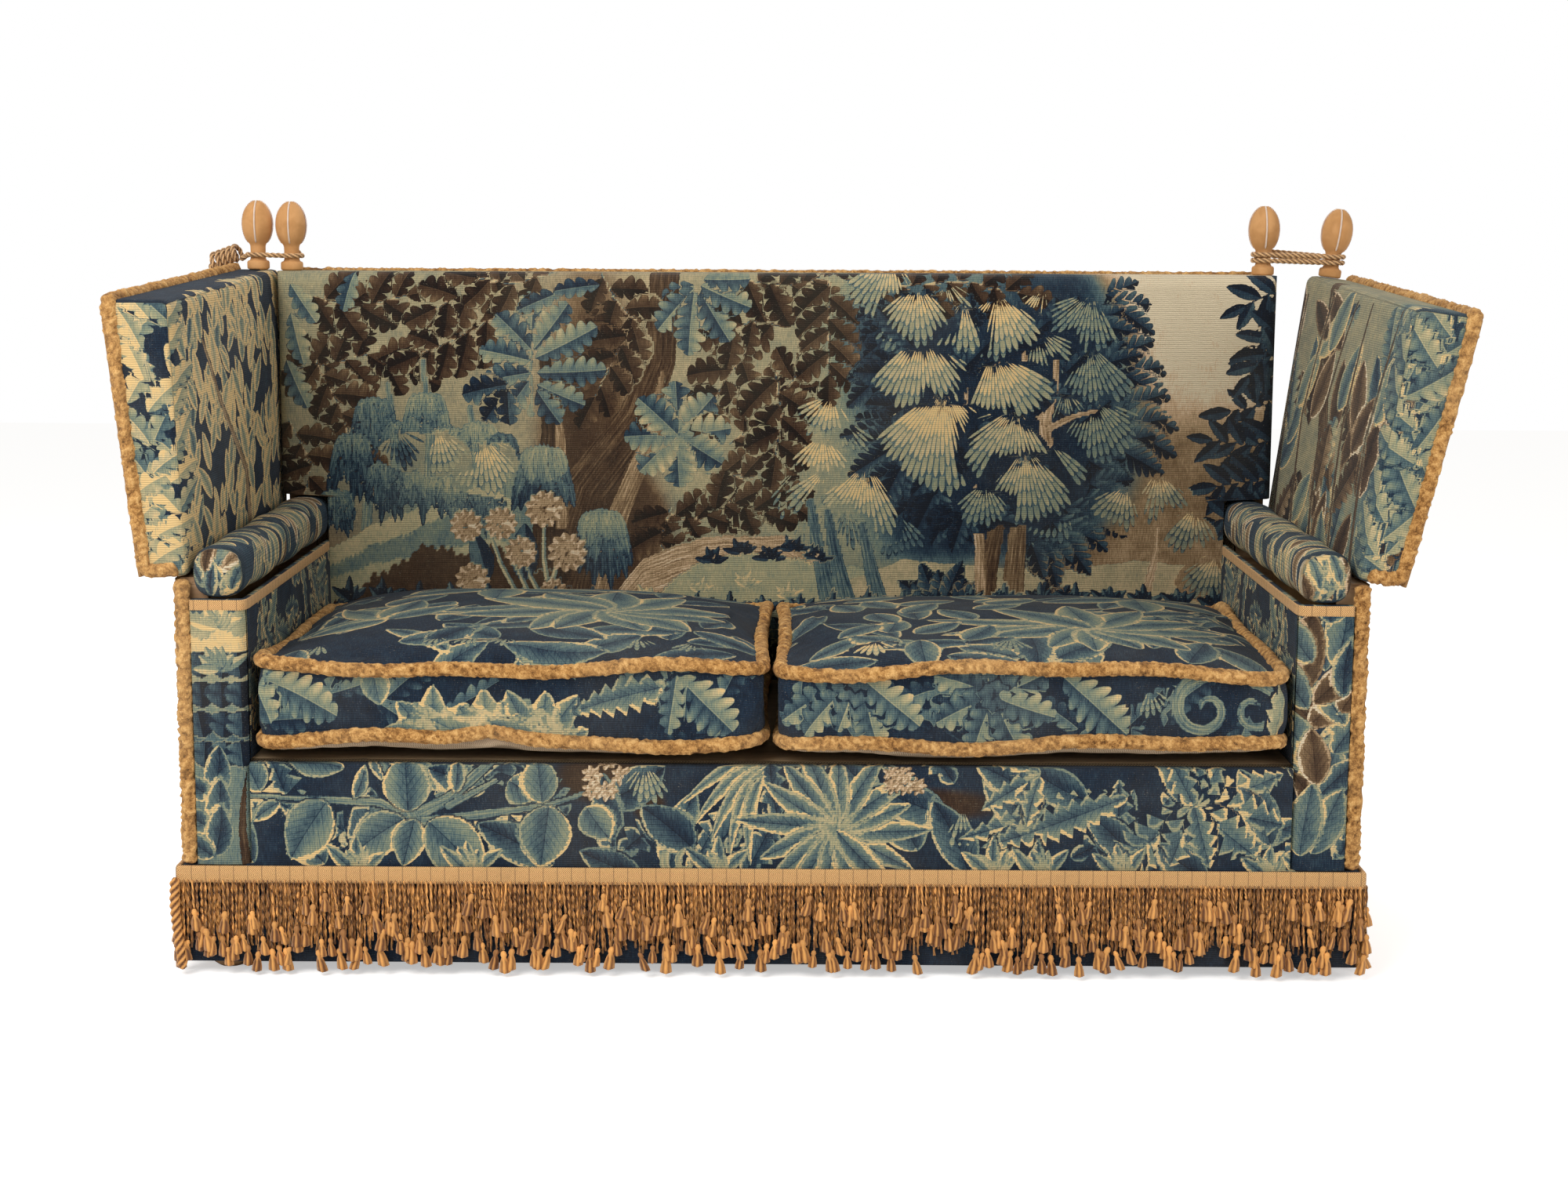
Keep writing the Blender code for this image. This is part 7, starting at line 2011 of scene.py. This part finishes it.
def ropes(cord):
    """Old twisted ropes that tie each wing's finial to the back's; the right one is let out, the left one
    wound up."""
    rise = float(wing_high(FINIAL_Y + 0.019))
    low = 0.016 + 0.005 + ROPE_RADIUS
    high = low + 2 * ROPE_RADIUS + 0.0011
    for side, sign in SIDES.items():
        def back_neck(lift):
            """A place on the back finial's axis, at a height over the back's top."""
            return np.array([sign * BACK_FINIAL_X, FINIAL_Y, BACK_HEIGHT + lift])

        def wing_neck(lift):
            """A place on the wing finial's axis, turned with its wing."""
            return hung(np.array([WING_FINIAL_X, FINIAL_Y, WING_BOTTOM + rise + lift]), side)

        path = [neck_arc(back_neck(low), sign, 90, 270)]
        if side == "right":
            path.append(neck_arc(wing_neck(low), sign, -90, 90, lean=WING_OPEN[side]))
            path.append(neck_arc(back_neck(high), sign, 90, 270))
            path.append(neck_arc(wing_neck(high), sign, -90, 90, lean=WING_OPEN[side]))
            end = np.array([sign * 0.012, NECK_LOOP + 2 * ROPE_RADIUS, 0.005])
            path.append(back_neck(high)[None] + end)
        else:
            path.append(neck_arc(wing_neck(low), sign, -90, 0, 4))
            path.append(hank(wing_neck(low), sign))
        line = softened(spaced(np.concatenate(path), 0.003), 3)
        points, faces, marks = rope_tube(line, ROPE_RADIUS)
        body = "frame" if side == "right" else "left_wing"
        piece = make(f"{side}_tie_rope", points, faces, cord, body, [f"{side}_rope"])
        mark(piece, **marks)
        behind = back_neck((low + high) / 2 if side == "right" else low) + np.array([0, NECK_LOOP + 0.006, 0])
        knots = [knot(f"{side}_rope_knot", behind, cord, body)]
        if side == "left":
            knots.append(knot("left_hank_knot", line[-1], cord, body))
        anchor = (wing_neck(low) if side == "left" else back_neck(low)) + ORIGIN
        for part in [piece] + knots:
            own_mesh(part)


def knot(name, middle, cord, body):
    """The knot a rope's end is tied in: one closed turn of the rope that passes twice round and through
    itself."""
    turn = np.linspace(0, 2 * np.pi, 72)
    line = np.stack([np.sin(turn) + 2 * np.sin(2 * turn), 1.1 * np.sin(3 * turn),
                     np.cos(turn) - 2 * np.cos(2 * turn)], 1)
    points, faces, marks = rope_tube(middle + 0.0031 * line, ROPE_RADIUS)
    piece = make(name, points, faces, cord, body)
    mark(piece, **marks)
    return piece


def hank(neck, sign):
    """A rope's spare length wound into a hank beside a neck: five turns of a helix, led into by a Bezier
    curve."""
    axis = np.array([sign * 0.93, 0.15, -0.33])
    axis /= np.linalg.norm(axis)
    start = neck + np.array([sign * 0.037, 0.020, 0.004])
    way = axis * -sign
    first = np.array([0, 0, -1.0]) - way * -way[2]
    first /= np.linalg.norm(first)
    second = np.cross(first, way)
    steps, wound_turns, radius = 24, 5, 0.0125
    k = np.arange(steps * wound_turns + 1)
    angle = 2 * np.pi * k / steps
    ring = first * np.cos(angle)[:, None] + second * np.sin(angle)[:, None]
    wound = start + way * ((2 * ROPE_RADIUS + 0.0011) * k / steps)[:, None] + ring * radius
    leave = neck + np.array([sign * NECK_LOOP, 0, 0])
    into = (wound[1] - wound[0]) / np.linalg.norm(wound[1] - wound[0])
    t = np.linspace(0.08, 0.92, 11)[:, None]
    lead = ((1 - t) ** 3 * leave + 3 * (1 - t) ** 2 * t * (leave + np.array([0, 0.014, 0]))
            + 3 * (1 - t) * t**2 * (wound[0] - 0.014 * into) + t**3 * wound[0])
    return np.vstack([lead, wound])


# Outsides, and what lies under the cushions


def outside_slab(name, low, high, thin, finish, body, nodes, puff=0.003, pitch=0.03, radius=0.003):
    """A thin upholstered slab filling a box, its outer face slightly padded. thin names the axis it is
    thin along and the way its outer face looks."""
    axis, way = thin
    low, high = np.asarray(low, float), np.asarray(high, float)
    lines = [stations(low[k], high[k], pitch, 0.006, 3) for k in range(3)]
    lines[axis] = np.array([low[axis], high[axis]])
    points, faces, place = box_lattice(*lines)
    shares = (points - low) / (high - low)
    outer = (place[:, axis] == (1 if way > 0 else 0)).astype(float)
    others = [k for k in range(3) if k != axis]
    arch = np.ones(len(points))
    for k in others:
        arch = arch * np.sin(np.pi * np.clip(shares[:, k], 0, 1)) ** 0.4
        points[:, k] -= (shares[:, k] - 0.5) * 2 * radius * outer * (np.abs(shares[:, k] - 0.5) > 0.4999)
    wrinkle = 0.0012 * np.sin(points[:, others[0]] * 21 + 3 * points[:, others[1]]) * arch
    points[:, axis] += way * outer * (puff * arch + wrinkle)
    make(name, points, faces, finish, body, nodes)


def outsides(plush):
    """The velvet outsides of the arms and of the back, which is narrower above the arms."""
    for side, sign in SIDES.items():
        low, high = sorted((sign * 0.8722, sign * 0.8798))
        outside_slab(f"{side}_arm_outside_velvet", (low, 0.0180, HEADING_TOP + 0.0003),
                     (high, BODY_DEPTH - 0.0100, 0.5983),
                     (0, sign), plush, "frame", [f"{side}_arm_outer_cover"])
    zs, us = stations(0.018, 1.0177, 0.02), np.linspace(-1, 1, 90)
    z, u = np.meshgrid(zs, us, indexing="ij")
    x = u * np.where(z < 0.5985, 0.880, 0.856)
    arch = (np.clip(1 - np.abs(u) ** 6, 0, 1) * np.clip(np.sin(np.pi * (z - 0.018) / 1.0), 0, 1)) ** 0.5
    y = BODY_DEPTH - 0.0015 + 0.004 * arch + 0.0012 * np.sin(13 * x + 4 * z) * arch
    front = np.stack([x, y, z], -1).reshape(-1, 3)
    loop = edge_loop(len(zs), len(us))
    ring = front[loop].copy()
    ring[:, 1] = 0.7604
    points, faces = loop_faces(front, grid_faces(len(zs), len(us)).tolist(), loop, [ring])
    make("back_outside_velvet", points, faces, plush, "frame", ["back_outer_cover"])


def seat_under(hessian, webbing):
    """What lies under the cushions and behind the back's pad: the deck cloth, the stuffed springs, the
    webbing's crossing straps, and the back's stuffing."""
    for name, thin, pitch in (("seat_deck", (2, 1), 0.016), ("seat_spring_unit", (2, 1), 0.03),
                              ("back_stuffing", (1, -1), 0.03)):
        low, high = (np.array(c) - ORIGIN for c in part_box(name))
        if name == "seat_deck":
            low[0], high[0] = 0.0005 - POST_IN, POST_IN - 0.0005
        outside_slab(f"{name}_cloth", low, high, thin, hessian, "frame", [name], 0.0, pitch, 0.004)
    low, high = (np.array(c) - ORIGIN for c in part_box("seat_webbing"))
    parts = []
    middle, lift = (low + high)[2] / 2, (high - low)[2] * 0.2
    for axis, count in ((0, 7), (1, 15)):
        other = 1 - axis
        run = np.linspace(low[axis] + 0.001, high[axis] - 0.001, 100)
        pitch = (high[other] - low[other]) / count
        for k in range(count):
            at = low[other] + pitch * (k + 0.5)
            cross = (high[axis] - low[axis]) / (15 if axis == 0 else 7)
            over = np.tanh(2.0 * np.cos(np.pi * ((run - low[axis]) / cross - 0.5 + k + axis)))
            line = np.empty((len(run), 3))
            line[:, axis], line[:, other], line[:, 2] = run, at, middle + lift * over
            parts.append(strap(line, 0.050, (high - low)[2] * 0.30, other))
    points, faces, _ = joined(parts)
    make("seat_webbing_straps", points, faces, webbing, "frame", ["seat_webbing"])


def strap(line, wide, thick, across):
    """A flat strap along a line: its section is a flattened oval lying across the line."""
    angle = turns(12)
    points = np.repeat(line[:, None], 12, 1)
    points[..., across] += wide / 2 * squared(np.cos(angle), 0.35)
    points[..., 2] += thick / 2 * np.sin(angle)
    return points.reshape(-1, 3), tube_faces(len(line), 12), {}


def dressed(finishes):
    """Gives every node that is still shown its own material, chosen by slot_of from the node's name."""
    for name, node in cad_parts.items():
        slot = next((key for key in finishes if key in slot_of(name)), None)
        if slot:
            node.data.materials.clear()
            node.data.materials.append(finishes[slot])


def slot_of(name):
    """The finish of a node that is still shown, from its name."""
    if "hinge" in name:
        return "hinge_steel"
    if name in ("seat_deck", "seat_spring_unit", "back_stuffing"):
        return "lining"
    if name == "seat_webbing":
        return "jute"
    return "beech"


# The picture


def camera():
    """The camera fitted to the photograph: lens, place, and its turn by yaw, pitch and roll."""
    data = bpy.data.cameras.new("camera")
    data.lens, data.sensor_width = 56.01, 36
    yaw, pitch, roll = -0.0047, 0.1554, 0.0048
    ahead = Vector((math.sin(yaw) * math.cos(pitch), math.cos(yaw) * math.cos(pitch), -math.sin(pitch)))
    right = Vector((math.cos(yaw), -math.sin(yaw), 0))
    up = right.cross(ahead)
    turned = math.cos(roll) * right + math.sin(roll) * up
    upward = -math.sin(roll) * right + math.cos(roll) * up
    seen_from = bpy.data.objects.new("camera", data)
    place = Matrix((turned, upward, -ahead)).transposed().to_4x4()
    place.translation = (0.0084, -3.912, 1.1385)
    seen_from.matrix_world = place
    bpy.context.scene.collection.objects.link(seen_from)
    bpy.context.scene.camera = seen_from


def light(name, place, aim, size, power, tint=(1, 1, 1)):
    """A rectangular area lamp at a place, aimed at another."""
    data = bpy.data.lights.new(name, "AREA")
    data.shape, data.size, data.size_y = "RECTANGLE", size[0], size[1]
    data.energy, data.color = power, tint
    lamp = bpy.data.objects.new(name, data)
    lamp.location = place
    lamp.rotation_euler = (Vector(aim) - Vector(place)).to_track_quat("-Z", "Y").to_euler()
    bpy.context.scene.collection.objects.link(lamp)


def studio():
    """A pale floor that runs into white, one large soft light from the upper left, and a weaker one from
    the right."""
    floor_cloth, tree, shader = shaded("studio_floor")
    shader.inputs["Base Color"].default_value = (0.92, 0.92, 0.92, 1)
    shader.inputs["Roughness"].default_value = 1.0
    shader.inputs["Specular IOR Level"].default_value = 0.0
    shader.inputs["Emission Color"].default_value = (1, 1, 1, 1)
    seen = add(tree, "ShaderNodeLightPath").outputs["Is Camera Ray"]
    tree.links.new(product(tree, seen, 0.46), shader.inputs["Emission Strength"])
    corners = np.array([(-9.0, -7.0, 0), (9.0, -7.0, 0), (9.0, 9.0, 0), (-9.0, 9.0, 0)])
    mesh = bpy.data.meshes.new("floor")
    mesh.from_pydata(corners, [], [(0, 1, 2, 3)])
    mesh.materials.append(floor_cloth)
    floor = bpy.data.objects.new("floor", mesh)
    bpy.context.scene.collection.objects.link(floor)
    world = bpy.data.worlds.new("studio")
    bpy.context.scene.world = world
    world.use_nodes = True
    tree = world.node_tree
    backdrop = tree.nodes["Background"]
    white = add(tree, "ShaderNodeBackground", {"Color": (1, 1, 1, 1), "Strength": 1.0})
    backdrop.inputs["Color"].default_value = (1.0, 0.985, 0.96, 1)
    backdrop.inputs["Strength"].default_value = 0.55
    path = add(tree, "ShaderNodeLightPath")
    both = add(tree, "ShaderNodeMixShader", {0: path.outputs["Is Camera Ray"]})
    tree.links.new(backdrop.outputs[0], both.inputs[1])
    tree.links.new(white.outputs[0], both.inputs[2])
    tree.links.new(both.outputs[0], tree.nodes["World Output"].inputs["Surface"])
    light("key", (-1.9, -2.6, 2.9), (0, 0, 0.5), (2.6, 2.0), 105, (1, 0.985, 0.96))
    light("fill", (3.0, -2.4, 1.8), (0, 0, 0.5), (2.0, 2.0), 34, (1, 0.99, 0.98))
    light("rear", (0.6, 2.6, 2.6), (0, 0, 0.6), (2.4, 1.6), 34)


def main():
    """Finishes first, then the ropes, then each part of the sofa."""
    cloth, wool, silk = tapestry(), ruche_wool(), braid_silk()
    plush = velvet("golden_velvet", (0.240, 0.115, 0.036), (0.58, 0.34, 0.135))
    rust = velvet("finial_velvet", (0.38, 0.175, 0.055), (0.78, 0.42, 0.165), 30.0)
    cord = twisted("old_rope", (0.22, 0.110, 0.040), (0.60, 0.36, 0.165))
    piping = twisted("pink_and_white_piping", (0.36, 0.17, 0.13), (0.78, 0.66, 0.55), 0.0004)
    threads = twisted("tassel_silk", (0.180, 0.062, 0.012), (0.660, 0.310, 0.078), 0.0005)
    under = plain_weave("cushion_underside", (0.30, 0.21, 0.13), (0.48, 0.37, 0.25))
    hessian = plain_weave("hessian", (0.22, 0.145, 0.075), (0.45, 0.33, 0.19), 0.0022)
    webbing = plain_weave("jute_webbing", (0.24, 0.155, 0.075), (0.46, 0.33, 0.18), 0.0028)
    ropes(cord)
    back(cloth)
    border(cloth)
    for side in SIDES:
        arm_front(side, cloth)
        arm_inner(side, cloth)
        arm_roll(side, cloth)
        wing(side, cloth, plush)
        cushion(side, cloth, under, wool)
    trimmings(wool, silk)
    fringe(silk, threads)
    finials(rust, piping)
    outsides(plush)
    seat_under(hessian, webbing)
    dressed({"beech": beech(), "hinge_steel": steel(), "lining": hessian, "jute": webbing})


camera()
main()
studio()
bpy.context.scene.view_settings.view_transform = "Standard"
